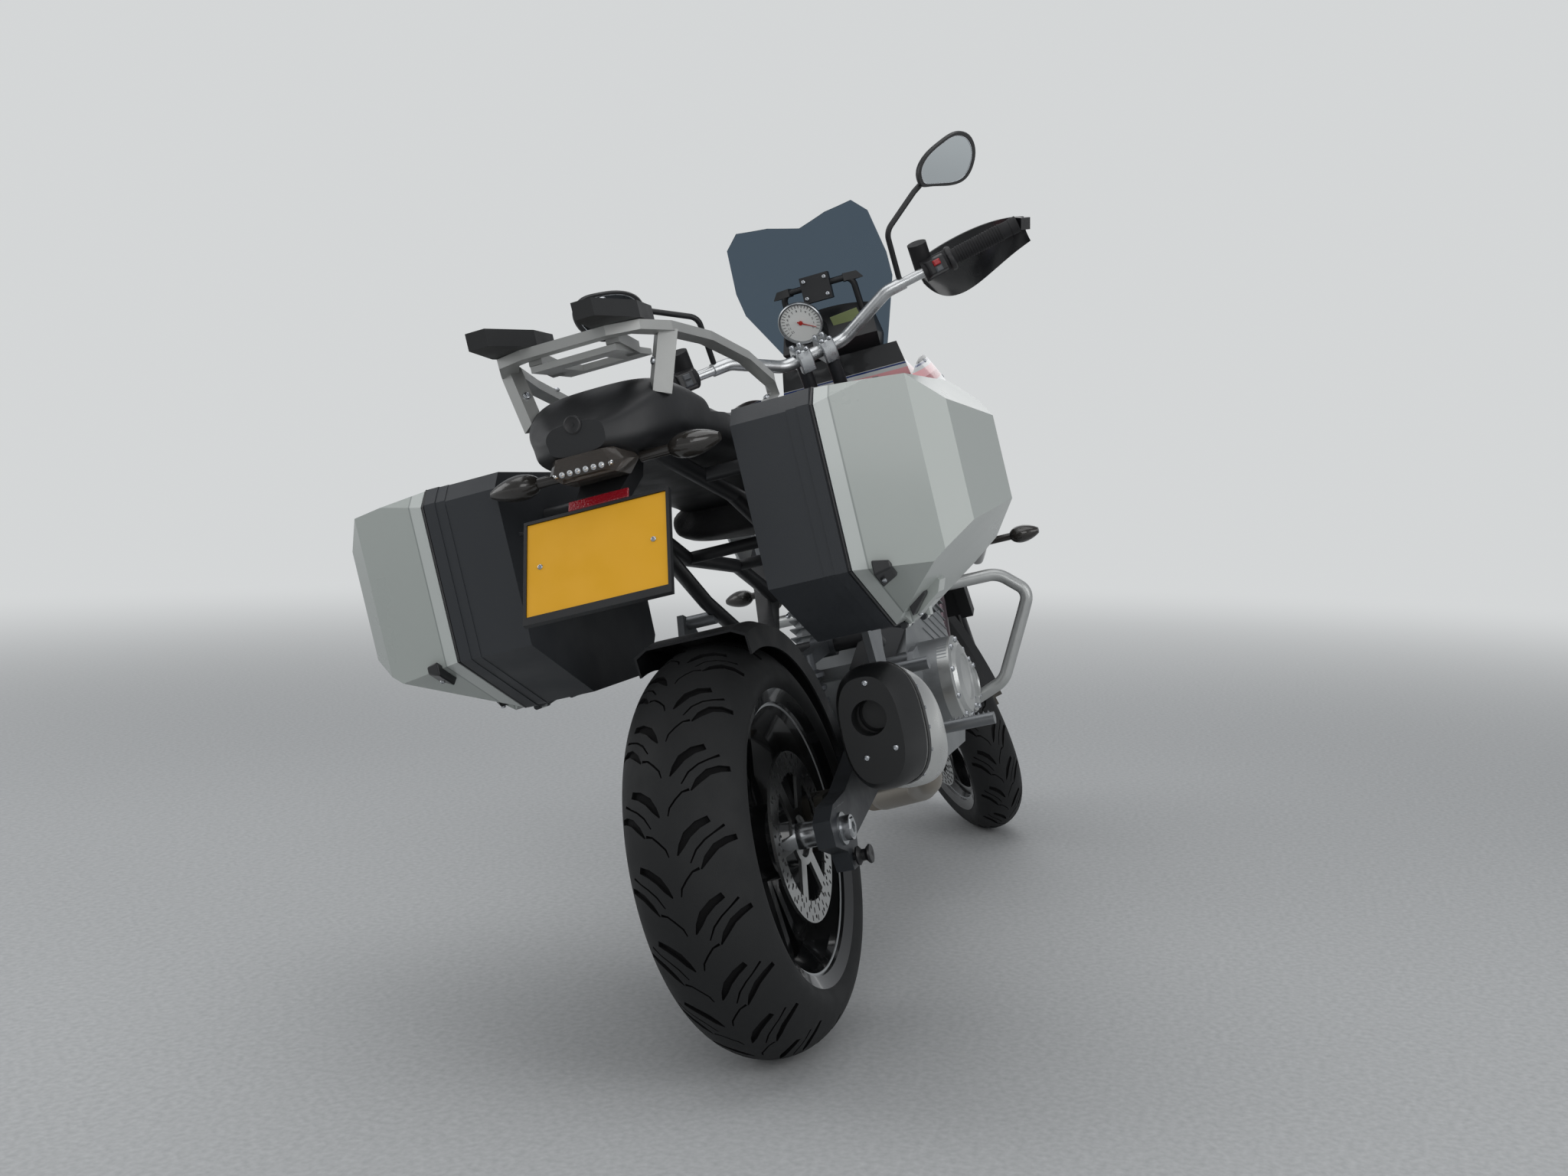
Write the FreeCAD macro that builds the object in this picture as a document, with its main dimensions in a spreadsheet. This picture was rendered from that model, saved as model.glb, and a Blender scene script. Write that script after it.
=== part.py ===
import FreeCAD, Part

import math
import operator
import os
from types import SimpleNamespace

import Sketcher
from FreeCAD import Placement, Rotation, Vector

# An adventure motorcycle with two side cases, leaning on its side stand with the steering on its left stop.
# Every piece is drawn on the upright motorcycle: X forward, Y left, Z up, origin under the rear axle.

doc = FreeCAD.newDocument("Motorcycle")
sheet = doc.addObject("Spreadsheet::Sheet", "Sizes")
S = SimpleNamespace()
PIECES = []
OPERATIONS = {"+": operator.add, "-": operator.sub, "*": operator.mul, "/": operator.truediv}


class Size:
    """A length or an angle: its value, and the text that binds it to the sheet."""

    def __init__(self, value, text):
        self.value = float(value)
        self.text = text

    def __float__(self):
        return self.value

    def __add__(self, other):
        return combined(self, "+", other)

    def __radd__(self, other):
        return combined(other, "+", self)

    def __sub__(self, other):
        return combined(self, "-", other)

    def __rsub__(self, other):
        return combined(other, "-", self)

    def __mul__(self, other):
        return combined(self, "*", other)

    def __rmul__(self, other):
        return combined(other, "*", self)

    def __truediv__(self, other):
        return combined(self, "/", other)

    def __neg__(self):
        return combined(0, "-", self)


def as_size(value):
    return value if isinstance(value, Size) else Size(value, repr(float(value)))


def combined(left, sign, right):
    a = as_size(left)
    b = as_size(right)
    return Size(OPERATIONS[sign](a.value, b.value), f"({a.text} {sign} {b.text})")


def sine(angle):
    return Size(math.sin(math.radians(angle.value)), f"sin({angle.text})")


def cosine(angle):
    return Size(math.cos(math.radians(angle.value)), f"cos({angle.text})")


def sizes(values):
    """Adds named sizes to the sheet, one row each."""
    for alias, value in values.items():
        row = len(vars(S)) + 1
        sheet.set(f"A{row}", alias)
        sheet.set(f"B{row}", str(value))
        sheet.setAlias(f"B{row}", alias)
        sheet.recompute()
        setattr(S, alias, Size(sheet.get(alias), f"Sizes.{alias}"))


def vec(x, y, z):
    return Vector(float(x), float(y), float(z))


def bind(feature, name, value):
    """Sets a property from a size and keeps it bound to the sheet."""
    feature.setExpression(name, as_size(value).text)


def body(label):
    return doc.addObject("PartDesign::Body", label)


def plane_of(owner, role):
    return next(f for f in owner.Origin.OriginFeatures if f.Role == role)


def sketch(owner, role, offset=0):
    """An empty sketch on one of the body's own planes, moved along the plane's normal."""
    made = owner.newObject("Sketcher::SketchObject", owner.Label + "_sketch")
    made.AttachmentSupport = (plane_of(owner, role), [""])
    made.MapMode = "FlatFace"
    if isinstance(offset, Size):
        bind(made, "AttachmentOffset.Base.z", offset)
    return made


def outline(made, points):
    """Draws a closed outline in a sketch, each corner held by two bound dimensions."""
    first = made.GeometryCount
    count = len(points)
    corners = [vec(x, y, 0) for x, y in points]
    for i in range(count):
        made.addGeometry(Part.LineSegment(corners[i], corners[(i + 1) % count]), False)
    for i in range(count):
        made.addConstraint(Sketcher.Constraint("Coincident", first + i, 2, first + (i + 1) % count, 1))
    for i, point in enumerate(points):
        for kind, value in zip(("DistanceX", "DistanceY"), point):
            exact = as_size(value)
            held = made.addConstraint(Sketcher.Constraint(kind, -1, 1, first + i, 1, exact.value))
            made.setExpression(f"Constraints[{held}]", exact.text)
    return made


def ring(made, radius, x=0, y=0):
    """Draws a circle in a sketch, its centre and radius bound."""
    number = made.addGeometry(Part.Circle(vec(x, y, 0), Vector(0, 0, 1), float(radius)), False)
    for kind, value in (("DistanceX", x), ("DistanceY", y)):
        exact = as_size(value)
        held = made.addConstraint(Sketcher.Constraint(kind, -1, 1, number, 3, exact.value))
        made.setExpression(f"Constraints[{held}]", exact.text)
    held = made.addConstraint(Sketcher.Constraint("Radius", number, float(radius)))
    made.setExpression(f"Constraints[{held}]", as_size(radius).text)
    return made


def revolved(owner, made, angle=360, kind="Revolution"):
    """Turns a sketch round its own vertical axis."""
    turned = owner.newObject(f"PartDesign::{kind}", owner.Label + "_turned")
    turned.Profile = made
    turned.ReferenceAxis = (made, ["V_Axis"])
    bind(turned, "Angle", angle)
    owner.Tip = turned
    return turned


def padded(owner, made, length, both_ways=True, reverse=False):
    """Pads a sketch, to both sides of its plane or to one."""
    pad = owner.newObject("PartDesign::Pad", owner.Label + "_pad")
    pad.Profile = made
    bind(pad, "Length", length)
    pad.Midplane = both_ways
    pad.Reversed = reverse
    owner.Tip = pad
    return pad


def pocketed(owner, made, length, both_ways=True, reverse=False):
    """Cuts a sketch out of a body, to both sides of its plane or to one."""
    pocket = owner.newObject("PartDesign::Pocket", owner.Label + "_pocket")
    pocket.Profile = made
    bind(pocket, "Length", length)
    pocket.Midplane = both_ways
    pocket.Reversed = reverse
    owner.Tip = pocket
    return pocket


def repeated(owner, features, count, role="Y_Axis"):
    """Repeats features round one of the body's axes."""
    pattern = owner.newObject("PartDesign::PolarPattern", owner.Label + "_pattern")
    pattern.Originals = features
    pattern.Axis = (plane_of(owner, role), [""])
    pattern.Angle = 360
    bind(pattern, "Occurrences", count)
    owner.Tip = pattern
    return pattern


def mirrored(owner, features, role="XZ_Plane"):
    """Mirrors features to the other side of the motorcycle."""
    twin = owner.newObject("PartDesign::Mirrored", owner.Label + "_twin")
    twin.Originals = features
    twin.MirrorPlane = (plane_of(owner, role), [""])
    owner.Tip = twin
    return twin


def piece(item, frame="bike", turn=Placement()):
    """Notes a finished piece, the frame that it is drawn in and its turn in that frame."""
    PIECES.append((item, frame, turn))
    return item


def formed(label, solids, frame="bike"):
    """A piece whose shape is worked out from the sheet's sizes; solids that touch are fused."""
    made = doc.addObject("Part::Feature", label)
    made.Shape = fused(solids) if isinstance(solids, list) else solids
    return piece(made, frame)


def fused(shapes):
    """Fuses shapes that touch and keeps the rest apart."""
    return shapes[0].multiFuse(shapes[1:]) if len(shapes) > 1 else shapes[0]


def mirror_y(shape):
    return shape.mirror(Vector(0, 0, 0), Vector(0, 1, 0))


def both(shape):
    """A shape and its mirror image on the other side."""
    return [shape, mirror_y(shape)]


def smooth_ring(points):
    curve = Part.BSplineCurve()
    curve.interpolate(points, PeriodicFlag=True)
    return Part.Wire([curve.toShape()])


def oval_points(half_wide, low, high, squareness, count=16):
    """Points of a superellipse about the middle plane, as (across, up)."""
    middle = (high + low) / 2
    half_high = (high - low) / 2
    found = []
    for i in range(count):
        turn = 2 * math.pi * i / count
        c = math.cos(turn)
        s = math.sin(turn)
        across = half_wide * math.copysign(abs(c) ** (2 / squareness), c)
        up = middle + half_high * math.copysign(abs(s) ** (2 / squareness), s)
        found.append((across, up))
    return found


def hull_through(stations, squareness=3.0):
    """A smooth closed body through oval sections: each station is x, middle y, half width, low z, high z."""
    wires = []
    for x, y, half_wide, low, high in stations:
        ring_points = oval_points(float(half_wide), float(low), float(high), squareness)
        wires.append(smooth_ring([vec(x, float(y) + across, up) for across, up in ring_points]))
    return Part.makeLoft(wires, True, False)


def stations(x0, x1, y, half, low, high, shares):
    """Oval stations from shares of a length, a half width and a height."""
    return [(x0 + (x1 - x0) * along, y, half * wide, low + (high - low) * under, low + (high - low) * over)
            for along, wide, under, over in shares]


def grown(found, gap):
    """The same stations with a gap all round."""
    wider = [(x, y, half + gap, low - gap, high + gap) for x, y, half, low, high in found]
    way = math.copysign(1, float(found[-1][0]) - float(found[0][0]))
    wider[0] = (wider[0][0] - gap * way, *wider[0][1:])
    wider[-1] = (wider[-1][0] + gap * way, *wider[-1][1:])
    return wider


def corner_loft(sections):
    """A body with flat sides through outlines that have the same number of corners."""
    wires = [Part.makePolygon(points + [points[0]]) for points in sections]
    return Part.makeLoft(wires, True, True)


def rounded_path(points, radius):
    """Straight runs joined by tangent arcs."""
    edges = []
    start = points[0]
    for before, corner, after in zip(points, points[1:], points[2:]):
        into = (corner - before).normalize()
        out = (after - corner).normalize()
        turn = into.getAngle(out)
        setback = radius * math.tan(turn / 2)
        setback = min(setback, 0.45 * min((corner - before).Length, (after - corner).Length))
        arc_start = corner - into * setback
        arc_end = corner + out * setback
        bisector = (out - into).normalize()
        real_radius = setback / math.tan(turn / 2)
        middle = corner + bisector * (real_radius / math.cos(turn / 2) - real_radius)
        edges.append(Part.LineSegment(start, arc_start).toShape())
        edges.append(Part.Arc(arc_start, middle, arc_end).toShape())
        start = arc_end
    edges.append(Part.LineSegment(start, points[-1]).toShape())
    return Part.Wire(edges)


def tube(points, radius, bend):
    """A round bar along straight runs joined by arcs."""
    path = rounded_path(points, float(bend)) if len(points) > 2 else Part.makePolygon(points)
    start = points[0]
    circle = Part.Wire([Part.makeCircle(float(radius), start, points[1] - start)])
    return path.makePipeShell([circle], True, False)


def beam(points, widths, heights):
    """A bar of rectangular section through points, its width kept level."""
    wires = []
    for i, point in enumerate(points):
        ahead = points[min(i + 1, len(points) - 1)] - points[max(i - 1, 0)]
        ahead.normalize()
        across = Vector(0, 0, 1).cross(ahead)
        if across.Length == 0:
            across = Vector(0, 1, 0)
        across.normalize()
        upright = ahead.cross(across)
        half_wide = across * (float(widths[i]) / 2)
        half_high = upright * (float(heights[i]) / 2)
        corners = [
            point + half_wide + half_high,
            point - half_wide + half_high,
            point - half_wide - half_high,
            point + half_wide - half_high,
        ]
        wires.append(corners)
    return corner_loft(wires)


def drum(x, y, z, radius, length):
    """A round boss along Y, from y towards the left."""
    return Part.makeCylinder(float(radius), float(length), vec(x, y, z), Vector(0, 1, 0))


def block(x0, x1, y0, y1, z0, z1):
    return Part.makeBox(float(x1 - x0), float(y1 - y0), float(z1 - z0), vec(x0, y0, z0))


def side_plate(points, y0, y1):
    """A plate with an outline seen from the side, between two planes across the motorcycle."""
    corners = [vec(x, y0, z) for x, z in points]
    face = Part.Face(Part.makePolygon(corners + [corners[0]]))
    return face.extrude(vec(0, float(y1) - float(y0), 0))


def skin(grid, thick, direction):
    """A curved sheet through a grid of points, given its thickness along a direction."""
    surface = Part.BSplineSurface()
    surface.interpolate(grid)
    return surface.toShape().extrude(direction * float(thick))


# Main sizes: between the axles, from the middle to a bar end, and along the fork up to the mirrors' middle
WHEELBASE = 1548
BAR_HALF = 468
MIRROR_HIGH = 1226

# Main layout: wheelbase, steering and stance, and the clearances that the pieces share
sizes({
    "wheelbase": WHEELBASE,
    "steering_trail": 117,
    "steering_rake": 25.5,
    "steering_lock": 30,
    "lean": 14.56,
    "seat_gap": 0.3,
    "bearing_gap": 0.05,
    "cut_overrun": 5,
    "rear_tyre_radius": 320,
    "front_tyre_radius": 300,
})
AXIS_U = S.steering_trail * cosine(S.steering_rake) - S.front_tyre_radius * sine(S.steering_rake)

# Tyres: a round crown over straight sidewalls that sit against the rim flanges
sizes({
    "bead_radius": 216,
    "rear_crown_radius": 100,
    "rear_bead_half": 74,
    "front_crown_radius": 62,
    "front_bead_half": 43.5,
    "crown_step": 24,
})


def crown_corner(radius, crown, steps):
    """A corner of the tyre's crown, as (distance from the axle, distance from the middle)."""
    angle = S.crown_step * steps
    return (radius - crown + crown * cosine(angle), crown * sine(angle))


def tyre(label, radius, crown, bead_half, frame):
    owner = body(label)
    points = [(S.bead_radius + S.seat_gap, -bead_half), (S.bead_radius + S.seat_gap, bead_half)]
    for steps in (3, 2, 1, 0, -1, -2, -3):
        points.append(crown_corner(radius, crown, steps))
    revolved(owner, outline(sketch(owner, "XY_Plane"), points))
    return piece(owner, frame)


tyre("rear_tyre", S.rear_tyre_radius, S.rear_crown_radius, S.rear_bead_half, "rear_wheel")
tyre("front_tyre", S.front_tyre_radius, S.front_crown_radius, S.front_bead_half, "front_wheel")

# Cast wheels: a turned rim, five forked spokes and a bored hub
sizes({
    "flange_radius": 231,
    "flange_thick": 4,
    "rim_wall": 7,
    "rim_well_radius": 192,
    "rim_well_half": 22,
    "spoke_count": 5,
    "spoke_wide": 17,
    "spoke_deep": 26,
    "spoke_spread": 46,
    "rear_axle_radius": 14,
    "rear_hub_radius": 58,
    "rear_hub_left": 60,
    "rear_hub_right": 80,
    "front_axle_radius": 12.5,
    "front_hub_radius": 42,
    "front_hub_half": 60.5,
})


def rim(label, radius, crown, bead_half, hub_radius, hub_left, hub_right, bore, frame):
    owner = body(label)
    wide, reach = crown_corner(radius, crown, 3)
    slope = (reach - bead_half) / (wide - S.bead_radius)
    flange_y = bead_half + (S.flange_radius - S.bead_radius) * slope + S.seat_gap
    seat_y = bead_half - S.seat_gap * slope + S.seat_gap
    points = []
    for side in (1, -1):
        half = [
            (S.rim_well_radius, S.rim_well_half * side),
            (S.bead_radius - S.rim_wall * 0.5, (bead_half - S.rim_wall * 2) * side),
            (S.bead_radius, (bead_half - S.rim_wall) * side),
            (S.bead_radius, seat_y * side),
            (S.flange_radius, flange_y * side),
            (S.flange_radius, (flange_y + S.flange_thick) * side),
            (S.bead_radius - S.rim_wall, (seat_y + S.flange_thick) * side),
            (S.bead_radius - S.rim_wall * 2, (bead_half - S.rim_wall * 2) * side),
            (S.rim_well_radius - S.rim_wall, (S.rim_well_half + S.rim_wall * 0.5) * side),
        ]
        points += half if side > 0 else half[::-1]
    revolved(owner, outline(sketch(owner, "XY_Plane"), points))
    spokes = []
    for side in (1, -1):
        made = sketch(owner, "XZ_Plane")
        outer = S.rim_well_radius - S.rim_wall * 0.5
        outline(made, [
            (hub_radius * 0.5, -S.spoke_wide * 0.5 + S.spoke_wide * 0.3 * side),
            (outer, S.spoke_spread * 0.5 * side - S.spoke_wide * 0.5),
            (outer, S.spoke_spread * 0.5 * side + S.spoke_wide * 0.5),
            (hub_radius * 0.5, S.spoke_wide * 0.5 + S.spoke_wide * 0.3 * side),
        ])
        spokes.append(padded(owner, made, S.spoke_deep))
    repeated(owner, spokes, S.spoke_count)
    hub = [
        (bore, -hub_right),
        (hub_radius * 0.75, -hub_right),
        (hub_radius, -hub_right * 0.6),
        (hub_radius, hub_left * 0.6),
        (hub_radius * 0.75, hub_left),
        (bore, hub_left),
    ]
    revolved(owner, outline(sketch(owner, "XY_Plane"), hub))
    hole = [(0, -hub_right - S.cut_overrun), (bore, -hub_right - S.cut_overrun)]
    hole += [(bore, hub_left + S.cut_overrun), (0, hub_left + S.cut_overrun)]
    revolved(owner, outline(sketch(owner, "XY_Plane"), hole), kind="Groove")
    return piece(owner, frame)


rim("rear_rim", S.rear_tyre_radius, S.rear_crown_radius, S.rear_bead_half, S.rear_hub_radius,
    S.rear_hub_left, S.rear_hub_right, S.rear_axle_radius + S.bearing_gap, "rear_wheel")
rim("front_rim", S.front_tyre_radius, S.front_crown_radius, S.front_bead_half, S.front_hub_radius,
    S.front_hub_half, S.front_hub_half, S.front_axle_radius + S.bearing_gap, "front_wheel")

# Brake discs: a perforated ring with arms to the hub
sizes({
    "disc_thick": 5,
    "rear_disc_radius": 131,
    "front_disc_radius": 160,
    "disc_band": 33,
    "disc_hole_radius": 3.2,
    "disc_holes": 18,
    "disc_arms": 6,
    "disc_arm_wide": 22,
})


def brake_disc(label, radius, hub_radius, inner_face, outward):
    """A disc whose inner face lies at a distance from the wheel's middle; outward is 1 left and -1 right."""
    owner = body(label)
    start = inner_face * -outward
    bore = hub_radius * 0.75 - S.disc_arm_wide * 0.5
    made = sketch(owner, "XZ_Plane", start)
    ring(ring(made, radius), radius - S.disc_band)
    padded(owner, made, S.disc_thick, False, outward > 0)
    made = sketch(owner, "XZ_Plane", start)
    ring(ring(made, hub_radius * 0.75), bore)
    padded(owner, made, S.disc_thick, False, outward > 0)
    made = sketch(owner, "XZ_Plane", start)
    outline(made, [
        (bore + S.disc_arm_wide * 0.2, -S.disc_arm_wide * 0.5),
        (radius - S.disc_band * 0.8, -S.disc_arm_wide * 0.5),
        (radius - S.disc_band * 0.8, S.disc_arm_wide * 0.5),
        (bore + S.disc_arm_wide * 0.2, S.disc_arm_wide * 0.5),
    ])
    arm = padded(owner, made, S.disc_thick, False, outward > 0)
    repeated(owner, [arm], S.disc_arms)
    for row, turn_share in ((0.28, 0.0), (0.72, 0.5)):
        made = sketch(owner, "XZ_Plane", start)
        turn = Size(360 * turn_share, repr(360 * turn_share)) / S.disc_holes
        out = radius - S.disc_band * row
        ring(made, S.disc_hole_radius, out * cosine(turn), out * sine(turn))
        cut = pocketed(owner, made, S.disc_thick * 4)
        repeated(owner, [cut], S.disc_holes)
    return owner


piece(brake_disc("rear_brake_disc", S.rear_disc_radius, S.rear_hub_radius,
                 S.rear_hub_right + S.seat_gap, -1), "rear_wheel")
left_disc = brake_disc("left_disc", S.front_disc_radius, S.front_hub_radius,
                       S.front_hub_half + S.seat_gap, 1)
right_disc = doc.addObject("Part::Mirroring", "right_disc")
right_disc.Source = left_disc
right_disc.Normal = Vector(0, 1, 0)
front_discs = doc.addObject("Part::Compound", "front_brake_discs")
front_discs.Links = [left_disc, right_disc]
piece(front_discs, "front_wheel")

# Final drive: sprocket and a chain of inner links between separate outer plates
sizes({
    "chain_pitch": 15.875,
    "sprocket_teeth": 45,
    "drive_teeth": 17,
    "sprocket_thick": 6,
    "tooth_gap": 7.5,
    "tooth_high": 7,
    "chain_line": 108,
    "drive_x": 668,
    "drive_z": 410,
    "plate_high": 14,
    "plate_thick": 2.4,
    "roller_wide": 8,
    "roller_radius": 5.08,
    "sprocket_bore": 46,
    "carrier_wall": 14,
    "carrier_bore": 32.5,
})
SPROCKET_PITCH = S.chain_pitch / (2 * sine(Size(180, "180") / S.sprocket_teeth))
DRIVE_PITCH = S.chain_pitch / (2 * sine(Size(180, "180") / S.drive_teeth))
SPROCKET_TIP = SPROCKET_PITCH - S.tooth_gap

sprocket = body("rear_sprocket")
made = sketch(sprocket, "XZ_Plane", -S.chain_line)
ring(ring(made, SPROCKET_TIP - S.tooth_high), S.sprocket_bore)
padded(sprocket, made, S.sprocket_thick)
made = sketch(sprocket, "XZ_Plane", -S.chain_line)
outline(made, [
    (SPROCKET_TIP - S.tooth_high * 1.5, -S.chain_pitch * 0.32),
    (SPROCKET_TIP, -S.chain_pitch * 0.12),
    (SPROCKET_TIP, S.chain_pitch * 0.12),
    (SPROCKET_TIP - S.tooth_high * 1.5, S.chain_pitch * 0.32),
])
tooth = padded(sprocket, made, S.sprocket_thick)
repeated(sprocket, [tooth], S.sprocket_teeth)
made = sketch(sprocket, "XZ_Plane", -S.chain_line)
ring(made, SPROCKET_PITCH * 0.13, SPROCKET_PITCH * 0.64, 0)
window = pocketed(sprocket, made, S.sprocket_thick * 4)
repeated(sprocket, [window], S.spoke_count + S.spoke_count)
made = sketch(sprocket, "XZ_Plane", -(S.rear_hub_left + S.seat_gap))
ring(ring(made, S.sprocket_bore + S.carrier_wall), S.carrier_bore)
padded(sprocket, made, S.chain_line + S.sprocket_thick * 0.5 - S.rear_hub_left - S.seat_gap, False, True)
piece(sprocket, "rear_wheel")


def chain_loop():
    """The pins of the chain's loop round both sprockets, seen from the side about the rear axle."""
    big = float(SPROCKET_PITCH)
    small = float(DRIVE_PITCH)
    drive = Vector(float(S.drive_x), float(S.drive_z - S.rear_tyre_radius), 0)
    slope = math.atan2(drive.y, drive.x)
    tilt = math.acos((big - small) / drive.Length)
    run = math.sqrt(drive.Length ** 2 - (big - small) ** 2)
    small_arc = small * 2 * tilt
    whole = 2 * run + small_arc + big * 2 * (math.pi - tilt)
    links = 2 * round(whole / float(S.chain_pitch) / 2)
    upper = Vector(math.cos(slope + tilt), math.sin(slope + tilt), 0)
    lower = Vector(math.cos(slope - tilt), math.sin(slope - tilt), 0)
    pins = []
    for i in range(links):
        along = whole * i / links
        if along < run:
            share = along / run
            point = upper * (big + (small - big) * share) + drive * share
        elif along < run + small_arc:
            angle = slope + tilt - (along - run) / small
            point = drive + Vector(math.cos(angle), math.sin(angle), 0) * small
        elif along < 2 * run + small_arc:
            share = 1 - (along - run - small_arc) / run
            point = lower * (big + (small - big) * share) + drive * share
        else:
            angle = slope - tilt - (along - 2 * run - small_arc) / big
            point = Vector(math.cos(angle), math.sin(angle), 0) * big
        pins.append(point)
    return pins


def link_plate(here, there, y, thick, high):
    """One link plate: a long hexagon from pin to pin."""
    along = (there - here).normalize()
    side = Vector(-along.y, along.x, 0)
    reach = high * 0.42
    corners = [
        here - along * reach + side * high * 0.2, here - along * reach * 0.2 + side * high * 0.5,
        there + along * reach * 0.2 + side * high * 0.5, there + along * reach + side * high * 0.2,
        there + along * reach - side * high * 0.2, there + along * reach * 0.2 - side * high * 0.5,
        here - along * reach * 0.2 - side * high * 0.5, here - along * reach - side * high * 0.2,
    ]
    z0 = float(S.rear_tyre_radius)
    points = [Vector(c.x, y, c.y + z0) for c in corners]
    return Part.Face(Part.makePolygon(points + [points[0]])).extrude(Vector(0, thick, 0))


pins = chain_loop()
plate = float(S.plate_thick)
half_roller = float(S.roller_wide) / 2
chain_y = float(S.chain_line)
roller_high = float(S.roller_radius) * 2
links = []
for i in range(0, len(pins), 2):
    here, there = pins[i], pins[i + 1]
    after = pins[(i + 2) % len(pins)]
    links.append(link_plate(there, after, chain_y - half_roller, 2 * half_roller, roller_high))
    for y in (chain_y + half_roller, chain_y - half_roller - plate):
        links.append(link_plate(here, there, y, plate, float(S.plate_high)))
formed("drive_chain", Part.makeCompound(links))

# Rear axle: a hollow spindle with a collar each side of the hub and a nut outside each arm
sizes({
    "rear_axle_half": 166,
    "axle_bore": 9,
    "axle_nut_radius": 19,
    "axle_collar_radius": 20,
    "hub_clear": 0.5,
    "arm_inner": 122,
    "arm_thick": 28,
})
ARM_OUTER = S.arm_inner + S.arm_thick


def axle(label, radius, half, inner_left, inner_right, outer, hub_left, hub_right, collar, frame):
    """A hollow axle with collars between the hub and what carries it."""
    owner = body(label)
    right = [
        (S.axle_bore, -half),
        (S.axle_nut_radius, -half),
        (S.axle_nut_radius, -outer - S.seat_gap),
        (radius, -outer - S.seat_gap),
        (radius, -inner_right + S.seat_gap),
        (collar, -inner_right + S.seat_gap),
        (collar, -hub_right - S.hub_clear),
        (radius, -hub_right - S.hub_clear),
    ]
    left = [
        (radius, hub_left + S.hub_clear),
        (collar, hub_left + S.hub_clear),
        (collar, inner_left - S.seat_gap),
        (radius, inner_left - S.seat_gap),
        (radius, outer + S.seat_gap),
        (S.axle_nut_radius, outer + S.seat_gap),
        (S.axle_nut_radius, half),
        (S.axle_bore, half),
    ]
    revolved(owner, outline(sketch(owner, "XY_Plane"), right + left))
    return piece(owner, frame)


axle("rear_axle", S.rear_axle_radius, S.rear_axle_half, S.arm_inner, S.arm_inner, ARM_OUTER,
     S.rear_hub_left, S.rear_hub_right, S.axle_collar_radius, "rear_wheel")

# Swingarm: two cast arms, a cross beam ahead of the tyre, a pivot tube and a lug for a paddock bobbin
sizes({
    "pivot_x": 560,
    "pivot_z": 395,
    "pivot_tube_radius": 24,
    "pivot_bore": 9,
    "arm_front_high": 84,
    "arm_rear_high": 66,
    "beam_front": 440,
    "beam_rear": 376,
    "beam_top": 424,
    "beam_bottom": 345,
    "bobbin_x": 30,
    "bobbin_drop": 50,
    "bobbin_lug": 17,
    "bobbin_bore": 4,
    "hugger_gap": 13,
    "hugger_wall": 3.5,
    "hugger_front_angle": 12,
    "hugger_stay_half": 34,
})
AXLE_Z = S.rear_tyre_radius
swingarm = body("swingarm")
arm_points = [
    (-S.arm_rear_high * 0.78, AXLE_Z - S.arm_rear_high * 0.25),
    (-S.arm_rear_high * 0.8, AXLE_Z + S.arm_rear_high * 0.35),
    (-S.arm_rear_high * 0.3, AXLE_Z + S.arm_rear_high * 0.62),
    (S.arm_rear_high * 0.9, AXLE_Z + S.arm_rear_high * 0.72),
    (S.pivot_x * 0.5, S.pivot_z + S.arm_front_high * 0.5),
    (S.pivot_x * 0.93, S.pivot_z + S.arm_front_high * 0.66),
    (S.pivot_x + S.arm_front_high * 0.46, S.pivot_z + S.arm_front_high * 0.3),
    (S.pivot_x + S.arm_front_high * 0.46, S.pivot_z - S.arm_front_high * 0.3),
    (S.pivot_x * 0.93, S.pivot_z - S.arm_front_high * 0.55),
    (S.pivot_x * 0.55, S.pivot_z - S.arm_front_high * 0.62),
    (S.arm_rear_high, AXLE_Z - S.arm_rear_high * 0.36),
    (S.bobbin_x + S.bobbin_lug, AXLE_Z - S.bobbin_drop - S.bobbin_lug),
    (S.bobbin_x - S.bobbin_lug, AXLE_Z - S.bobbin_drop - S.bobbin_lug),
    (S.bobbin_x - S.bobbin_lug * 1.6, AXLE_Z - S.arm_rear_high * 0.55),
]
arm = padded(swingarm, outline(sketch(swingarm, "XZ_Plane", -S.arm_inner), arm_points), S.arm_thick, False, True)
mirrored(swingarm, [arm])
beam_points = [
    (S.beam_rear, S.beam_bottom + S.pivot_tube_radius),
    (S.beam_rear, S.beam_top),
    (S.beam_front, S.beam_top),
    (S.beam_front, S.beam_bottom),
    (S.beam_rear + S.pivot_tube_radius, S.beam_bottom),
]
padded(swingarm, outline(sketch(swingarm, "XZ_Plane"), beam_points), 2 * S.arm_inner + S.cut_overrun)
padded(swingarm, ring(sketch(swingarm, "XZ_Plane"), S.pivot_tube_radius, S.pivot_x, S.pivot_z), 2 * ARM_OUTER)
# A tongue behind the cross beam holds the rear mudguard's front edge
stay_reach = S.rear_tyre_radius + S.hugger_gap + S.hugger_wall + S.seat_gap
stay_low = S.hugger_front_angle * 1.1
stay_high = S.hugger_front_angle * 1.4
padded(swingarm, outline(sketch(swingarm, "XZ_Plane"), [
    (cosine(stay_low) * stay_reach, AXLE_Z + sine(stay_low) * stay_reach),
    (S.beam_front, AXLE_Z + sine(stay_low) * stay_reach),
    (S.beam_front, AXLE_Z + sine(stay_high) * stay_reach),
    (cosine(stay_high) * stay_reach, AXLE_Z + sine(stay_high) * stay_reach),
]), 2 * S.hugger_stay_half)
pocketed(swingarm, ring(sketch(swingarm, "XZ_Plane"), S.rear_axle_radius + S.seat_gap, 0, AXLE_Z), 3 * ARM_OUTER)
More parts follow.
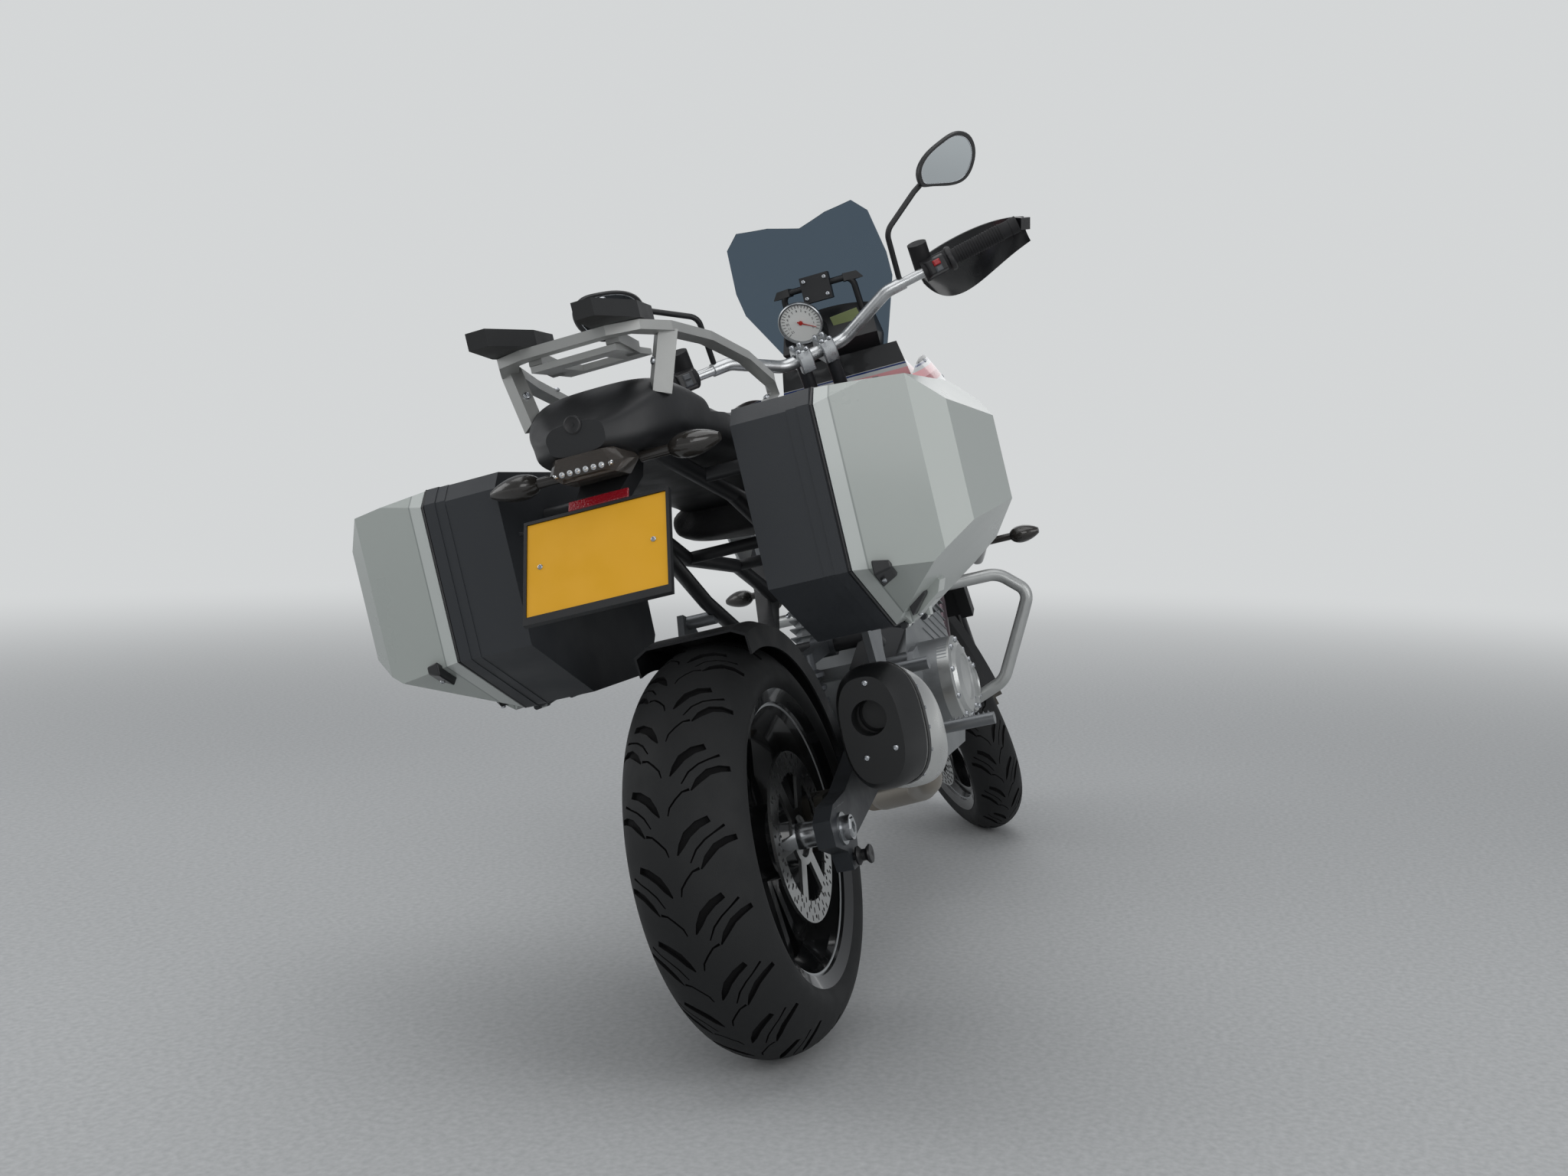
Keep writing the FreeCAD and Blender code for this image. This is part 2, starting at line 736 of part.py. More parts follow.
pocketed(swingarm, ring(sketch(swingarm, "XZ_Plane"), S.pivot_bore, S.pivot_x, S.pivot_z), 3 * ARM_OUTER)
pocketed(swingarm, ring(sketch(swingarm, "XZ_Plane"), S.bobbin_bore, S.bobbin_x, AXLE_Z - S.bobbin_drop),
         3 * ARM_OUTER)
piece(swingarm)

# Steering frame: the head tube's place and direction on the motorcycle
AXIS_DIR = Vector(-math.sin(math.radians(S.steering_rake.value)), 0, math.cos(math.radians(S.steering_rake.value)))
FORK = Placement(vec(S.wheelbase, 0, S.front_tyre_radius), Rotation(Vector(0, 1, 0), -S.steering_rake.value))


def on_fork(u, y, s):
    """A point given ahead of the fork, across and up along it, on the motorcycle."""
    return FORK.multVec(vec(u, y, s))


# Main frame: head tube, two beams round the engine and the plates at the swingarm pivot
sizes({
    "head_low": 613,
    "head_high": 777,
    "head_radius": 34,
    "stem_radius": 17,
    "beam_thick": 30,
    "beam_deep": 96,
    "frame_half": 148,
    "frame_plate_y": 77,
    "frame_foot_z": 322,
    "head_x": WHEELBASE - 353,
    "head_z": 915,
    "shock_bar_x": 648,
    "shock_bar_z": 560,
    "shock_bar_radius": 15,
})
head_length = float(S.head_high - S.head_low)
head_tube = Part.makeCylinder(float(S.head_radius), head_length, on_fork(AXIS_U, 0, S.head_low), AXIS_DIR)
stem_hole = Part.makeCylinder(float(S.stem_radius + S.bearing_gap), head_length + 2 * float(S.cut_overrun),
                              on_fork(AXIS_U, 0, S.head_low - S.cut_overrun), AXIS_DIR)
# Stations of a frame beam: share of the way from the head to the pivot, share of the half width, height
BEAM_SHARES = (
    (-0.02, 0.08, 1.000),
    (0.12, 0.57, 0.925),
    (0.31, 0.95, 0.817),
    (0.54, 1.00, 0.663),
    (0.75, 0.84, 0.471),
    (0.90, 0.50, 0.280),
)
frame_line = []
for along, wide, high in BEAM_SHARES:
    x = S.head_x - (S.head_x - S.pivot_x) * along
    z = S.frame_foot_z + (S.head_z - S.frame_foot_z) * high
    frame_line.append(vec(x, S.frame_half * wide, z))
frame_line.append(vec(S.pivot_x + S.beam_thick * 0.3, S.frame_plate_y, S.pivot_z))
frame_line.append(vec(S.pivot_x + S.beam_thick * 0.3, S.frame_plate_y, S.frame_foot_z))
deep_shares = (0.78, 0.86, 1.0, 0.95, 0.85, 0.8, 0.78, 0.7)
spar = beam(frame_line, [S.beam_thick] * len(frame_line), [S.beam_deep * share for share in deep_shares])
cross = block(S.pivot_x - S.beam_thick, S.pivot_x + S.beam_thick, -S.frame_plate_y, S.frame_plate_y,
              S.frame_foot_z, S.frame_foot_z + S.beam_thick)
shock_bar = drum(S.shock_bar_x, -S.frame_plate_y, S.shock_bar_z, S.shock_bar_radius, 2 * S.frame_plate_y)
pivot_hole = drum(S.pivot_x, -S.frame_half, S.pivot_z, S.pivot_tube_radius + S.seat_gap, 2 * S.frame_half)
frame_shape = fused([head_tube, cross, shock_bar] + both(spar)).cut(fused([stem_hole, pivot_hole]))
spar_room = beam(frame_line, [S.beam_thick + 2 * S.seat_gap] * len(frame_line),
                 [S.beam_deep * share + 2 * S.seat_gap for share in deep_shares])

# Engine: crankcase, leaning cylinder block and head, covers, and the output sprocket
sizes({
    "engine_rear": 702,
    "engine_front": 1120,
    "engine_bottom": 286,
    "engine_deck": 560,
    "engine_half": 112,
    "crank_half": 176,
    "head_half": 150,
    "block_lean": 22,
    "block_high": 222,
    "block_long": 190,
    "block_foot_x": 985,
    "block_foot_z": 520,
    "cover_radius": 84,
    "cover_thick": 26,
    "sump_drop": 46,
    "gearbox_rear": 612,
    "gearbox_half": 58,
    "shaft_radius": 14,
})
case_points = [
    (S.engine_rear, S.engine_bottom + S.sump_drop),
    (S.engine_rear, S.engine_deck - S.sump_drop),
    (S.engine_rear + S.sump_drop, S.engine_deck),
    (S.engine_front - S.sump_drop, S.engine_deck),
    (S.engine_front, S.engine_deck - S.sump_drop * 2),
    (S.engine_front, S.engine_bottom + S.sump_drop * 1.6),
    (S.engine_front - S.sump_drop * 2, S.engine_bottom),
    (S.engine_rear + S.sump_drop * 2, S.engine_bottom),
]
lean = Rotation(Vector(0, 1, 0), S.block_lean.value)


def on_block(x, y, z):
    """A point on the leaning cylinder block, from the middle of its foot."""
    return vec(S.block_foot_x, 0, S.block_foot_z) + lean.multVec(vec(x, y, z))


def block_slice(low, high, long, half):
    """A slab of the cylinder block between two heights, with bevelled ends."""
    bevel = float(S.sump_drop) * 0.4
    x = float(long) / 2
    y = float(half)
    corners = [(-x, -y + bevel), (-x, y - bevel), (-x + bevel, y), (x - bevel, y),
               (x, y - bevel), (x, -y + bevel), (x - bevel, -y), (-x + bevel, -y)]
    return corner_loft([[on_block(cx, cy, level) for cx, cy in corners] for level in (low, high)])


def engine_block(gap):
    """The leaning block, its head and its cover, or their room when drawn with a gap."""
    return [
        block_slice(-S.sump_drop, S.block_high * 0.52, S.block_long + 2 * gap, S.head_half - S.cover_thick * 0.6 + gap),
        block_slice(S.block_high * 0.5 - gap, S.block_high * 0.8 + gap, S.block_long * 1.16 + 2 * gap,
                    S.head_half + gap),
        block_slice(S.block_high * 0.78, S.block_high + gap, S.block_long * 0.96 + 2 * gap,
                    S.head_half - S.cover_thick * 0.4 + gap),
    ]


crankcase = side_plate(case_points, -S.engine_half - S.cover_thick, S.engine_half + S.cover_thick)
chain_room = drum(S.drive_x, S.chain_line - S.plate_high, S.drive_z, DRIVE_PITCH + S.plate_high, S.cover_radius)
engine_parts = [
    crankcase.cut(chain_room),
    block(S.gearbox_rear, S.engine_rear + S.sump_drop, -S.gearbox_half, S.gearbox_half,
          S.drive_z - S.cover_radius * 0.8, S.drive_z + S.cover_radius),
    drum(S.engine_rear + S.cover_radius * 1.3, -S.crank_half - S.cover_thick, S.drive_z + S.cover_radius * 0.3,
         S.cover_radius, S.crank_half),
    drum(S.engine_front - S.cover_radius * 1.15, -S.crank_half, S.drive_z - S.sump_drop * 0.2,
         S.cover_radius * 0.72, 2 * S.crank_half + S.cover_thick),
    drum(S.drive_x, 0, S.drive_z, S.shaft_radius, S.chain_line + S.sprocket_thick),
    drum(S.drive_x, S.chain_line - S.sprocket_thick * 0.5, S.drive_z,
         DRIVE_PITCH - S.roller_radius - S.plate_thick, S.sprocket_thick),
]
formed("engine", fused(engine_parts + engine_block(0)).cut(fused(both(spar_room))))

# Radiator: a thin slanted core with side tanks, ahead of the cylinder head
sizes({
    "radiator_half": 168,
    "radiator_half_high": 116,
    "radiator_z": 636,
    "radiator_x": WHEELBASE - 319,
    "radiator_tilt": 23,
    "radiator_thick": 32,
    "radiator_tank": 26,
})
core_half = S.radiator_half - S.radiator_tank
radiator_parts = [block(-S.radiator_thick * 0.4, S.radiator_thick * 0.4, -core_half, core_half,
                        -S.radiator_half_high + S.radiator_tank * 0.3, S.radiator_half_high - S.radiator_tank * 0.3)]
radiator_parts += both(block(-S.radiator_thick * 0.5, S.radiator_thick * 0.5, core_half, S.radiator_half,
                             -S.radiator_half_high, S.radiator_half_high))
for part in radiator_parts:
    part.Placement = Placement(vec(S.radiator_x, 0, S.radiator_z),
                               Rotation(Vector(0, 1, 0), -S.radiator_tilt.value)).multiply(part.Placement)
# A stay on each side tank holds the core below a frame beam
core_top = Rotation(Vector(0, 1, 0), -S.radiator_tilt.value).multVec(
    vec(0, core_half + S.radiator_tank * 0.5, S.radiator_half_high - S.radiator_tank * 0.3))
core_top += vec(S.radiator_x, 0, S.radiator_z)
stay_top = frame_line[1] * 0.35 + frame_line[2] * 0.65
stay = beam([core_top, vec(stay_top.x, stay_top.y, stay_top.z)], [S.radiator_tank * 0.5] * 2,
            [S.radiator_tank * 0.6] * 2)
formed("radiator", fused(radiator_parts + both(stay)).cut(fused(both(spar_room) + engine_block(S.seat_gap))))

# Exhaust: four header pipes down the front of the engine into one, then under it to the right
sizes({
    "header_radius": 19,
    "header_reach": 46,
    "header_knee_z": 440,
    "header_front": 1176,
    "header_low": 262,
    "port_spacing": 76,
    "collector_x": 1040,
    "midpipe_radius": 26,
    "midpipe_z": 252,
    "midpipe_y": 192,
    "silencer_front": 338,
    "silencer_inlet_y": 205,
    "silencer_inlet_z": 385,
})
exhaust_parts = []
for number in (-1.5, -0.5, 0.5, 1.5):
    side = number * S.port_spacing
    exhaust_parts.append(tube([
        on_block(S.block_long * 0.5, side, S.block_high * 0.65),
        on_block(S.block_long * 0.58 + S.header_reach, side, S.block_high * 0.65),
        vec(S.header_front, side * 0.9, S.header_knee_z),
        vec(S.header_front - S.port_spacing * 0.5, side * 0.6, S.header_low + S.port_spacing * 0.6),
        vec(S.header_front - S.port_spacing, side * 0.45, S.header_low),
        vec(S.collector_x, side * 0.3, S.header_low - S.header_radius * 0.4),
    ], S.header_radius, S.port_spacing * 0.8))
exhaust_parts.append(tube([
    vec(S.collector_x + S.midpipe_radius, 0, S.midpipe_z),
    vec(S.engine_rear, -S.midpipe_radius, S.midpipe_z),
    vec(S.pivot_x, -S.midpipe_y * 0.75, S.midpipe_z + S.midpipe_radius),
    vec(S.silencer_front + S.midpipe_y * 0.45, -S.midpipe_y, S.midpipe_z + S.midpipe_radius * 2.2),
    vec(S.silencer_front + S.midpipe_radius * 0.2, -S.silencer_inlet_y, S.silencer_inlet_z),
], S.midpipe_radius, S.port_spacing))
exhaust_parts.append(hull_through([
    (S.collector_x + S.port_spacing, 0, S.port_spacing * 0.7, S.header_low - S.header_radius * 1.3,
     S.header_low + S.header_radius),
    (S.collector_x, 0, S.port_spacing * 0.8, S.header_low - S.header_radius * 1.9, S.header_low + S.header_radius),
    (S.engine_rear + S.port_spacing, 0, S.port_spacing * 0.8, S.header_low - S.header_radius * 1.9,
     S.header_low + S.header_radius * 0.9),
    (S.engine_rear + S.port_spacing * 0.2, -S.midpipe_radius * 0.5, S.midpipe_radius, S.midpipe_z - S.midpipe_radius,
     S.midpipe_z + S.midpipe_radius),
], 3.5))
formed("exhaust_pipes", fused(exhaust_parts).cut(fused(engine_block(S.seat_gap))))

# Silencer: a six-sided can that grows towards the rear, with a black end cap round the outlet
sizes({
    "silencer_rear": 46,
    "silencer_y": 232,
    "silencer_z": 457,
    "silencer_half": 53,
    "silencer_half_high": 94,
    "silencer_belly": 64,
    "cap_long": 54,
    "outlet_radius": 27,
    "outlet_deep": 40,
})
# Stations of the silencer: share from its front to its rear, share of its width and of its height
CAN_SHARES = ((0.0, 0.42, 0.32), (0.08, 0.66, 0.56), (0.3, 0.92, 0.80), (0.62, 1.0, 0.97), (0.85, 0.96, 1.0),
              (1.0, 0.90, 1.0))


def can_station(share, wide, high):
    x = S.silencer_front + (S.silencer_rear - S.silencer_front) * share
    middle_y = S.silencer_inlet_y + (S.silencer_y + S.silencer_belly * 0.15 - S.silencer_inlet_y) * min(share * 1.4, 1)
    middle_z = S.silencer_inlet_z + (S.silencer_z - S.silencer_inlet_z) * share
    half = S.silencer_belly * wide
    return (x, -middle_y, half, middle_z - S.silencer_half_high * high, middle_z + S.silencer_half_high * high)


can = hull_through([can_station(*shares) for shares in CAN_SHARES], 2.6)
socket = Part.makeSphere(float(S.midpipe_radius + S.seat_gap),
                         vec(S.silencer_front + S.midpipe_radius * 0.2, -S.silencer_inlet_y, S.silencer_inlet_z))
formed("silencer", can.cut(fused([socket] + [exhaust_parts[4]])))
cap_start = can_station(*CAN_SHARES[-1])
cap = hull_through([
    (S.silencer_rear - S.seat_gap, *cap_start[1:]),
    (S.silencer_rear - S.cap_long * 0.7, -S.silencer_y, S.silencer_half, S.silencer_z - S.silencer_half_high * 0.97,
     S.silencer_z + S.silencer_half_high * 0.97),
    (S.silencer_rear - S.cap_long, -S.silencer_y, S.silencer_half * 0.86, S.silencer_z - S.silencer_half_high * 0.86,
     S.silencer_z + S.silencer_half_high * 0.86),
], 2.6)
outlet = Part.makeCylinder(float(S.outlet_radius), float(S.outlet_deep),
                           vec(S.silencer_rear - S.cap_long - S.cut_overrun, -S.silencer_y,
                               S.silencer_z + S.silencer_half_high * 0.2), Vector(1, 0, 0))
formed("silencer_end_cap", cap.cut(outlet))

# Rear shock: a damper with its spring, upright ahead of the tyre
sizes({
    "shock_x": 487,
    "shock_low": 316,
    "shock_high": 560,
    "shock_radius": 22,
    "spring_radius": 33,
    "spring_wire": 6,
    "spring_turns": 7,
})
# The damper and its spring are one turned outline, with a ridge for every turn of the wire
spring_low = S.shock_low + (S.shock_high - S.shock_low) * 0.2
spring_pitch = (S.shock_high - S.shock_low) * 0.7 / S.spring_turns
shock_ring = [vec(S.shock_x, 0, S.shock_low), vec(S.shock_x + S.shock_radius, 0, S.shock_low)]
for number in range(int(S.spring_turns.value)):
    for out, along in ((S.shock_radius, 0), (S.spring_radius, 0.25), (S.spring_radius, 0.55), (S.shock_radius, 0.8)):
        shock_ring.append(vec(S.shock_x + out, 0, spring_low + spring_pitch * (number + along)))
shock_ring += [vec(S.shock_x + S.shock_radius, 0, S.shock_high), vec(S.shock_x, 0, S.shock_high)]
shock_parts = [Part.Face(Part.makePolygon(shock_ring + [shock_ring[0]])).revolve(
    vec(S.shock_x, 0, 0), Vector(0, 0, 1), 360)]
shock_parts.append(block(S.beam_front + S.seat_gap, S.shock_x, -S.shock_radius * 0.6, S.shock_radius * 0.6,
                         S.beam_bottom + S.spring_wire, S.beam_bottom + S.shock_radius * 1.4))
shock_eye = drum(S.shock_bar_x, -S.shock_radius, S.shock_bar_z, S.shock_bar_radius + S.spring_wire, 2 * S.shock_radius)
shock_parts.append(shock_eye)
shock_parts.append(beam([vec(S.shock_x, 0, S.shock_high - S.spring_wire * 2), vec(S.shock_bar_x, 0, S.shock_bar_z)],
                        [S.shock_radius * 1.2] * 2, [S.shock_radius] * 2))
shock_hole = drum(S.shock_bar_x, -S.frame_half, S.shock_bar_z, S.shock_bar_radius + S.seat_gap, 2 * S.frame_half)
formed("rear_shock", fused(shock_parts).cut(shock_hole))

# Mudguards: arched shells with side skirts, turned round the axles
sizes({
    "hugger_half": 92,
    "hugger_skirt": 40,
    "hugger_arc": 88,
    "fender_gap": 13,
    "fender_half": 70,
    "fender_skirt": 48,
    "fender_front_angle": 38,
    "fender_arc": 112,
})


def mudguard(label, tyre_radius, gap, half, skirt, front_angle, arc, frame):
    owner = body(label)
    inner = tyre_radius + gap
    outer = inner + S.hugger_wall
    points = [
        (inner - skirt, -half),
        (outer - S.hugger_wall * 3, -half),
        (outer, -half + S.hugger_wall * 6),
        (outer, half - S.hugger_wall * 6),
        (outer - S.hugger_wall * 3, half),
        (inner - skirt, half),
        (inner - skirt, half - S.hugger_wall),
        (inner - S.hugger_wall * 3, half - S.hugger_wall),
        (inner, half - S.hugger_wall * 6.5),
        (inner, -half + S.hugger_wall * 6.5),
        (inner - S.hugger_wall * 3, -half + S.hugger_wall),
        (inner - skirt, -half + S.hugger_wall),
    ]
    revolved(owner, outline(sketch(owner, "XY_Plane"), points), arc)
    turn = Placement(Vector(0, 0, 0), Rotation(Vector(0, 1, 0), -(front_angle + arc).value))
    return piece(owner, frame, turn)


mudguard("rear_hugger", S.rear_tyre_radius, S.hugger_gap, S.hugger_half, S.hugger_skirt,
         S.hugger_front_angle, S.hugger_arc, "rear_wheel")
mudguard("front_fender", S.front_tyre_radius, S.fender_gap, S.fender_half, S.fender_skirt,
         S.fender_front_angle, S.fender_arc, "fork")

# Callipers: blocks that reach over the edge of a disc, with a slot for it
sizes({
    "pad_gap": 1.5,
    "calliper_thick": 40,
    "calliper_long": 84,
    "calliper_reach": 62,
    "front_calliper_angle": 148,
    "rear_calliper_angle": 38,
    "lug_thick": 12,
})


def calliper(disc_radius, inner_face, angle, lug_to):
    """A calliper on the left of a wheel, the disc's inner face at a distance from the wheel's middle."""
    middle = inner_face + S.disc_thick * 0.5
    low = disc_radius - S.disc_band * 1.25
    high = low + S.calliper_reach
    y0 = middle - S.calliper_thick * 0.5
    long = S.calliper_long
    shape = block(low, high, y0, y0 + S.calliper_thick, -long * 0.5, long * 0.5)
    slot = block(low - S.cut_overrun, disc_radius + S.pad_gap * 2, middle - S.disc_thick * 0.5 - S.pad_gap,
                 middle + S.disc_thick * 0.5 + S.pad_gap, -long, long)
    shape = shape.cut(slot)
    lug = block(high - S.lug_thick * 2, high, y0 + S.calliper_thick - S.lug_thick, lug_to,
                -long * 0.3, long * 0.3)
    shape = shape.fuse(lug)
    shape.rotate(Vector(0, 0, 0), Vector(0, 1, 0), -angle.value)
    return shape


front_calliper = calliper(S.front_disc_radius, S.front_hub_half + S.seat_gap, S.front_calliper_angle,
                          S.front_hub_half + S.calliper_thick)
rear_calliper = calliper(S.rear_disc_radius, S.rear_hub_right + S.seat_gap, S.rear_calliper_angle,
                         S.arm_inner - S.seat_gap)
formed("rear_calliper", mirror_y(rear_calliper), "rear_wheel")

# Fork: outer tubes above, sliders below, a foot round the axle and a lug for the calliper and the fender
sizes({
    "fork_half": 105,
    "fork_tube_radius": 29,
    "slider_radius": 23,
    "tube_low": 345,
    "tube_high": 829,
    "foot_radius": 27,
    "foot_half": 23,
    "leg_low": -28,
})
leg = fused([
    Part.makeCylinder(float(S.fork_tube_radius), float(S.tube_high - S.tube_low), vec(0, S.fork_half, S.tube_low)),
    Part.makeCylinder(float(S.slider_radius), float(S.tube_low - S.leg_low) + float(S.cut_overrun),
                      vec(0, S.fork_half, S.leg_low)),
    drum(0, S.fork_half - S.foot_half, 0, S.foot_radius, 2 * S.foot_half),
])
fender_lug = block(-S.slider_radius * 0.5, S.slider_radius * 0.5, S.fender_half + S.seat_gap, S.fork_half,
                   S.front_tyre_radius - S.fender_skirt * 0.6, S.front_tyre_radius - S.fender_skirt * 0.1)
leg = leg.fuse(fender_lug).cut(drum(0, 0, 0, S.front_axle_radius + S.seat_gap, 2 * S.fork_half))
formed("fork_legs", both(leg), "fork")

axle("front_axle", S.front_axle_radius, S.fork_half + S.foot_half + S.axle_nut_radius * 0.6,
     S.fork_half - S.foot_half, S.fork_half - S.foot_half, S.fork_half + S.foot_half,
     S.front_hub_half, S.front_hub_half, S.axle_nut_radius * 0.95, "fork")

sizes({
    "lug_s": 118,
})
front_lug = block(-S.fork_half, -S.slider_radius * 0.72, S.fork_half - S.lug_thick * 1.9,
                  S.fork_half - S.lug_thick * 0.9, S.lug_s - S.lug_thick, S.lug_s + S.lug_thick)
front_lug = front_lug.cut(Part.makeCylinder(float(S.slider_radius + S.seat_gap), float(S.tube_low),
                                            vec(0, S.fork_half, 0)))
slot = drum(0, S.front_hub_half - S.pad_gap, 0, S.front_disc_radius + S.pad_gap * 2,
            S.disc_thick + S.pad_gap * 2 + S.seat_gap)
formed("front_callipers", both(fused([front_calliper, front_lug]).cut(slot)), "fork")

# Yokes: two clamps across the fork legs and the steering stem between them
sizes({
    "yoke_thick": 32,
    "top_yoke_thick": 24,
    "yoke_ring": 42,
    "yoke_gap": 4,
    "riser_radius": 15,
    "riser_y": 33,
    "bar_u": 10,
    "bar_s": 945,
    "bar_radius": 14,
})


def yoke(low, thick):
    """A clamp seen from above: bored for both legs and running back to the stem."""
    r = S.yoke_ring * 0.8
    points = [
        (r, S.fork_half - r), (r, S.fork_half + r * 0.4), (r * 0.4, S.fork_half + r), (-r * 0.4, S.fork_half + r),
        (-r, S.fork_half + r * 0.4), (-r, S.fork_half - r), (AXIS_U - S.head_radius, S.head_radius * 0.6),
    ]
    points = [vec(u, y, low) for u, y in points]
    points += [Vector(p.x, -p.y, p.z) for p in reversed(points)]
    plate = Part.Face(Part.makePolygon(points + [points[0]])).extrude(vec(0, 0, thick))
    for side in (1, -1):
        plate = plate.cut(Part.makeCylinder(float(S.fork_tube_radius + S.seat_gap), 2 * float(S.tube_high),
                                            vec(0, side * S.fork_half, 0)))
    return plate


risers = []
for side in (1, -1):
    foot = vec(0, side * S.riser_y, S.head_high + S.yoke_gap)
    top = vec(S.bar_u, side * S.riser_y, S.bar_s + S.bar_radius)
    risers.append(Part.makeCylinder(float(S.riser_radius), (top - foot).Length, foot, top - foot))
bar_hole = drum(S.bar_u, -S.fork_half, S.bar_s, S.bar_radius + S.seat_gap, 2 * S.fork_half)
stem = Part.makeCylinder(float(S.stem_radius), float(S.head_high - S.head_low + S.yoke_thick + S.yoke_gap * 3),
                         vec(AXIS_U, 0, S.head_low - S.yoke_gap - S.yoke_thick * 0.5))
# A bearing collar at each end of the head tube takes up the gap to its yoke
collar_long = float(S.yoke_gap - S.bearing_gap)
collars = [Part.makeCylinder(float(S.head_radius) * 0.85, collar_long, vec(AXIS_U, 0, low))
           for low in (S.head_low - S.yoke_gap, S.head_high + S.bearing_gap)]
formed("yokes", fused([
    yoke(S.head_low - S.yoke_gap - S.yoke_thick, S.yoke_thick),
    yoke(S.head_high + S.yoke_gap, S.top_yoke_thick), stem] + risers + collars).cut(bar_hole), "fork")

# Handlebar: a tapered tube that rises from its clamps and sweeps back to the grips
sizes({
    "bar_end_radius": 11,
    "bar_half": BAR_HALF,
    "grip_radius": 17,
    "grip_inner_y": 330,
    "grip_sweep": 107,
    "grip_rise": 107,
    "bar_bend_y": 188,
    "bar_bend_u": -20,
    "bar_bend_s": 1013,
    "bar_bend": 60,
})


def bar_point(y):
    """The middle line of the outer stretch of the bar at a distance from the middle."""
    share = (y - S.bar_bend_y) / (S.bar_half - S.bar_bend_y)
    return vec(S.bar_bend_u + (S.bar_u - S.grip_sweep - S.bar_bend_u) * share, y,
               S.bar_bend_s + (S.bar_s + S.grip_rise - S.bar_bend_s) * share)


joint_y = S.bar_bend_y + S.bar_bend * 0.7
middle_points = [vec(S.bar_u, S.riser_y * 2.2, S.bar_s), vec(S.bar_bend_u, S.bar_bend_y, S.bar_bend_s)]
middle_points = [bar_point(joint_y)] + middle_points[::-1]
middle_points += [Vector(p.x, -p.y, p.z) for p in reversed(middle_points)]
ends = [tube([bar_point(joint_y - S.bar_radius), bar_point(S.bar_half)], S.bar_end_radius, S.bar_bend)]
formed("handlebar", [tube(middle_points, S.bar_radius, S.bar_bend)] + ends + [mirror_y(ends[0])], "fork")

# Grips, switch blocks, levers and reservoirs on the bar, all bored for it
sizes({
    "switch_radius": 23,
    "switch_wide": 56,
    "bar_weight_radius": 18,
    "bar_weight_long": 17,
    "lever_out": 52,
    "lever_drop": 10,
    "lever_thick": 7,
    "reservoir_radius": 21,
    "reservoir_high": 34,
})


def sleeve(y0, y1, radius):
    """A round sleeve on the bar between two distances from the middle."""
    start = bar_point(y0)
    run = bar_point(y1) - start
    return Part.makeCylinder(float(radius), run.Length, start, run)


bar_core = sleeve(S.bar_bend_y, S.bar_half + S.bar_weight_long, S.bar_end_radius + S.seat_gap)
bar_core = bar_core.fuse(sleeve(S.bar_bend_y, joint_y + S.seat_gap, S.bar_radius + S.seat_gap))
switch_y = S.grip_inner_y - S.switch_wide - S.seat_gap
lever_points = [
    bar_point(switch_y + S.switch_wide * 0.3) + vec(S.switch_radius * 0.8, 0, 0),
    bar_point(S.grip_inner_y) + vec(S.lever_out, 0, -S.lever_drop),
    bar_point(S.bar_half - S.bar_weight_long * 2) + vec(S.lever_out * 0.9, 0, -S.lever_drop),
]
reservoir_foot = bar_point(switch_y + S.switch_wide * 0.2) + vec(S.switch_radius, 0, 0)
controls = fused([
    sleeve(S.grip_inner_y, S.bar_half, S.grip_radius),
    sleeve(switch_y, S.grip_inner_y, S.switch_radius),
    tube(lever_points, S.lever_thick, S.lever_out),
    Part.makeCylinder(float(S.reservoir_radius), float(S.reservoir_high + S.switch_radius), reservoir_foot),
]).cut(bar_core)
weight = sleeve(S.bar_half + S.seat_gap, S.bar_half + S.bar_weight_long, S.bar_weight_radius)
formed("bar_controls", both(controls) + both(weight), "fork")

# Hand guards: bowed shields ahead of the levers, fixed at the bar ends
sizes({
    "guard_inner_y": 292,
    "guard_outer_y": BAR_HALF + 37,
    "guard_thick": 5,
    "guard_out": 88,
    "guard_low_drop": 112,
    "guard_high_rise": 8,
})
# Stations of a guard: share across, share of the reach ahead, share of the drop, share of the rise
GUARD_SHARES = ((0.0, 0.85, 0.45, 0.2), (0.3, 1.0, 1.0, 0.8), (0.65, 0.92, 0.9, 1.0), (0.9, 0.5, 0.62, 0.9),
                (1.0, 0.1, 0.45, 0.6))
guard_rows = []
for level in (0.0, 0.5, 1.0):
    row = []
    for across, ahead, drop, rise in GUARD_SHARES:
        y = S.guard_inner_y + (S.guard_outer_y - S.guard_inner_y) * across
        middle = bar_point(y)
        low = middle.z - float(S.guard_low_drop) * drop
        high = middle.z + float(S.guard_high_rise) * rise
        bow = math.sin(math.pi * level) * float(S.guard_thick) * 2
        row.append(vec(middle.x + S.guard_out * ahead + bow, y, low + (high - low) * level))
    guard_rows.append(row)
guard = skin(guard_rows, S.guard_thick, Vector(1, 0, 0))
guard_end = beam([bar_point(S.bar_half + S.bar_weight_long + S.seat_gap),
                  bar_point(S.guard_outer_y + S.guard_thick * 0.5) + vec(S.guard_out * 0.12, 0, -S.guard_low_drop * 0.1)],
                 [S.bar_weight_radius * 1.4] * 2, [S.bar_weight_radius * 1.4] * 2)
weight_room = sleeve(S.bar_half - S.bar_weight_long, S.bar_half + S.bar_weight_long + S.seat_gap,
                     S.bar_weight_radius + S.seat_gap)
formed("hand_guards", both(guard.fuse(guard_end).cut(weight_room)), "fork")

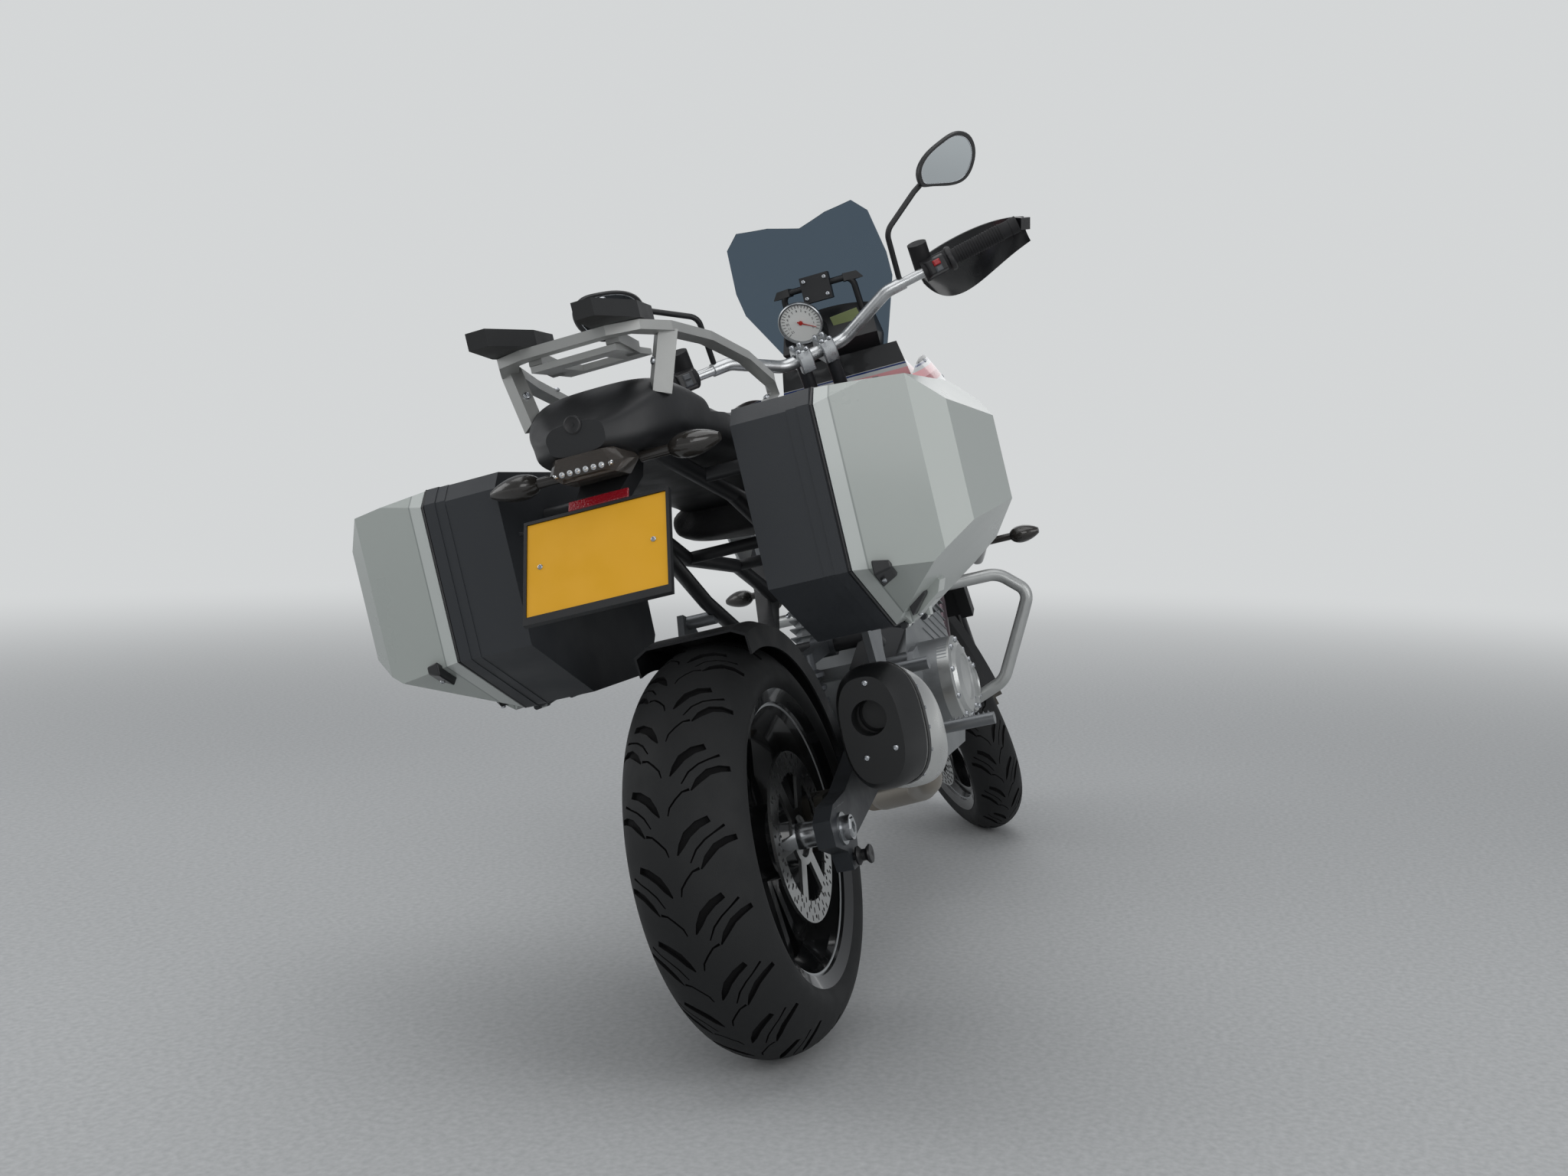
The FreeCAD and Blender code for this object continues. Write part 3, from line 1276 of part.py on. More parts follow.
# Mirrors: a cranked stalk and a dished head with its glass
sizes({
    "stalk_radius": 6,
    "stalk_y": 222,
    "stalk_u": -46,
    "stalk_elbow_s": MIRROR_HIGH - 86,
    "mirror_y": BAR_HALF - 78,
    "mirror_s": MIRROR_HIGH,
    "mirror_u": -60,
    "mirror_half_wide": 70,
    "mirror_half_high": 49,
    "mirror_deep": 36,
    "mirror_glass": 2.5,
})
# Outline of the mirror head as shares of its half width and half height, looking forward
HEAD_SHARES = ((-0.98, -0.38), (-0.9, 0.2), (-0.45, 0.7), (0.1, 0.94), (0.6, 1.0), (0.92, 0.7), (1.0, 0.1),
               (0.8, -0.55), (0.4, -1.0), (-0.2, -0.92), (-0.7, -0.66))


def mirror_ring(u, scale):
    return smooth_ring([vec(u, S.mirror_y + S.mirror_half_wide * across * scale,
                            S.mirror_s + S.mirror_half_high * up * scale) for across, up in HEAD_SHARES])


mirror_back = S.mirror_u + S.mirror_deep
head = Part.makeLoft([mirror_ring(S.mirror_u, 1.0), mirror_ring(S.mirror_u + S.mirror_deep * 0.3, 1.03),
                      mirror_ring(S.mirror_u + S.mirror_deep * 0.75, 0.75), mirror_ring(mirror_back, 0.36)], True, False)
glass_face = Part.Face(mirror_ring(S.mirror_u, 0.9))
glass_seat = glass_face.extrude(vec(S.mirror_glass * 2, 0, 0))
neck = vec(S.mirror_u + S.mirror_deep * 0.6, S.mirror_y - S.mirror_half_wide * 0.86, S.mirror_s - S.mirror_half_high * 0.3)
stalk = tube([
    bar_point(S.stalk_y) + vec(0, 0, S.bar_radius + S.seat_gap),
    vec(S.stalk_u, S.stalk_y, S.stalk_elbow_s),
    neck - vec(0, S.mirror_half_wide * 0.3, S.mirror_half_high * 0.4),
    neck + vec(0, S.mirror_half_wide * 0.3, 0),
], S.stalk_radius, S.stalk_radius * 5)
formed("mirrors", both(fused([head.cut(glass_seat), stalk.cut(bar_core)])), "fork")
formed("mirror_glass", both(Part.Face(mirror_ring(S.mirror_u + S.mirror_glass * 2 - S.seat_gap, 0.89)).extrude(
    vec(-S.mirror_glass, 0, 0))), "fork")


# The stance: leaned onto the side stand and pitched so that both tyres rest on the ground
def tyre_reach(radius, crown, axle_rise):
    """How far a tyre reaches below its middle when the axle's left end rises by a share of its length."""
    found = []
    for steps in (-3, -2, -1, 0, 1, 2, 3):
        out, across = crown_corner(radius, crown, steps)
        found.append(out.value * math.sqrt(1 - axle_rise ** 2) - across.value * axle_rise)
    return max(found)


STEER = Placement(Vector(0, 0, 0), Rotation(AXIS_DIR, S.steering_lock.value), on_fork(AXIS_U, 0, 0))
pitch = 0.0
for _ in range(8):
    turn = Rotation(Vector(0, 1, 0), pitch).multiply(Rotation(Vector(1, 0, 0), -S.lean.value))
    rear_rise = turn.multVec(Vector(0, 1, 0)).z
    front_rise = turn.multVec(STEER.Rotation.multVec(Vector(0, 1, 0))).z
    rear_low = turn.multVec(vec(0, 0, AXLE_Z)).z - tyre_reach(S.rear_tyre_radius, S.rear_crown_radius, rear_rise)
    front_middle = turn.multVec(STEER.multVec(vec(S.wheelbase, 0, S.front_tyre_radius)))
    front_low = front_middle.z - tyre_reach(S.front_tyre_radius, S.front_crown_radius, front_rise)
    pitch += math.degrees(math.atan2(front_low - rear_low, front_middle.x))
STANCE = Placement(Vector(0, 0, -rear_low), turn)

# Side stand: a boss on a leaning pivot, a tapered leg and a foot that lies flat on the ground
sizes({
    "stand_x": 612,
    "stand_y": 134,
    "stand_z": 236,
    "stand_foot_x": 700,
    "stand_foot_y": 306,
    "stand_radius": 13,
    "stand_boss_radius": 19,
    "stand_boss_thick": 28,
    "stand_bolt_radius": 6,
    "stand_foot_long": 72,
    "stand_foot_wide": 44,
    "stand_foot_thick": 7,
    "stand_side_gap": 0.6,
})
stand_top = vec(S.stand_x, S.stand_y, S.stand_z)
foot_world = STANCE.multVec(vec(S.stand_foot_x, S.stand_foot_y, S.stand_z * 0.3))
foot_world.z = S.stand_foot_thick.value
foot_point = STANCE.inverse().multVec(foot_world)
leg_run = foot_point - stand_top
STAND_AXIS = leg_run.cross(Vector(-1, 0, 0)).normalize()
foot_box = Part.makeBox(float(S.stand_foot_long), float(S.stand_foot_wide), float(S.stand_foot_thick),
                        vec(foot_world.x - S.stand_foot_long * 0.5, foot_world.y - S.stand_foot_wide * 0.4, 0))
foot_box.Placement = STANCE.inverse()
boss = Part.makeCylinder(float(S.stand_boss_radius), float(S.stand_boss_thick),
                         stand_top - STAND_AXIS * (float(S.stand_boss_thick) / 2), STAND_AXIS)
bolt_hole = Part.makeCylinder(float(S.stand_bolt_radius + S.bearing_gap), 4 * float(S.stand_boss_thick),
                              stand_top - STAND_AXIS * (2 * float(S.stand_boss_thick)), STAND_AXIS)
stand_leg = Part.makeCone(float(S.stand_radius), float(S.stand_radius) * 0.7, leg_run.Length,
                          stand_top, leg_run)
formed("side_stand", fused([boss, stand_leg, foot_box]).cut(bolt_hole))

# The frame carries the stand on a bolt in a bracket below its left plate
cheek_thick = S.lug_thick * 0.8
bolt_foot = stand_top - STAND_AXIS * float(S.stand_boss_thick * 0.5 + S.stand_side_gap + cheek_thick)
bolt_long = S.stand_boss_thick + 2 * S.stand_side_gap + cheek_thick
stand_bolt = fused([
    Part.makeCylinder(float(S.stand_boss_radius) * 0.9, float(cheek_thick), bolt_foot, STAND_AXIS),
    Part.makeCylinder(float(S.stand_bolt_radius), float(bolt_long + cheek_thick * 0.5), bolt_foot, STAND_AXIS),
    Part.makeCylinder(float(S.stand_bolt_radius) * 1.8, float(cheek_thick) * 0.7,
                      bolt_foot + STAND_AXIS * float(bolt_long), STAND_AXIS),
])
stand_arm = beam([vec(S.pivot_x + S.beam_thick * 0.3, S.frame_plate_y, S.frame_foot_z + S.beam_thick * 0.4),
                  bolt_foot - vec(0, S.lug_thick * 0.2, 0)], [S.lug_thick * 1.2] * 2, [S.beam_thick * 1.1] * 2)
stand_room = Part.makeCylinder(float(S.stand_boss_radius) * 3, float(S.stand_boss_thick + 2 * S.stand_side_gap),
                               stand_top - STAND_AXIS * float(S.stand_boss_thick * 0.5 + S.stand_side_gap), STAND_AXIS)
formed("main_frame", [frame_shape, stand_bolt, stand_arm.cut(stand_room)])

# Fuel tank: a solid shell body that widens ahead of the knees, with a filler ring and its hinged cap
sizes({
    "tank_rear": 650,
    "tank_front": WHEELBASE - 450,
    "tank_half": 170,
    "tank_low": 776,
    "tank_high": 1026,
    "filler_x": 940,
    "filler_radius": 46,
    "cap_radius": 40,
    "cap_thick": 9,
    "cap_pin_radius": 3,
    "cap_lug_wide": 22,
    "cap_rise": 5,
})
# Stations of the tank: share of the length from the seat, of the half width, of the height below and above
TANK_SHARES = (
    (0.00, 0.50, 0.16, 0.36),
    (0.14, 0.66, 0.02, 0.55),
    (0.40, 0.94, 0.00, 0.86),
    (0.66, 1.00, 0.31, 0.99),
    (0.88, 0.94, 0.50, 1.00),
    (1.00, 0.72, 0.64, 0.92),
)


tank_stations = stations(S.tank_rear, S.tank_front, 0, S.tank_half, S.tank_low, S.tank_high, TANK_SHARES)
tank = hull_through(tank_stations, 2.8)
tank_room = hull_through(grown(tank_stations, S.seat_gap), 2.8)
cap_x = S.filler_x + S.filler_radius + S.cap_pin_radius
cap_z = S.tank_high + S.cap_rise + S.seat_gap + S.cap_thick * 0.5
filler = Part.makeCylinder(float(S.filler_radius), float(S.filler_radius + S.cap_rise),
                           vec(S.filler_x, 0, S.tank_high - S.filler_radius))
ears = [block(cap_x - S.cap_pin_radius * 2.5, cap_x + S.cap_pin_radius * 2.5, S.cap_lug_wide * 0.5 + S.seat_gap,
              S.cap_lug_wide * 0.5 + S.cap_rise, S.tank_high - S.filler_radius, cap_z + S.cap_pin_radius * 2)]
pin = drum(cap_x, -S.cap_lug_wide * 0.5 - S.cap_rise, cap_z, S.cap_pin_radius, S.cap_lug_wide + 2 * S.cap_rise)
# The tank stands on a rubber foot above each frame beam
tank_foot = block(S.tank_rear + S.tank_half, S.tank_rear + S.tank_half * 1.2, S.frame_half - S.beam_thick * 0.5,
                  S.frame_half - S.beam_thick * 0.1, S.tank_low - S.beam_deep * 0.5, S.tank_low + S.beam_deep)
formed("fuel_tank", [tank, filler, pin] + both(ears[0]) + both(tank_foot.cut(spar_room)))
cap_disc = Part.makeCylinder(float(S.cap_radius), float(S.cap_thick),
                             vec(S.filler_x, 0, S.tank_high + S.cap_rise + S.seat_gap))
cap_lug = block(S.filler_x + S.cap_radius * 0.8, cap_x, -S.cap_lug_wide * 0.5, S.cap_lug_wide * 0.5,
                cap_z - S.cap_thick * 0.5, cap_z + S.cap_thick * 0.5)
cap_eye = drum(cap_x, -S.cap_lug_wide * 0.5, cap_z, S.cap_thick * 0.5, S.cap_lug_wide)
cap_hole = drum(cap_x, -S.cap_lug_wide, cap_z, S.cap_pin_radius + S.bearing_gap, 2 * S.cap_lug_wide)
formed("fuel_cap", fused([cap_disc, cap_lug, cap_eye]).cut(cap_hole))

# Subframe: bent tubes from the main frame to the tail, with lugs for the cases and the silencer
sizes({
    "rail_radius": 13,
    "rail_y": 104,
    "rail_front_x": 742,
    "rail_front_z": 672,
    "rail_knee_x": 560,
    "rail_knee_z": 745,
    "rail_rear_x": -190,
    "rail_rear_z": 930,
    "rail_rear_y": 62,
    "brace_front_x": 655,
    "brace_front_z": 545,
    "brace_knee_x": 352,
    "brace_knee_z": 694,
    "case_inner": 185,
    "case_lug_rear_x": -40,
    "case_lug_front_x": 200,
    "case_lug_radius": 11,
})
RAIL_MIDDLE_SHARE = 0.55
rail_middle_x = S.rail_knee_x * RAIL_MIDDLE_SHARE
rail_middle_z = S.rail_knee_z + (S.rail_rear_z - S.rail_knee_z) * 0.16
rail_line = [
    vec(S.rail_front_x, S.rail_y, S.rail_front_z),
    vec(S.rail_knee_x, S.rail_y, S.rail_knee_z),
    vec(rail_middle_x, S.rail_y, rail_middle_z),
    vec(S.rail_rear_x, S.rail_rear_y, S.rail_rear_z),
]
brace_line = [
    vec(S.brace_front_x, S.rail_y, S.brace_front_z),
    vec(S.brace_knee_x, S.rail_y, S.brace_knee_z),
    rail_line[2] + (rail_line[3] - rail_line[2]) * 0.5,
]


def rail_room(line, gap):
    """A subframe tube with a gap round it."""
    return tube(line, S.rail_radius + gap, S.rail_radius * 6)


def on_rail(x):
    """The point of the rail's rear run at a distance along the motorcycle."""
    share = (float(x) - rail_line[2].x) / (rail_line[3].x - rail_line[2].x)
    return rail_line[2] + (rail_line[3] - rail_line[2]) * share


cross_bars = [drum(point.x, -S.rail_y, point.z, S.rail_radius * 0.8, 2 * S.rail_y) for point in rail_line[1:3]]
case_lugs = []
for x in (S.case_lug_rear_x, S.case_lug_front_x):
    point = on_rail(x)
    case_lugs += both(drum(x, point.y, point.z, S.case_lug_radius, S.case_inner - S.seat_gap - point.y))
subframe = fused(both(rail_room(rail_line, 0)) + both(rail_room(brace_line, 0)) + cross_bars + case_lugs)
formed("subframe", subframe.cut(fused(both(spar_room))))

# Seats: the rider's saddle and the stepped pillion pad behind it
sizes({
    "seat_front": 652,
    "seat_rear": 318,
    "seat_half": 128,
    "seat_low": 792,
    "seat_high": 872,
    "pillion_rear": -96,
    "pillion_half": 118,
    "pillion_low": 900,
    "pillion_high": 992,
})
# Stations of each seat, from its front: share of length, of half width, of height below and above
RIDER_SHARES = ((0.0, 0.45, 0.10, 0.62), (0.18, 0.66, 0.0, 0.78), (0.45, 0.92, 0.0, 0.74), (0.75, 1.0, 0.02, 0.80),
                (1.0, 0.95, 0.12, 0.98))
PILLION_SHARES = ((0.0, 0.70, 0.0, 0.40), (0.06, 0.86, -0.12, 0.72), (0.3, 1.0, 0.0, 0.92), (0.7, 0.96, 0.14, 1.0),
                  (0.95, 0.84, 0.36, 0.96), (1.0, 0.72, 0.46, 0.84))
rider_stations = stations(S.seat_front - S.seat_gap - S.cap_rise, S.seat_rear + S.seat_gap, 0, S.seat_half,
                          S.seat_low, S.seat_high, RIDER_SHARES)
formed("rider_seat", hull_through(rider_stations, 3.0).cut(tank_room))
pad_stations = stations(S.seat_rear - S.seat_gap, S.pillion_rear, 0, S.pillion_half, S.pillion_low,
                        S.pillion_high, PILLION_SHARES)
formed("pillion_seat", hull_through(pad_stations, 3.4))

# Tail cowl: a tapering tail under the pillion pad, hollowed for the pad and the subframe
sizes({
    "cowl_front": 360,
    "cowl_rear": -300,
    "cowl_half": 128,
    "cowl_low": 838,
    "cowl_high": 1036,
    "cowl_open": 22,
})
COWL_SHARES = ((0.0, 0.86, 0.0, 0.30), (0.25, 0.98, 0.16, 0.56), (0.55, 1.0, 0.30, 0.78), (0.74, 0.92, 0.38, 0.97),
               (0.86, 0.82, 0.42, 0.96), (0.95, 0.58, 0.46, 0.80), (1.0, 0.34, 0.50, 0.72))
cowl_stations = stations(S.cowl_front, S.cowl_rear, 0, S.cowl_half, S.cowl_low, S.cowl_high, COWL_SHARES)
above_pad = block(S.pillion_rear + S.pillion_half * 0.2, S.cowl_front + S.cut_overrun, -S.cowl_half * 2,
                  S.cowl_half * 2, S.pillion_high - S.cowl_open, S.cowl_high * 2)
cowl_cuts = [hull_through(grown(pad_stations, S.seat_gap), 3.4), above_pad]
cowl_cuts.append(hull_through(grown(rider_stations, S.seat_gap), 3.0))
cowl_cuts += both(rail_room(rail_line, S.seat_gap)) + both(rail_room(brace_line, S.seat_gap))
formed("tail_cowl", hull_through(cowl_stations, 3.2).cut(fused(cowl_cuts)))
cowl_room = hull_through(grown(cowl_stations, S.seat_gap), 3.2)

# Luggage rack: a cast loop across the tail that runs forward into a grab rail each side
sizes({
    "rack_rear": -262,
    "rack_front": 206,
    "rack_half": 150,
    "rack_top": 1096,
    "rack_rail": 20,
    "rack_foot_z": 1004,
    "rack_plate_thick": 9,
    "ear_tip_x": -366,
    "ear_half": 78,
    "ear_wide": 46,
    "ear_thick": 24,
})
# Places along one grab rail: share of the length from the rear, share of the half width, height share
GRAB_SHARES = ((0.02, 0.42, 0.98), (0.05, 0.66, 0.97), (0.16, 0.82, 0.92), (0.40, 0.95, 0.78), (0.70, 1.0, 0.52),
               (0.93, 1.0, 0.18), (0.99, 0.96, -0.06), (0.90, 0.90, -0.30))


def rack_point(along, wide, rise):
    return vec(S.rack_rear + (S.rack_front - S.rack_rear) * along, S.rack_half * wide,
               S.rack_foot_z + (S.rack_top - S.rack_foot_z) * rise)


grab_points = [rack_point(*shares) for shares in GRAB_SHARES]
grab = beam([vec(grab_points[0].x, 0, grab_points[0].z)] + grab_points, [S.rack_rail * share for share in (
    1.6, 1.6, 1.5, 1.3, 1.1, 1.0, 1.0, 0.9, 0.8)], [S.rack_rail * 0.7] * 9)
post = beam([rack_point(0.13, 0.66, -0.05), rack_point(0.17, 0.82, 0.9)], [S.rack_rail] * 2, [S.rack_rail * 1.4] * 2)
foot = beam([rack_point(0.90, 0.90, -0.26), rack_point(0.62, 0.78, -0.72)], [S.rack_rail * 0.8] * 2,
            [S.rack_rail * 0.7] * 2)
tray = block(S.rack_rear + S.rack_rail, S.rack_rear + (S.rack_front - S.rack_rear) * 0.34, -S.rack_half * 0.44,
             S.rack_half * 0.44, S.rack_top - S.rack_rail * 0.9 - S.rack_plate_thick, S.rack_top - S.rack_rail * 0.9)
tray_hole = block(S.rack_rear + S.rack_rail * 3, S.rack_rear + (S.rack_front - S.rack_rear) * 0.28, -S.rack_half * 0.22,
                  S.rack_half * 0.22, S.rack_foot_z, S.rack_top)
tray_arm = beam([rack_point(0.06, 0.40, 0.92), rack_point(0.22, 0.40, 0.78)], [S.rack_rail] * 2, [S.rack_rail * 0.9] * 2)
rack_shape = fused(both(grab) + both(post) + both(foot) + both(tray_arm) + [tray.cut(tray_hole)])
rack_shape = rack_shape.cut(fused([cowl_room] + both(rail_room(rail_line, S.seat_gap))))
formed("luggage_rack", rack_shape)
pad_low = grab_points[0].z + S.rack_rail * 0.35 + S.seat_gap
ear = corner_loft([
    [vec(S.rack_rear + S.ear_wide * 1.9, S.ear_half - S.ear_wide * 0.62, z), vec(S.rack_rear + S.ear_wide * 1.9,
     S.ear_half + S.ear_wide * 0.62, z), vec(S.rack_rear + S.ear_wide * 0.2, S.ear_half + S.ear_wide * 0.8, z),
     vec(S.ear_tip_x, S.ear_half + S.ear_wide * 0.34, z), vec(S.ear_tip_x, S.ear_half - S.ear_wide * 0.30, z),
     vec(S.rack_rear + S.ear_wide * 0.2, S.ear_half - S.ear_wide * 0.75, z)]
    for z in (pad_low, pad_low + S.ear_thick)
])
formed("rack_pads", both(ear))

# Rear lamp, plate holder, blank plate and turn signals
sizes({
    "lamp_half": 60,
    "lamp_low": 899,
    "lamp_high": 937,
    "lamp_front_x": -236,
    "lamp_rear_x": -304,
    "plate_x": -322,
    "plate_z": 797,
    "plate_wide": 210,
    "plate_tall": 143,
    "plate_sheet": 2,
    "plate_frame": 5,
    "plate_border": 5,
    "plate_tilt": 29.7,
    "signal_x": -224,
    "signal_out": 177,
    "signal_z": 919,
    "signal_radius": 17,
    "front_signal_x": 1200,
    "front_signal_in": 238,
    "front_signal_out": 359,
    "front_signal_z": 675,
})
lamp_middle = (S.lamp_low + S.lamp_high) / 2
lamp = corner_loft([
    [vec(x, -S.lamp_half * wide, lamp_middle), vec(x, -S.lamp_half * wide * 0.7, S.lamp_low + rise),
     vec(x, S.lamp_half * wide * 0.7, S.lamp_low + rise), vec(x, S.lamp_half * wide, lamp_middle),
     vec(x, S.lamp_half * wide * 0.8, S.lamp_high), vec(x, -S.lamp_half * wide * 0.8, S.lamp_high)]
    for x, wide, rise in ((S.lamp_front_x, 1.0, 0), (S.lamp_rear_x + S.lamp_half * 0.3, 0.95, S.plate_border),
                          (S.lamp_rear_x, 0.72, S.plate_border * 2))
])
formed("tail_lamp", lamp.cut(cowl_room))


def on_plate(across, up, out):
    """A point on the number plate: across to the left, up along it, and out behind the motorcycle."""
    tilt = Rotation(Vector(0, 1, 0), S.plate_tilt.value)
    return vec(S.plate_x, 0, S.plate_z) + tilt.multVec(vec(-out, across, up))


def plate_block(half_wide, low, high, inner, outer):
    corners = [(-half_wide, low), (half_wide, low), (half_wide, high), (-half_wide, high)]
    return corner_loft([[on_plate(y, up, out) for y, up in corners] for out in (inner, outer)])


half_plate = S.plate_wide * 0.5
plate_up = S.plate_tall * 0.5
formed("number_plate", plate_block(half_plate, -plate_up, plate_up, 0, S.plate_sheet))
tray_block = plate_block(half_plate + S.plate_border, -plate_up - S.plate_border * 2.4, plate_up + S.plate_border,
                         -S.plate_frame, S.plate_sheet * 2)
tray_room = plate_block(half_plate + S.seat_gap, -plate_up - S.seat_gap, plate_up + S.seat_gap, -S.seat_gap,
                        S.plate_sheet * 3)
holder_arm = beam([on_plate(0, plate_up * 0.3, -S.plate_frame * 2), on_plate(0, plate_up * 1.35, -S.plate_frame * 4),
                   vec(S.signal_x + S.lamp_half * 0.4, 0, S.lamp_low + S.plate_frame),
                   vec(S.signal_x + S.lamp_half * 0.8, 0, S.lamp_high)],
                  [S.plate_wide * 0.36, S.plate_wide * 0.32, S.plate_wide * 0.4, S.plate_wide * 0.4],
                  [S.plate_frame * 3, S.plate_frame * 5, S.plate_frame * 5, S.plate_frame * 5])
lamp_room = corner_loft([
    [vec(x, y, z) for y, z in ((-S.lamp_half - S.seat_gap, S.lamp_low - S.seat_gap),
                               (S.lamp_half + S.seat_gap, S.lamp_low - S.seat_gap),
                               (S.lamp_half + S.seat_gap, S.lamp_high), (-S.lamp_half - S.seat_gap, S.lamp_high))]
    for x in (S.lamp_front_x + S.seat_gap, S.lamp_rear_x * 2)
])
holder = fused([tray_block, holder_arm]).cut(fused([tray_room, cowl_room, lamp_room]))
formed("plate_holder", holder)


def signal(x, y0, y1, z, lens):
    """A turn signal: a thin stalk and a long rounded lens."""
    stalk = Part.makeCylinder(float(S.signal_radius) * 0.45, float(y1 - y0) * lens + float(S.cut_overrun),
                              vec(x, y0, z), Vector(0, 1, 0))
    start = y0 + (y1 - y0) * lens
    wires = []
    for share, scale in ((0.0, 0.5), (0.2, 1.0), (0.7, 0.9), (1.0, 0.35)):
        y = float(start + (y1 - start) * share)
        radius = float(S.signal_radius) * scale
        ring_points = [vec(x + radius * 1.3 * math.cos(a), y, z + radius * math.sin(a))
                       for a in [2 * math.pi * i / 10 for i in range(10)]]
        wires.append(smooth_ring(ring_points))
    return stalk.fuse(Part.makeLoft(wires, True, False))


rear_signal = signal(S.signal_x, S.cowl_half * 0.45, S.signal_out, S.signal_z, 0.38).cut(cowl_room)
rear_signal = rear_signal.cut(fused([lamp_room, holder_arm]))

# Side cases: a hollow inner half on the carrier and a hollow lid that hinges at its lower edge
sizes({
    "case_rear": -195,
    "case_front": 300,
    "case_low": 603,
    "case_high": 955,
    "case_split": 308,
    "case_knee_z": 697,
    "case_knee_x": -17,
    "case_wall": 5,
    "case_seam": 1,
    "case_corner": 24,
    "lid_outer": 500,
    "lid_rear_outer": 476,
    "lid_crease_z": 745,
    "lid_widest_x": 85,
    "lid_front_outer": 424,
    "hinge_radius": 5,
    "foot_wide": 44,
    "foot_deep": 15,
})
seam_points = [
    (S.case_rear, S.case_knee_z),
    (S.case_rear, S.case_high - S.case_corner),
    (S.case_rear + S.case_corner, S.case_high),
    (S.case_front - S.case_corner * 2.2, S.case_high - S.case_corner * 0.3),
    (S.case_front, S.case_high - S.case_corner * 2.6),
    (S.case_front - S.case_corner * 0.5, S.case_low + S.case_corner * 2.4),
    (S.case_front - S.case_corner * 3, S.case_low),
    (S.case_knee_x, S.case_low),
]


def seam_prism(inset, y0, y1):
    """The outline of a case seen from the side, drawn in by an inset, between two planes."""
    wire = Part.makePolygon([vec(x, y0, z) for x, z in seam_points + [seam_points[0]]])
    if float(inset):
        wire = wire.makeOffset2D(-float(inset), 2)
    return Part.Face(wire).extrude(vec(0, y1 - y0, 0))


def trimmed(shape, point, normal):
    """Cuts off what lies beyond a plane."""
    size = 4 * float(S.lid_outer)
    cutter = Part.makeBox(size, size, size, Vector(-size / 2, -size / 2, 0))
    cutter.Placement = Placement(point, Rotation(Vector(0, 0, 1), normal))
    return shape.cut(cutter)


def lid_body(inset, y0):
    """The faceted outside of a lid, or its hollow when drawn in by a wall."""
    made = seam_prism(inset, y0, S.lid_outer + S.case_corner)
    rear_mid_x = S.case_rear + S.case_corner * 1.2
    mid_y = S.case_split + (S.lid_rear_outer - S.case_split) * 0.76
    rear_edge_x = S.case_rear + S.case_corner * 2.9
    shoulder_z = S.case_high - S.case_corner * 0.5
    planes = [
        (rear_edge_x, S.lid_rear_outer, 0, S.lid_widest_x, S.lid_outer, 0, "up"),
        (S.lid_widest_x, S.lid_outer, 0, S.case_front, S.lid_front_outer, 0, "up"),
        (S.case_rear, S.case_split, 0, rear_mid_x, mid_y, 0, "up"),
        (rear_mid_x, mid_y, 0, rear_edge_x, S.lid_rear_outer, 0, "up"),
    ]
    for x0, ya, za, x1, yb, zb, kind in planes:
        run = vec(x1 - x0, yb - ya, 0)
        normal = Vector(0, 0, 1).cross(run).normalize()
        if normal.dot(Vector(0, 1, 0)) < 0:
            normal = normal * -1
        made = trimmed(made, vec(x0, ya, 0) - normal * float(inset), normal)
    slants = [
        (S.case_split, S.case_high, mid_y, shoulder_z, 1),
        (mid_y, shoulder_z, S.lid_rear_outer + S.case_corner * 0.4, S.case_high - S.case_corner * 2.8, 1),
        (S.case_split, S.case_low, S.lid_outer, S.lid_crease_z, -1),
    ]
    for ya, za, yb, zb, up in slants:
        run = vec(0, yb - ya, zb - za)
        normal = Vector(1, 0, 0).cross(run).normalize()
        if normal.z * up < 0:
            normal = normal * -1
        made = trimmed(made, vec(0, ya, za) - normal * float(inset), normal)
    nose = vec(S.case_front - S.case_corner * 6, S.lid_rear_outer, S.case_high - S.case_corner * 2)
    normal = Vector(0.62, 0.5, 0.6).normalize()
    return trimmed(made, nose - normal * float(inset), normal)


inner_half = seam_prism(0, S.case_inner, S.case_split - S.case_seam * 0.5)
inner_half = inner_half.cut(seam_prism(S.case_wall, S.case_inner + S.case_wall, S.case_split + S.cut_overrun))
lid = lid_body(0, S.case_split + S.case_seam * 0.5)
lid = lid.cut(lid_body(S.case_wall, S.case_split - S.cut_overrun))
hinge_y = S.case_split
hinge_z = S.case_low - S.hinge_radius * 1.2
hinge_drum_long = S.foot_wide
hinge_places = (S.case_knee_x + S.foot_wide, S.case_front - S.case_corner * 3 - S.foot_wide * 1.4)


def lid_foot(x, y, z, along_y, along_z):
    """A hinge cover on the lower edge of a lid."""
    run = vec(0, along_y, along_z).normalize()
    out = Vector(1, 0, 0).cross(run).normalize()
    if out.z > 0:
        out = out * -1
    base = vec(x, y, z)
    length = float(S.foot_wide * 1.7)
    depth = float(S.foot_deep)
    section = [base - out, base + run * length - out, base + run * length + out * (depth * 0.35),
               base + run * (length * 0.8) + out * depth, base + out * depth]
    face = Part.Face(Part.makePolygon(section + [section[0]]))
    return face.extrude(vec(S.foot_wide, 0, 0))


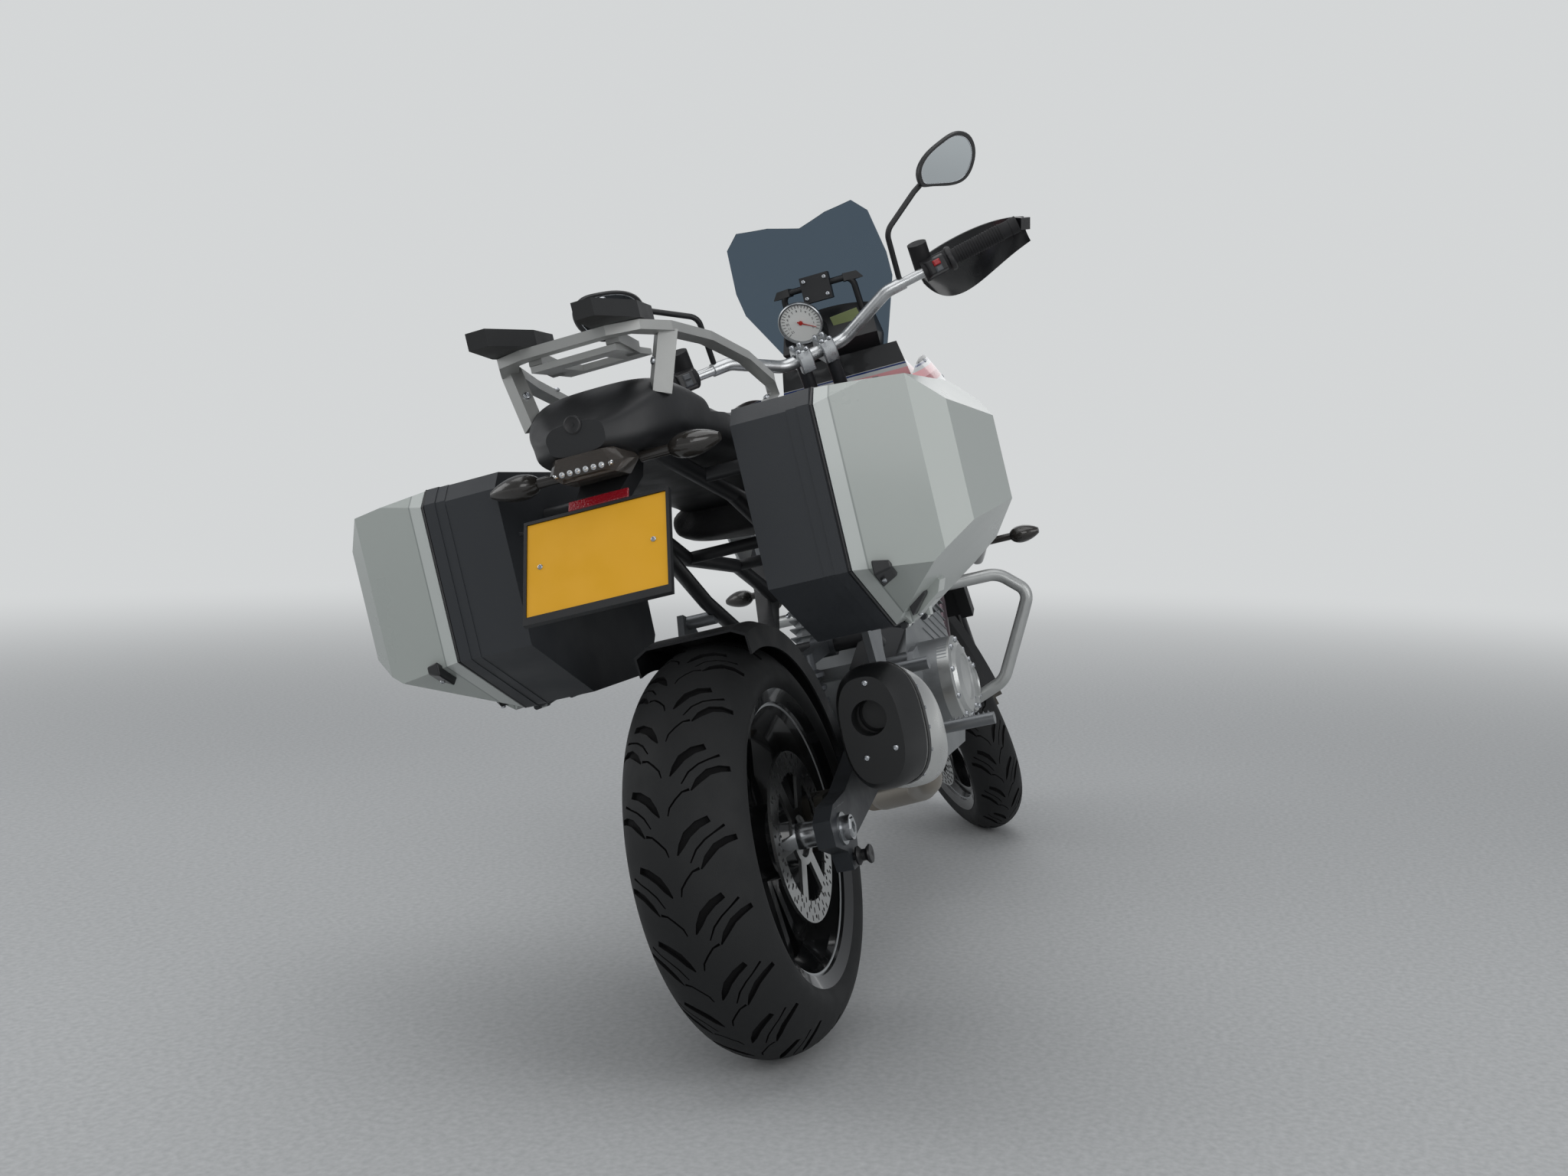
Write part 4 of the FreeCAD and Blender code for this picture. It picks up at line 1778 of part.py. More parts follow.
lower_run = (S.lid_outer - S.case_split, S.lid_crease_z - S.case_low)
feet = [lid_foot(x, S.case_split + S.hinge_radius * 2.4, S.case_low + S.hinge_radius * 1.9, *lower_run)
        for x in (S.case_knee_x + S.foot_wide * 0.3,)]
case_pins = []
lid_eyes = []
for x in hinge_places:
    case_pins.append(Part.makeCylinder(float(S.hinge_radius) * 0.6, float(hinge_drum_long), vec(x, hinge_y, hinge_z),
                                       Vector(1, 0, 0)))
    for end in (0, 1):
        start = x + (hinge_drum_long - S.foot_wide * 0.25) * end
        eye = Part.makeCylinder(float(S.hinge_radius), float(S.foot_wide) * 0.25, vec(start, hinge_y, hinge_z),
                                Vector(1, 0, 0))
        strap = block(start, start + S.foot_wide * 0.25, hinge_y - S.hinge_radius * 2, hinge_y - S.case_seam * 0.5,
                      hinge_z, S.case_low + S.case_wall * 0.5)
        case_pins += [eye, strap]
    eye_x = x + S.foot_wide * 0.25 + S.case_seam
    eye_long = S.foot_wide * 0.5 - 2 * S.case_seam
    eye = Part.makeCylinder(float(S.hinge_radius), float(eye_long), vec(eye_x, hinge_y, hinge_z), Vector(1, 0, 0))
    strap = block(eye_x, eye_x + eye_long, hinge_y + S.case_seam * 0.5, hinge_y + S.hinge_radius * 2, hinge_z,
                  S.case_low + S.hinge_radius * 2)
    hole = Part.makeCylinder(float(S.hinge_radius) * 0.6 + float(S.bearing_gap), 2 * float(S.foot_wide),
                             vec(x - S.foot_wide * 0.5, hinge_y, hinge_z), Vector(1, 0, 0))
    lid_eyes.append(eye.fuse(strap).cut(hole))
inner_case = fused([inner_half] + case_pins)
lid_whole = fused([lid] + lid_eyes + feet)
lid_whole = lid_whole.cut(fused([
    Part.makeCylinder(float(S.hinge_radius) + float(S.case_seam), float(S.foot_wide) * 0.25 + 2 * float(S.case_seam),
                      vec(x + (hinge_drum_long - S.foot_wide * 0.25) * end - S.case_seam, hinge_y, hinge_z),
                      Vector(1, 0, 0))
    for x in hinge_places for end in (0, 1)
]))
formed("left_case", inner_case)
formed("right_case", mirror_y(inner_case))
formed("left_lid", lid_whole)
formed("right_lid", mirror_y(lid_whole))

# Fairing: two bowed side skins, a hollow nose and a cockpit panel between the nose and the windscreen
sizes({
    "fairing_rear": 850,
    "fairing_front": WHEELBASE - 148,
    "fairing_low": 640,
    "fairing_high": 1100,
    "fairing_half": 272,
    "fairing_wall": 4,
    "boss_radius": 9,
    "nose_rear": WHEELBASE - 172,
    "nose_tip": WHEELBASE + 66,
    "nose_half": 236,
    "nose_low": 716,
    "nose_high": 1072,
    "panel_rear": WHEELBASE - 256,
    "panel_half": 150,
    "panel_top": 1152,
})
# Columns of a side skin, from the rear: share of length, low and high share, and the half width at five heights
SKIN_SHARES = (
    (0.00, 0.48, 0.62, (0.78, 0.79, 0.78, 0.75, 0.70)),
    (0.16, 0.30, 0.76, (0.84, 0.88, 0.87, 0.82, 0.74)),
    (0.38, 0.03, 0.92, (0.84, 0.95, 0.96, 0.90, 0.78)),
    (0.60, 0.00, 0.99, (0.86, 1.00, 1.00, 0.92, 0.76)),
    (0.82, 0.16, 0.99, (0.80, 0.95, 0.96, 0.87, 0.70)),
    (1.00, 0.32, 0.92, (0.66, 0.81, 0.83, 0.74, 0.58)),
)


def fairing_grid(shift):
    rows = []
    for along, low, high, widths in SKIN_SHARES:
        x = S.fairing_rear + (S.fairing_front - S.fairing_rear) * along
        z0 = S.fairing_low + (S.fairing_high - S.fairing_low) * low
        z1 = S.fairing_low + (S.fairing_high - S.fairing_low) * high
        rows.append([vec(x, S.fairing_half * wide + shift, z0 + (z1 - z0) * level / (len(widths) - 1))
                     for level, wide in enumerate(widths)])
    return rows


fairing_skin = skin(fairing_grid(0), S.fairing_wall, Vector(0, -1, 0))
# Two bosses carry each side skin on its frame beam
bosses = []
for place in (frame_line[2], frame_line[1] * 0.4 + frame_line[2] * 0.6):
    wall = fairing_skin.common(Part.makeLine(place, place + vec(0, S.fairing_half, 0))).BoundBox
    bosses.append(drum(place.x, place.y, place.z, S.boss_radius, wall.Center.y - place.y).cut(spar_room))
fairing_side = fused([fairing_skin, *bosses])
NOSE_SHARES = ((0.0, 0.90, 0.43, 1.0), (0.25, 0.86, 0.15, 0.99), (0.55, 0.68, 0.0, 0.92), (0.82, 0.42, 0.10, 0.78),
               (1.0, 0.14, 0.34, 0.58))


def nose_hull(inset, start):
    low_stations = stations(S.nose_rear, S.nose_tip - inset, 0, S.nose_half, S.nose_low, S.nose_high, NOSE_SHARES)
    drawn = [(x, y, half - inset, low + inset, high - inset) for x, y, half, low, high in low_stations]
    drawn[0] = (drawn[0][0] - start, *drawn[0][1:])
    return hull_through(drawn, 2.7)


nose = nose_hull(0, 0).cut(nose_hull(S.fairing_wall, S.cut_overrun))
fairing_room = skin(fairing_grid(S.seat_gap), S.fairing_wall + 2 * S.seat_gap, Vector(0, -1, 0))
sizes({
    "lamp_inner_y": 26,
    "lamp_outer_y": 128,
    "lamp_z": 960,
    "lamp_tall": 74,
    "lamp_deep": 26,
})
LAMP_SHARES = ((0.0, 0.34), (0.0, -0.30), (0.35, -0.5), (0.78, -0.10), (1.0, 0.42), (0.72, 0.50))


def lamp_prism(grow):
    spread = S.lamp_outer_y - S.lamp_inner_y + 2 * grow
    corners = [vec(S.nose_rear + S.cut_overrun, S.lamp_inner_y - grow + spread * across,
                   S.lamp_z + (S.lamp_tall + 2 * grow) * up) for across, up in LAMP_SHARES]
    return Part.Face(Part.makePolygon(corners + [corners[0]])).extrude(vec(S.nose_tip - S.nose_rear, 0, 0))


lamp_shell = nose_hull(0, 0).cut(nose_hull(S.lamp_deep, S.cut_overrun))
headlamps = fused(both(lamp_prism(0))).common(lamp_shell)
formed("headlamps", headlamps)
nose = nose.cut(fused(both(lamp_prism(S.seat_gap)) + both(fairing_room)))
formed("nose_fairing", nose)
skin_room = skin(fairing_grid(S.seat_gap), S.fairing_wall * 12, Vector(0, -1, 0))
front_signal = signal(S.front_signal_x, S.front_signal_in, S.front_signal_out, S.front_signal_z, 0.5).cut(skin_room)
formed("indicators", both(rear_signal) + both(front_signal))


def panel_box(inset):
    """The cockpit panel's outside, or its hollow when drawn in by a wall."""
    half = S.panel_half - inset
    front = S.fairing_front - inset
    low = S.nose_high + S.cap_rise * 0.18
    return corner_loft([
        [vec(S.panel_rear + inset, -half, low - inset), vec(front, -half, low - inset), vec(front, half, low - inset),
         vec(S.panel_rear + inset, half, low - inset)],
        [vec(S.panel_rear + inset, -half * 0.9, S.panel_top - inset), vec(front * 0.953, -half * 0.75,
         S.panel_top - inset), vec(front * 0.953, half * 0.75, S.panel_top - inset),
         vec(S.panel_rear + inset, half * 0.9, S.panel_top - inset)],
    ])


panel = panel_box(0).cut(panel_box(S.fairing_wall))
formed("fairing_panels", both(fairing_side) + [panel])

# Windscreen: a curved clear sheet, its bracket and the instruments behind it
sizes({
    "screen_low_x": WHEELBASE - 218,
    "screen_high_x": WHEELBASE - 353,
    "screen_high_z": 1455,
    "screen_bow": 0.0013,
    "screen_thick": 4,
    "screen_half": 175,
    "bracket_z": 1310,
    "bracket_half": 102,
    "bracket_radius": 7,
    "device_half": 33,
    "device_low": 1274,
    "device_high": 1332,
    "device_x": WHEELBASE - 320,
    "gauge_x": WHEELBASE - 280,
    "gauge_y": 50,
    "gauge_z": 1211,
    "gauge_radius": 50,
    "gauge_deep": 26,
    "gauge_tilt": 30,
    "housing_half": 110,
    "housing_low": 1152,
    "housing_high": 1268,
})
# Corners of the screen seen from behind: share of the half width, share of the height
SCREEN_SHARES = ((0.0, 0.0), (0.62, 0.0), (0.98, 0.44), (1.0, 0.60), (0.93, 0.90), (0.76, 1.0), (0.38, 0.985),
                 (0.0, 0.93))
SCREEN_FOOT_Z = S.panel_top + S.seat_gap
SCREEN_BACK = vec(S.screen_high_x - S.screen_low_x, 0, S.screen_high_z - SCREEN_FOOT_Z)
bow_tip = S.screen_bow * S.screen_half * S.screen_half


def bowed(start, thick):
    """A bowed sheet through the whole height of the screen, from its rear face forward."""
    bow = Part.BezierCurve()
    bow.setPoles([vec(S.screen_low_x + start + lift, side, SCREEN_FOOT_Z) for lift, side in (
        (-bow_tip, -S.screen_half), (bow_tip, 0), (-bow_tip, S.screen_half))])
    ends = [vec(bow.getPole(3).x + thick, S.screen_half, SCREEN_FOOT_Z),
            vec(bow.getPole(1).x + thick, -S.screen_half, SCREEN_FOOT_Z)]
    other = bow.toShape().translated(vec(thick, 0, 0))
    wire = Part.Wire(Part.__sortEdges__([bow.toShape(), Part.makeLine(bow.getPole(3), ends[0]), other,
                                         Part.makeLine(ends[1], bow.getPole(1))]))
    return Part.Face(wire).extrude(SCREEN_BACK)


right_edge = [vec(S.screen_high_x * 0.5, S.screen_half * wide, SCREEN_FOOT_Z + SCREEN_BACK.z * rise)
              for wide, rise in SCREEN_SHARES]
screen_edge = right_edge + [Vector(p.x, -p.y, p.z) for p in reversed(right_edge[1:-1])]
screen_prism = Part.Face(Part.makePolygon(screen_edge + [screen_edge[0]])).extrude(vec(S.screen_high_x, 0, 0))
formed("windscreen", bowed(0, S.screen_thick).common(screen_prism))
screen_room = bowed(-S.seat_gap, S.screen_thick * 24)
bracket_line = [
    vec(S.screen_low_x - S.bracket_radius * 4, -S.bracket_half * 0.8, S.panel_top),
    vec(S.device_x + S.bracket_radius * 2.2, -S.bracket_half * 0.8, S.bracket_z),
    vec(S.device_x + S.bracket_radius * 2.2, S.bracket_half * 0.8, S.bracket_z),
    vec(S.screen_low_x - S.bracket_radius * 4, S.bracket_half * 0.8, S.panel_top),
]
bracket_parts = [tube(bracket_line, S.bracket_radius, S.bracket_radius * 3)]
bracket_parts += both(beam([vec(S.device_x + S.bracket_radius * 2, S.bracket_half * 0.6, S.bracket_z),
                            vec(S.device_x + S.bracket_radius * 4, S.bracket_half, S.bracket_z)],
                           [S.bracket_radius * 2.4] * 2, [S.bracket_radius * 2.4] * 2))
bracket_parts.append(block(S.device_x, S.device_x + S.bracket_radius * 2.2, -S.device_half, S.device_half,
                           S.device_low, S.device_high))
formed("screen_bracket", fused(bracket_parts).cut(fused([screen_room, panel_box(-S.seat_gap)])))
gauge_turn = Rotation(Vector(0, 1, 0), -S.gauge_tilt.value)
gauge_out = gauge_turn.multVec(Vector(-1, 0, 0))
dial = Part.makeCylinder(float(S.gauge_radius), float(S.gauge_deep), vec(S.gauge_x, S.gauge_y, S.gauge_z), gauge_out)
housing = corner_loft([
    [vec(S.gauge_x + S.gauge_deep * 0.8, -S.housing_half * 0.9, S.panel_top + S.seat_gap),
     vec(S.gauge_x + S.gauge_deep * 2.4, -S.housing_half * 0.9, S.panel_top + S.seat_gap),
     vec(S.gauge_x + S.gauge_deep * 2.4, S.housing_half * 0.9, S.panel_top + S.seat_gap),
     vec(S.gauge_x + S.gauge_deep * 0.8, S.housing_half * 0.9, S.panel_top + S.seat_gap)],
    [vec(S.gauge_x - S.gauge_deep * 1.2, -S.housing_half, S.housing_low + S.gauge_deep),
     vec(S.gauge_x + S.gauge_deep * 1.2, -S.housing_half, S.housing_low + S.gauge_deep),
     vec(S.gauge_x + S.gauge_deep * 1.2, S.housing_half, S.housing_low + S.gauge_deep),
     vec(S.gauge_x - S.gauge_deep * 1.2, S.housing_half, S.housing_low + S.gauge_deep)],
    [vec(S.gauge_x + S.gauge_deep * 0.6, -S.housing_half * 0.9, S.housing_high),
     vec(S.gauge_x + S.gauge_deep * 1.4, -S.housing_half * 0.9, S.housing_high),
     vec(S.gauge_x + S.gauge_deep * 1.4, S.housing_half * 0.9, S.housing_high),
     vec(S.gauge_x + S.gauge_deep * 0.6, S.housing_half * 0.9, S.housing_high)],
])
bracket_room = tube(bracket_line, S.bracket_radius + S.seat_gap, S.bracket_radius * 3)
formed("instruments", fused([dial, housing]).cut(fused([screen_room, bracket_room, panel_box(-S.seat_gap)])))

# Footrests: rider pegs on plates from the frame, passenger pegs on silver hangers from the subframe
sizes({
    "peg_radius": 11,
    "rider_peg_x": 560,
    "rider_peg_z": 375,
    "rider_peg_out": 303,
    "hanger_in": 156,
    "hanger_thick": 12,
    "pillion_peg_x": 398,
    "pillion_peg_z": 508,
    "pillion_peg_out": 246,
    "spar_block_x": 656,
    "spar_block_z": 505,
})
rider_plate = side_plate([
    (S.spar_block_x - S.hanger_thick * 2, S.spar_block_z + S.hanger_thick),
    (S.spar_block_x + S.hanger_thick * 1.5, S.spar_block_z + S.hanger_thick * 1.5),
    (S.spar_block_x + S.hanger_thick * 1.5, S.spar_block_z - S.hanger_thick * 2),
    (S.rider_peg_x + S.hanger_thick * 1.5, S.rider_peg_z - S.hanger_thick),
    (S.rider_peg_x - S.hanger_thick * 2, S.rider_peg_z - S.hanger_thick),
    (S.rider_peg_x - S.hanger_thick * 2, S.rider_peg_z + S.hanger_thick * 3),
], S.hanger_in, S.hanger_in + S.hanger_thick)
rider_peg = drum(S.rider_peg_x, S.hanger_in + S.hanger_thick * 0.5, S.rider_peg_z, S.peg_radius,
                 S.rider_peg_out - S.hanger_in - S.hanger_thick * 0.5)
spacer = drum(S.spar_block_x, S.frame_plate_y, S.spar_block_z - S.hanger_thick * 0.3, S.hanger_thick,
              S.hanger_in + S.hanger_thick - S.frame_plate_y)
pillion_plate = side_plate([
    (S.brace_knee_x + S.hanger_thick * 8, S.brace_knee_z - S.hanger_thick * 7),
    (S.brace_knee_x + S.hanger_thick * 4, S.brace_knee_z - S.hanger_thick * 2),
    (S.brace_knee_x + S.hanger_thick * 1, S.brace_knee_z - S.hanger_thick * 1),
    (S.brace_knee_x - S.hanger_thick * 1, S.brace_knee_z - S.hanger_thick * 6),
    (S.pillion_peg_x - S.hanger_thick * 3, S.pillion_peg_z - S.hanger_thick * 2),
    (S.pillion_peg_x + S.hanger_thick * 2, S.pillion_peg_z - S.hanger_thick * 2),
    (S.pillion_peg_x + S.hanger_thick * 2, S.pillion_peg_z + S.hanger_thick * 3),
], S.hanger_in, S.hanger_in + S.hanger_thick)
pillion_peg = drum(S.pillion_peg_x, S.hanger_in + S.hanger_thick * 0.5, S.pillion_peg_z, S.peg_radius,
                   S.pillion_peg_out - S.hanger_in - S.hanger_thick * 0.5)
pillion_spacer = drum(S.brace_knee_x + S.hanger_thick * 2.5, S.rail_y, S.brace_knee_z - S.hanger_thick * 2.4,
                      S.hanger_thick, S.hanger_in + S.hanger_thick - S.rail_y)
rests = both(fused([rider_plate, rider_peg, spacer.cut(spar_room)]))
brace_gap = rail_room(brace_line, S.seat_gap)
rests += both(fused([pillion_plate, pillion_peg, pillion_spacer.cut(brace_gap)]))
can_room = hull_through(grown([can_station(*shares) for shares in CAN_SHARES], S.seat_gap), 2.6)
can_strap = block(S.silencer_front - S.silencer_half, S.pillion_peg_x, -S.hanger_in - S.hanger_thick, -S.hanger_in,
                  S.pillion_peg_z - S.hanger_thick * 3, S.pillion_peg_z)
formed("footrests", fused(rests + [can_strap]).cut(fused([can_room])))

# Engine guards: bent tubes from the frame beams out to the width of the fairing and back to the sump
sizes({
    "guard_tube": 13,
    "guard_bend": 52,
    "guard_x": 1040,
    "guard_deep": 68,
    "guard_in": 126,
    "guard_half": 324,
    "guard_low": 345,
    "guard_high": 610,
})
# Corners of a guard tube: share of its depth forward, of the way out and of its height
GUARD_SHARES = ((0.0, 0.0, 1.0), (0.88, 0.73, 0.99), (1.0, 1.0, 0.80), (0.97, 0.89, 0.64), (0.85, 0.54, 0.155),
                (0.76, 0.01, 0.0))
guard_bar = tube([vec(S.guard_x + S.guard_deep * forward, S.guard_in + (S.guard_half - S.guard_in) * out,
                      S.guard_low + (S.guard_high - S.guard_low) * high) for forward, out, high in GUARD_SHARES],
                 S.guard_tube, S.guard_bend)
side_room = side_plate(case_points, -S.engine_half - S.cover_thick - S.seat_gap,
                       S.engine_half + S.cover_thick + S.seat_gap)
formed("engine_guards", fused(both(guard_bar)).cut(fused([side_room] + engine_block(S.seat_gap))))

FRAMES = {
    "bike": Placement(),
    "rear_wheel": Placement(vec(0, 0, AXLE_Z), Rotation()),
    "fork": STEER.multiply(FORK),
    "front_wheel": STEER.multiply(FORK),
}

doc.recompute()
for item, frame, local in PIECES:
    item.Placement = STANCE.multiply(FRAMES[frame]).multiply(local)
doc.recompute()
corners = FreeCAD.BoundBox()
for item, frame, local in PIECES:
    corners.add(item.Shape.BoundBox)
WORLD_SHIFT = Placement(Vector(-corners.Center.x, -corners.Center.y, 0), Rotation())
for item, frame, local in PIECES:
    item.Placement = WORLD_SHIFT.multiply(item.Placement)
doc.recompute()

# Every feature and every piece is tested before anything is written
for feature in doc.Objects:
    for word in ("Invalid", "Error"):
        if word in feature.State:
            raise SystemExit(f"{feature.Label} failed: {feature.State}")
for item, frame, local in PIECES:
    if item.Shape.isNull() or not item.Shape.isValid() or not item.Shape.Solids:
        raise SystemExit(f"{item.Label} has no valid solid")

os.makedirs("parts", exist_ok=True)
for item, frame, local in PIECES:
    item.Shape.exportStep(f"parts/{item.Label}.step")
print(len(PIECES), "pieces, pitch", round(pitch, 3), "box", corners)
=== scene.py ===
import math

import bmesh
import bpy
from mathutils import Matrix, Vector
from mathutils.bvhtree import BVHTree
from mathutils.geometry import delaunay_2d_cdt, interpolate_bezier


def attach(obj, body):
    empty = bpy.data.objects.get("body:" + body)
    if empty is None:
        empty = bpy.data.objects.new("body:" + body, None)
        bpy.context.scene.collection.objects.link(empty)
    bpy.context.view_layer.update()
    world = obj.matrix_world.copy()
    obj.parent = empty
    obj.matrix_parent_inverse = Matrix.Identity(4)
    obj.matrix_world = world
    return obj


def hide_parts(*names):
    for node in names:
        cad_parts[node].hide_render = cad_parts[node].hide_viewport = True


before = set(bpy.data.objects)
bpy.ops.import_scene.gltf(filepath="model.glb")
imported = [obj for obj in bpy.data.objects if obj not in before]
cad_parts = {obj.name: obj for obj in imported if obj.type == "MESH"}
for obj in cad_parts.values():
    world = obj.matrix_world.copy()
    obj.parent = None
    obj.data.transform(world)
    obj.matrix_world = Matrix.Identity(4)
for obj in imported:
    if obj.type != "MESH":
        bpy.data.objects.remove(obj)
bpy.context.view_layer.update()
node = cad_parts
scene = bpy.context.scene
scene.view_settings.view_transform = "Standard"

# Camera: low, behind the motorcycle and to its right, as the photograph was taken.
# It looks a little down and is turned half a degree.
view_data = bpy.data.cameras.new("camera")
view_data.sensor_width = 36
view_data.lens = 40.075
camera = bpy.data.objects.new("camera", view_data)
camera.location = (-3.2306, -0.9193, 0.9514)
camera.rotation_euler = Vector((0.95525, 0.28103, -0.09228)).to_track_quat("-Z", "Y").to_euler()
camera.rotation_euler.rotate_axis("Z", math.radians(0.548))
scene.collection.objects.link(camera)
scene.camera = camera

# Studio: a pale room with soft light from above, from both sides, from behind the camera and from ahead.
# The floor keeps the motorcycle's shadow and fades into the backdrop far from it.
BACKDROP = (0.66, 0.675, 0.68, 1)
FADE_NEAR, FADE_FAR = 1.9, 7.5


def wire(tree, kind, feeds, **settings):
    """Adds one node with its settings and feeds its sockets with values or with other sockets."""
    made = tree.nodes.new(kind)
    for name, value in settings.items():
        setattr(made, name, value)
    for socket, value in feeds.items():
        if isinstance(value, bpy.types.NodeSocket):
            tree.links.new(value, made.inputs[socket])
        else:
            made.inputs[socket].default_value = value
    return made.outputs


room = bpy.data.worlds.new("studio")
room.use_nodes = True
room.node_tree.nodes.clear()
ray = wire(room.node_tree, "ShaderNodeLightPath", {})
looked_at = wire(room.node_tree, "ShaderNodeMath", {0: ray["Is Camera Ray"], 1: ray["Is Transmission Ray"]},
                 operation="MAXIMUM")[0]
room_light = wire(room.node_tree, "ShaderNodeBackground", {"Color": (0.93, 0.96, 1.0, 1), "Strength": 0.34})[0]
room_seen = wire(room.node_tree, "ShaderNodeBackground", {"Color": BACKDROP})[0]
room_both = wire(room.node_tree, "ShaderNodeMixShader", {0: looked_at, 1: room_light, 2: room_seen})[0]
wire(room.node_tree, "ShaderNodeOutputWorld", {0: room_both})
scene.world = room

floor_mesh = bpy.data.meshes.new("floor")
floor_mesh.from_pydata([(-60, -60, 0), (60, -60, 0), (60, 60, 0), (-60, 60, 0)], [], [(0, 1, 2, 3)])
floor = bpy.data.objects.new("floor", floor_mesh)
scene.collection.objects.link(floor)
carpet = bpy.data.materials.new("pale floor")
carpet.use_nodes = True
floor_tree = carpet.node_tree
floor_tree.nodes.clear()
floor_place = wire(floor_tree, "ShaderNodeTexCoord", {})["Object"]
floor_grain = wire(floor_tree, "ShaderNodeTexNoise", {"Vector": floor_place, "Scale": 90, "Detail": 8})["Fac"]
floor_tone = wire(floor_tree, "ShaderNodeMix",
                  {0: floor_grain, 6: (0.34, 0.35, 0.355, 1), 7: (0.56, 0.57, 0.575, 1)}, data_type="RGBA")[2]
floor_skin = wire(floor_tree, "ShaderNodeBsdfPrincipled", {"Base Color": floor_tone, "Roughness": 0.95})[0]
floor_glow = wire(floor_tree, "ShaderNodeEmission", {"Color": BACKDROP})[0]
floor_far = wire(floor_tree, "ShaderNodeVectorMath", {0: floor_place}, operation="LENGTH")["Value"]
floor_fade = wire(floor_tree, "ShaderNodeMapRange",
                  {"Value": floor_far, "From Min": FADE_NEAR, "From Max": FADE_FAR},
                  interpolation_type="SMOOTHSTEP")["Result"]
floor_both = wire(floor_tree, "ShaderNodeMixShader", {0: floor_fade, 1: floor_skin, 2: floor_glow})[0]
wire(floor_tree, "ShaderNodeOutputMaterial", {0: floor_both})
floor_mesh.materials.append(carpet)

LAMPS_LOOK_AT = Vector((0, 0, 0.7))
for name, spot, size, power in (
    ("lamp above", (-0.4, 0.3, 4.2), 4.0, 66),
    ("lamp right", (-1.6, -4.0, 2.2), 2.6, 44),
    ("lamp left", (-1.2, 4.0, 2.4), 2.6, 36),
    ("lamp behind camera", (-5.2, -1.4, 2.6), 2.6, 46),
    ("lamp ahead", (4.2, 0.6, 2.6), 3.0, 22),
):
    lamp_data = bpy.data.lights.new(name, "AREA")
    lamp_data.size = size
    lamp_data.energy = power
    lamp = bpy.data.objects.new(name, lamp_data)
    lamp.location = spot
    lamp.visible_camera = False
    lamp.visible_transmission = False
    lamp.rotation_euler = (LAMPS_LOOK_AT - Vector(spot)).to_track_quat("-Z", "Y").to_euler()
    scene.collection.objects.link(lamp)

# Frame and subframe: aluminium beams and steel tubes, welded and powder coated satin black.
# The coating is rubbed a little, and zinc-plated socket screws hold the beams to the engine.
# The motorcycle's frame: millimetres forward, left and up from under the rear axle, as it leans on its stand.
BIKE = (Matrix.Translation((-0.729325, -0.213195, 0.001864)) @ Matrix.Rotation(math.radians(0.38208), 4, "Y")
        @ Matrix.Rotation(math.radians(-14.56), 4, "X") @ Matrix.Scale(0.001, 4))
UNBIKE = BIKE.inverted()
PIVOT = Vector((0.538929, -0.001233, 0.809493))
STEERING = Vector((-0.424676, 0.226904, 0.876450))
# The fork's frame: millimetres forward, left and up the fork from the front axle, as the steering stands.
FORK = (Matrix.Translation(PIVOT) @ Matrix.Rotation(math.radians(30), 4, STEERING) @ Matrix.Translation(-PIVOT)
        @ BIKE @ Matrix.Translation((1548, 0, 300)) @ Matrix.Rotation(math.radians(-25.5), 4, "Y"))
UNFORK = FORK.inverted()
AHEAD, LEFTWARD, UPWARD = Vector((1, 0, 0)), Vector((0, 1, 0)), Vector((0, 0, 1))
BACKWARD, DOWNWARD = Vector((-1, 0, 0)), Vector((0, 0, -1))


def linear(text):
    """A colour written as sRGB hex, turned to linear."""
    shares = [int(text[at:at + 2], 16) / 255 for at in (0, 2, 4)]
    return [s / 12.92 if s <= 0.04045 else ((s + 0.055) / 1.055) ** 2.4 for s in shares] + [1.0]


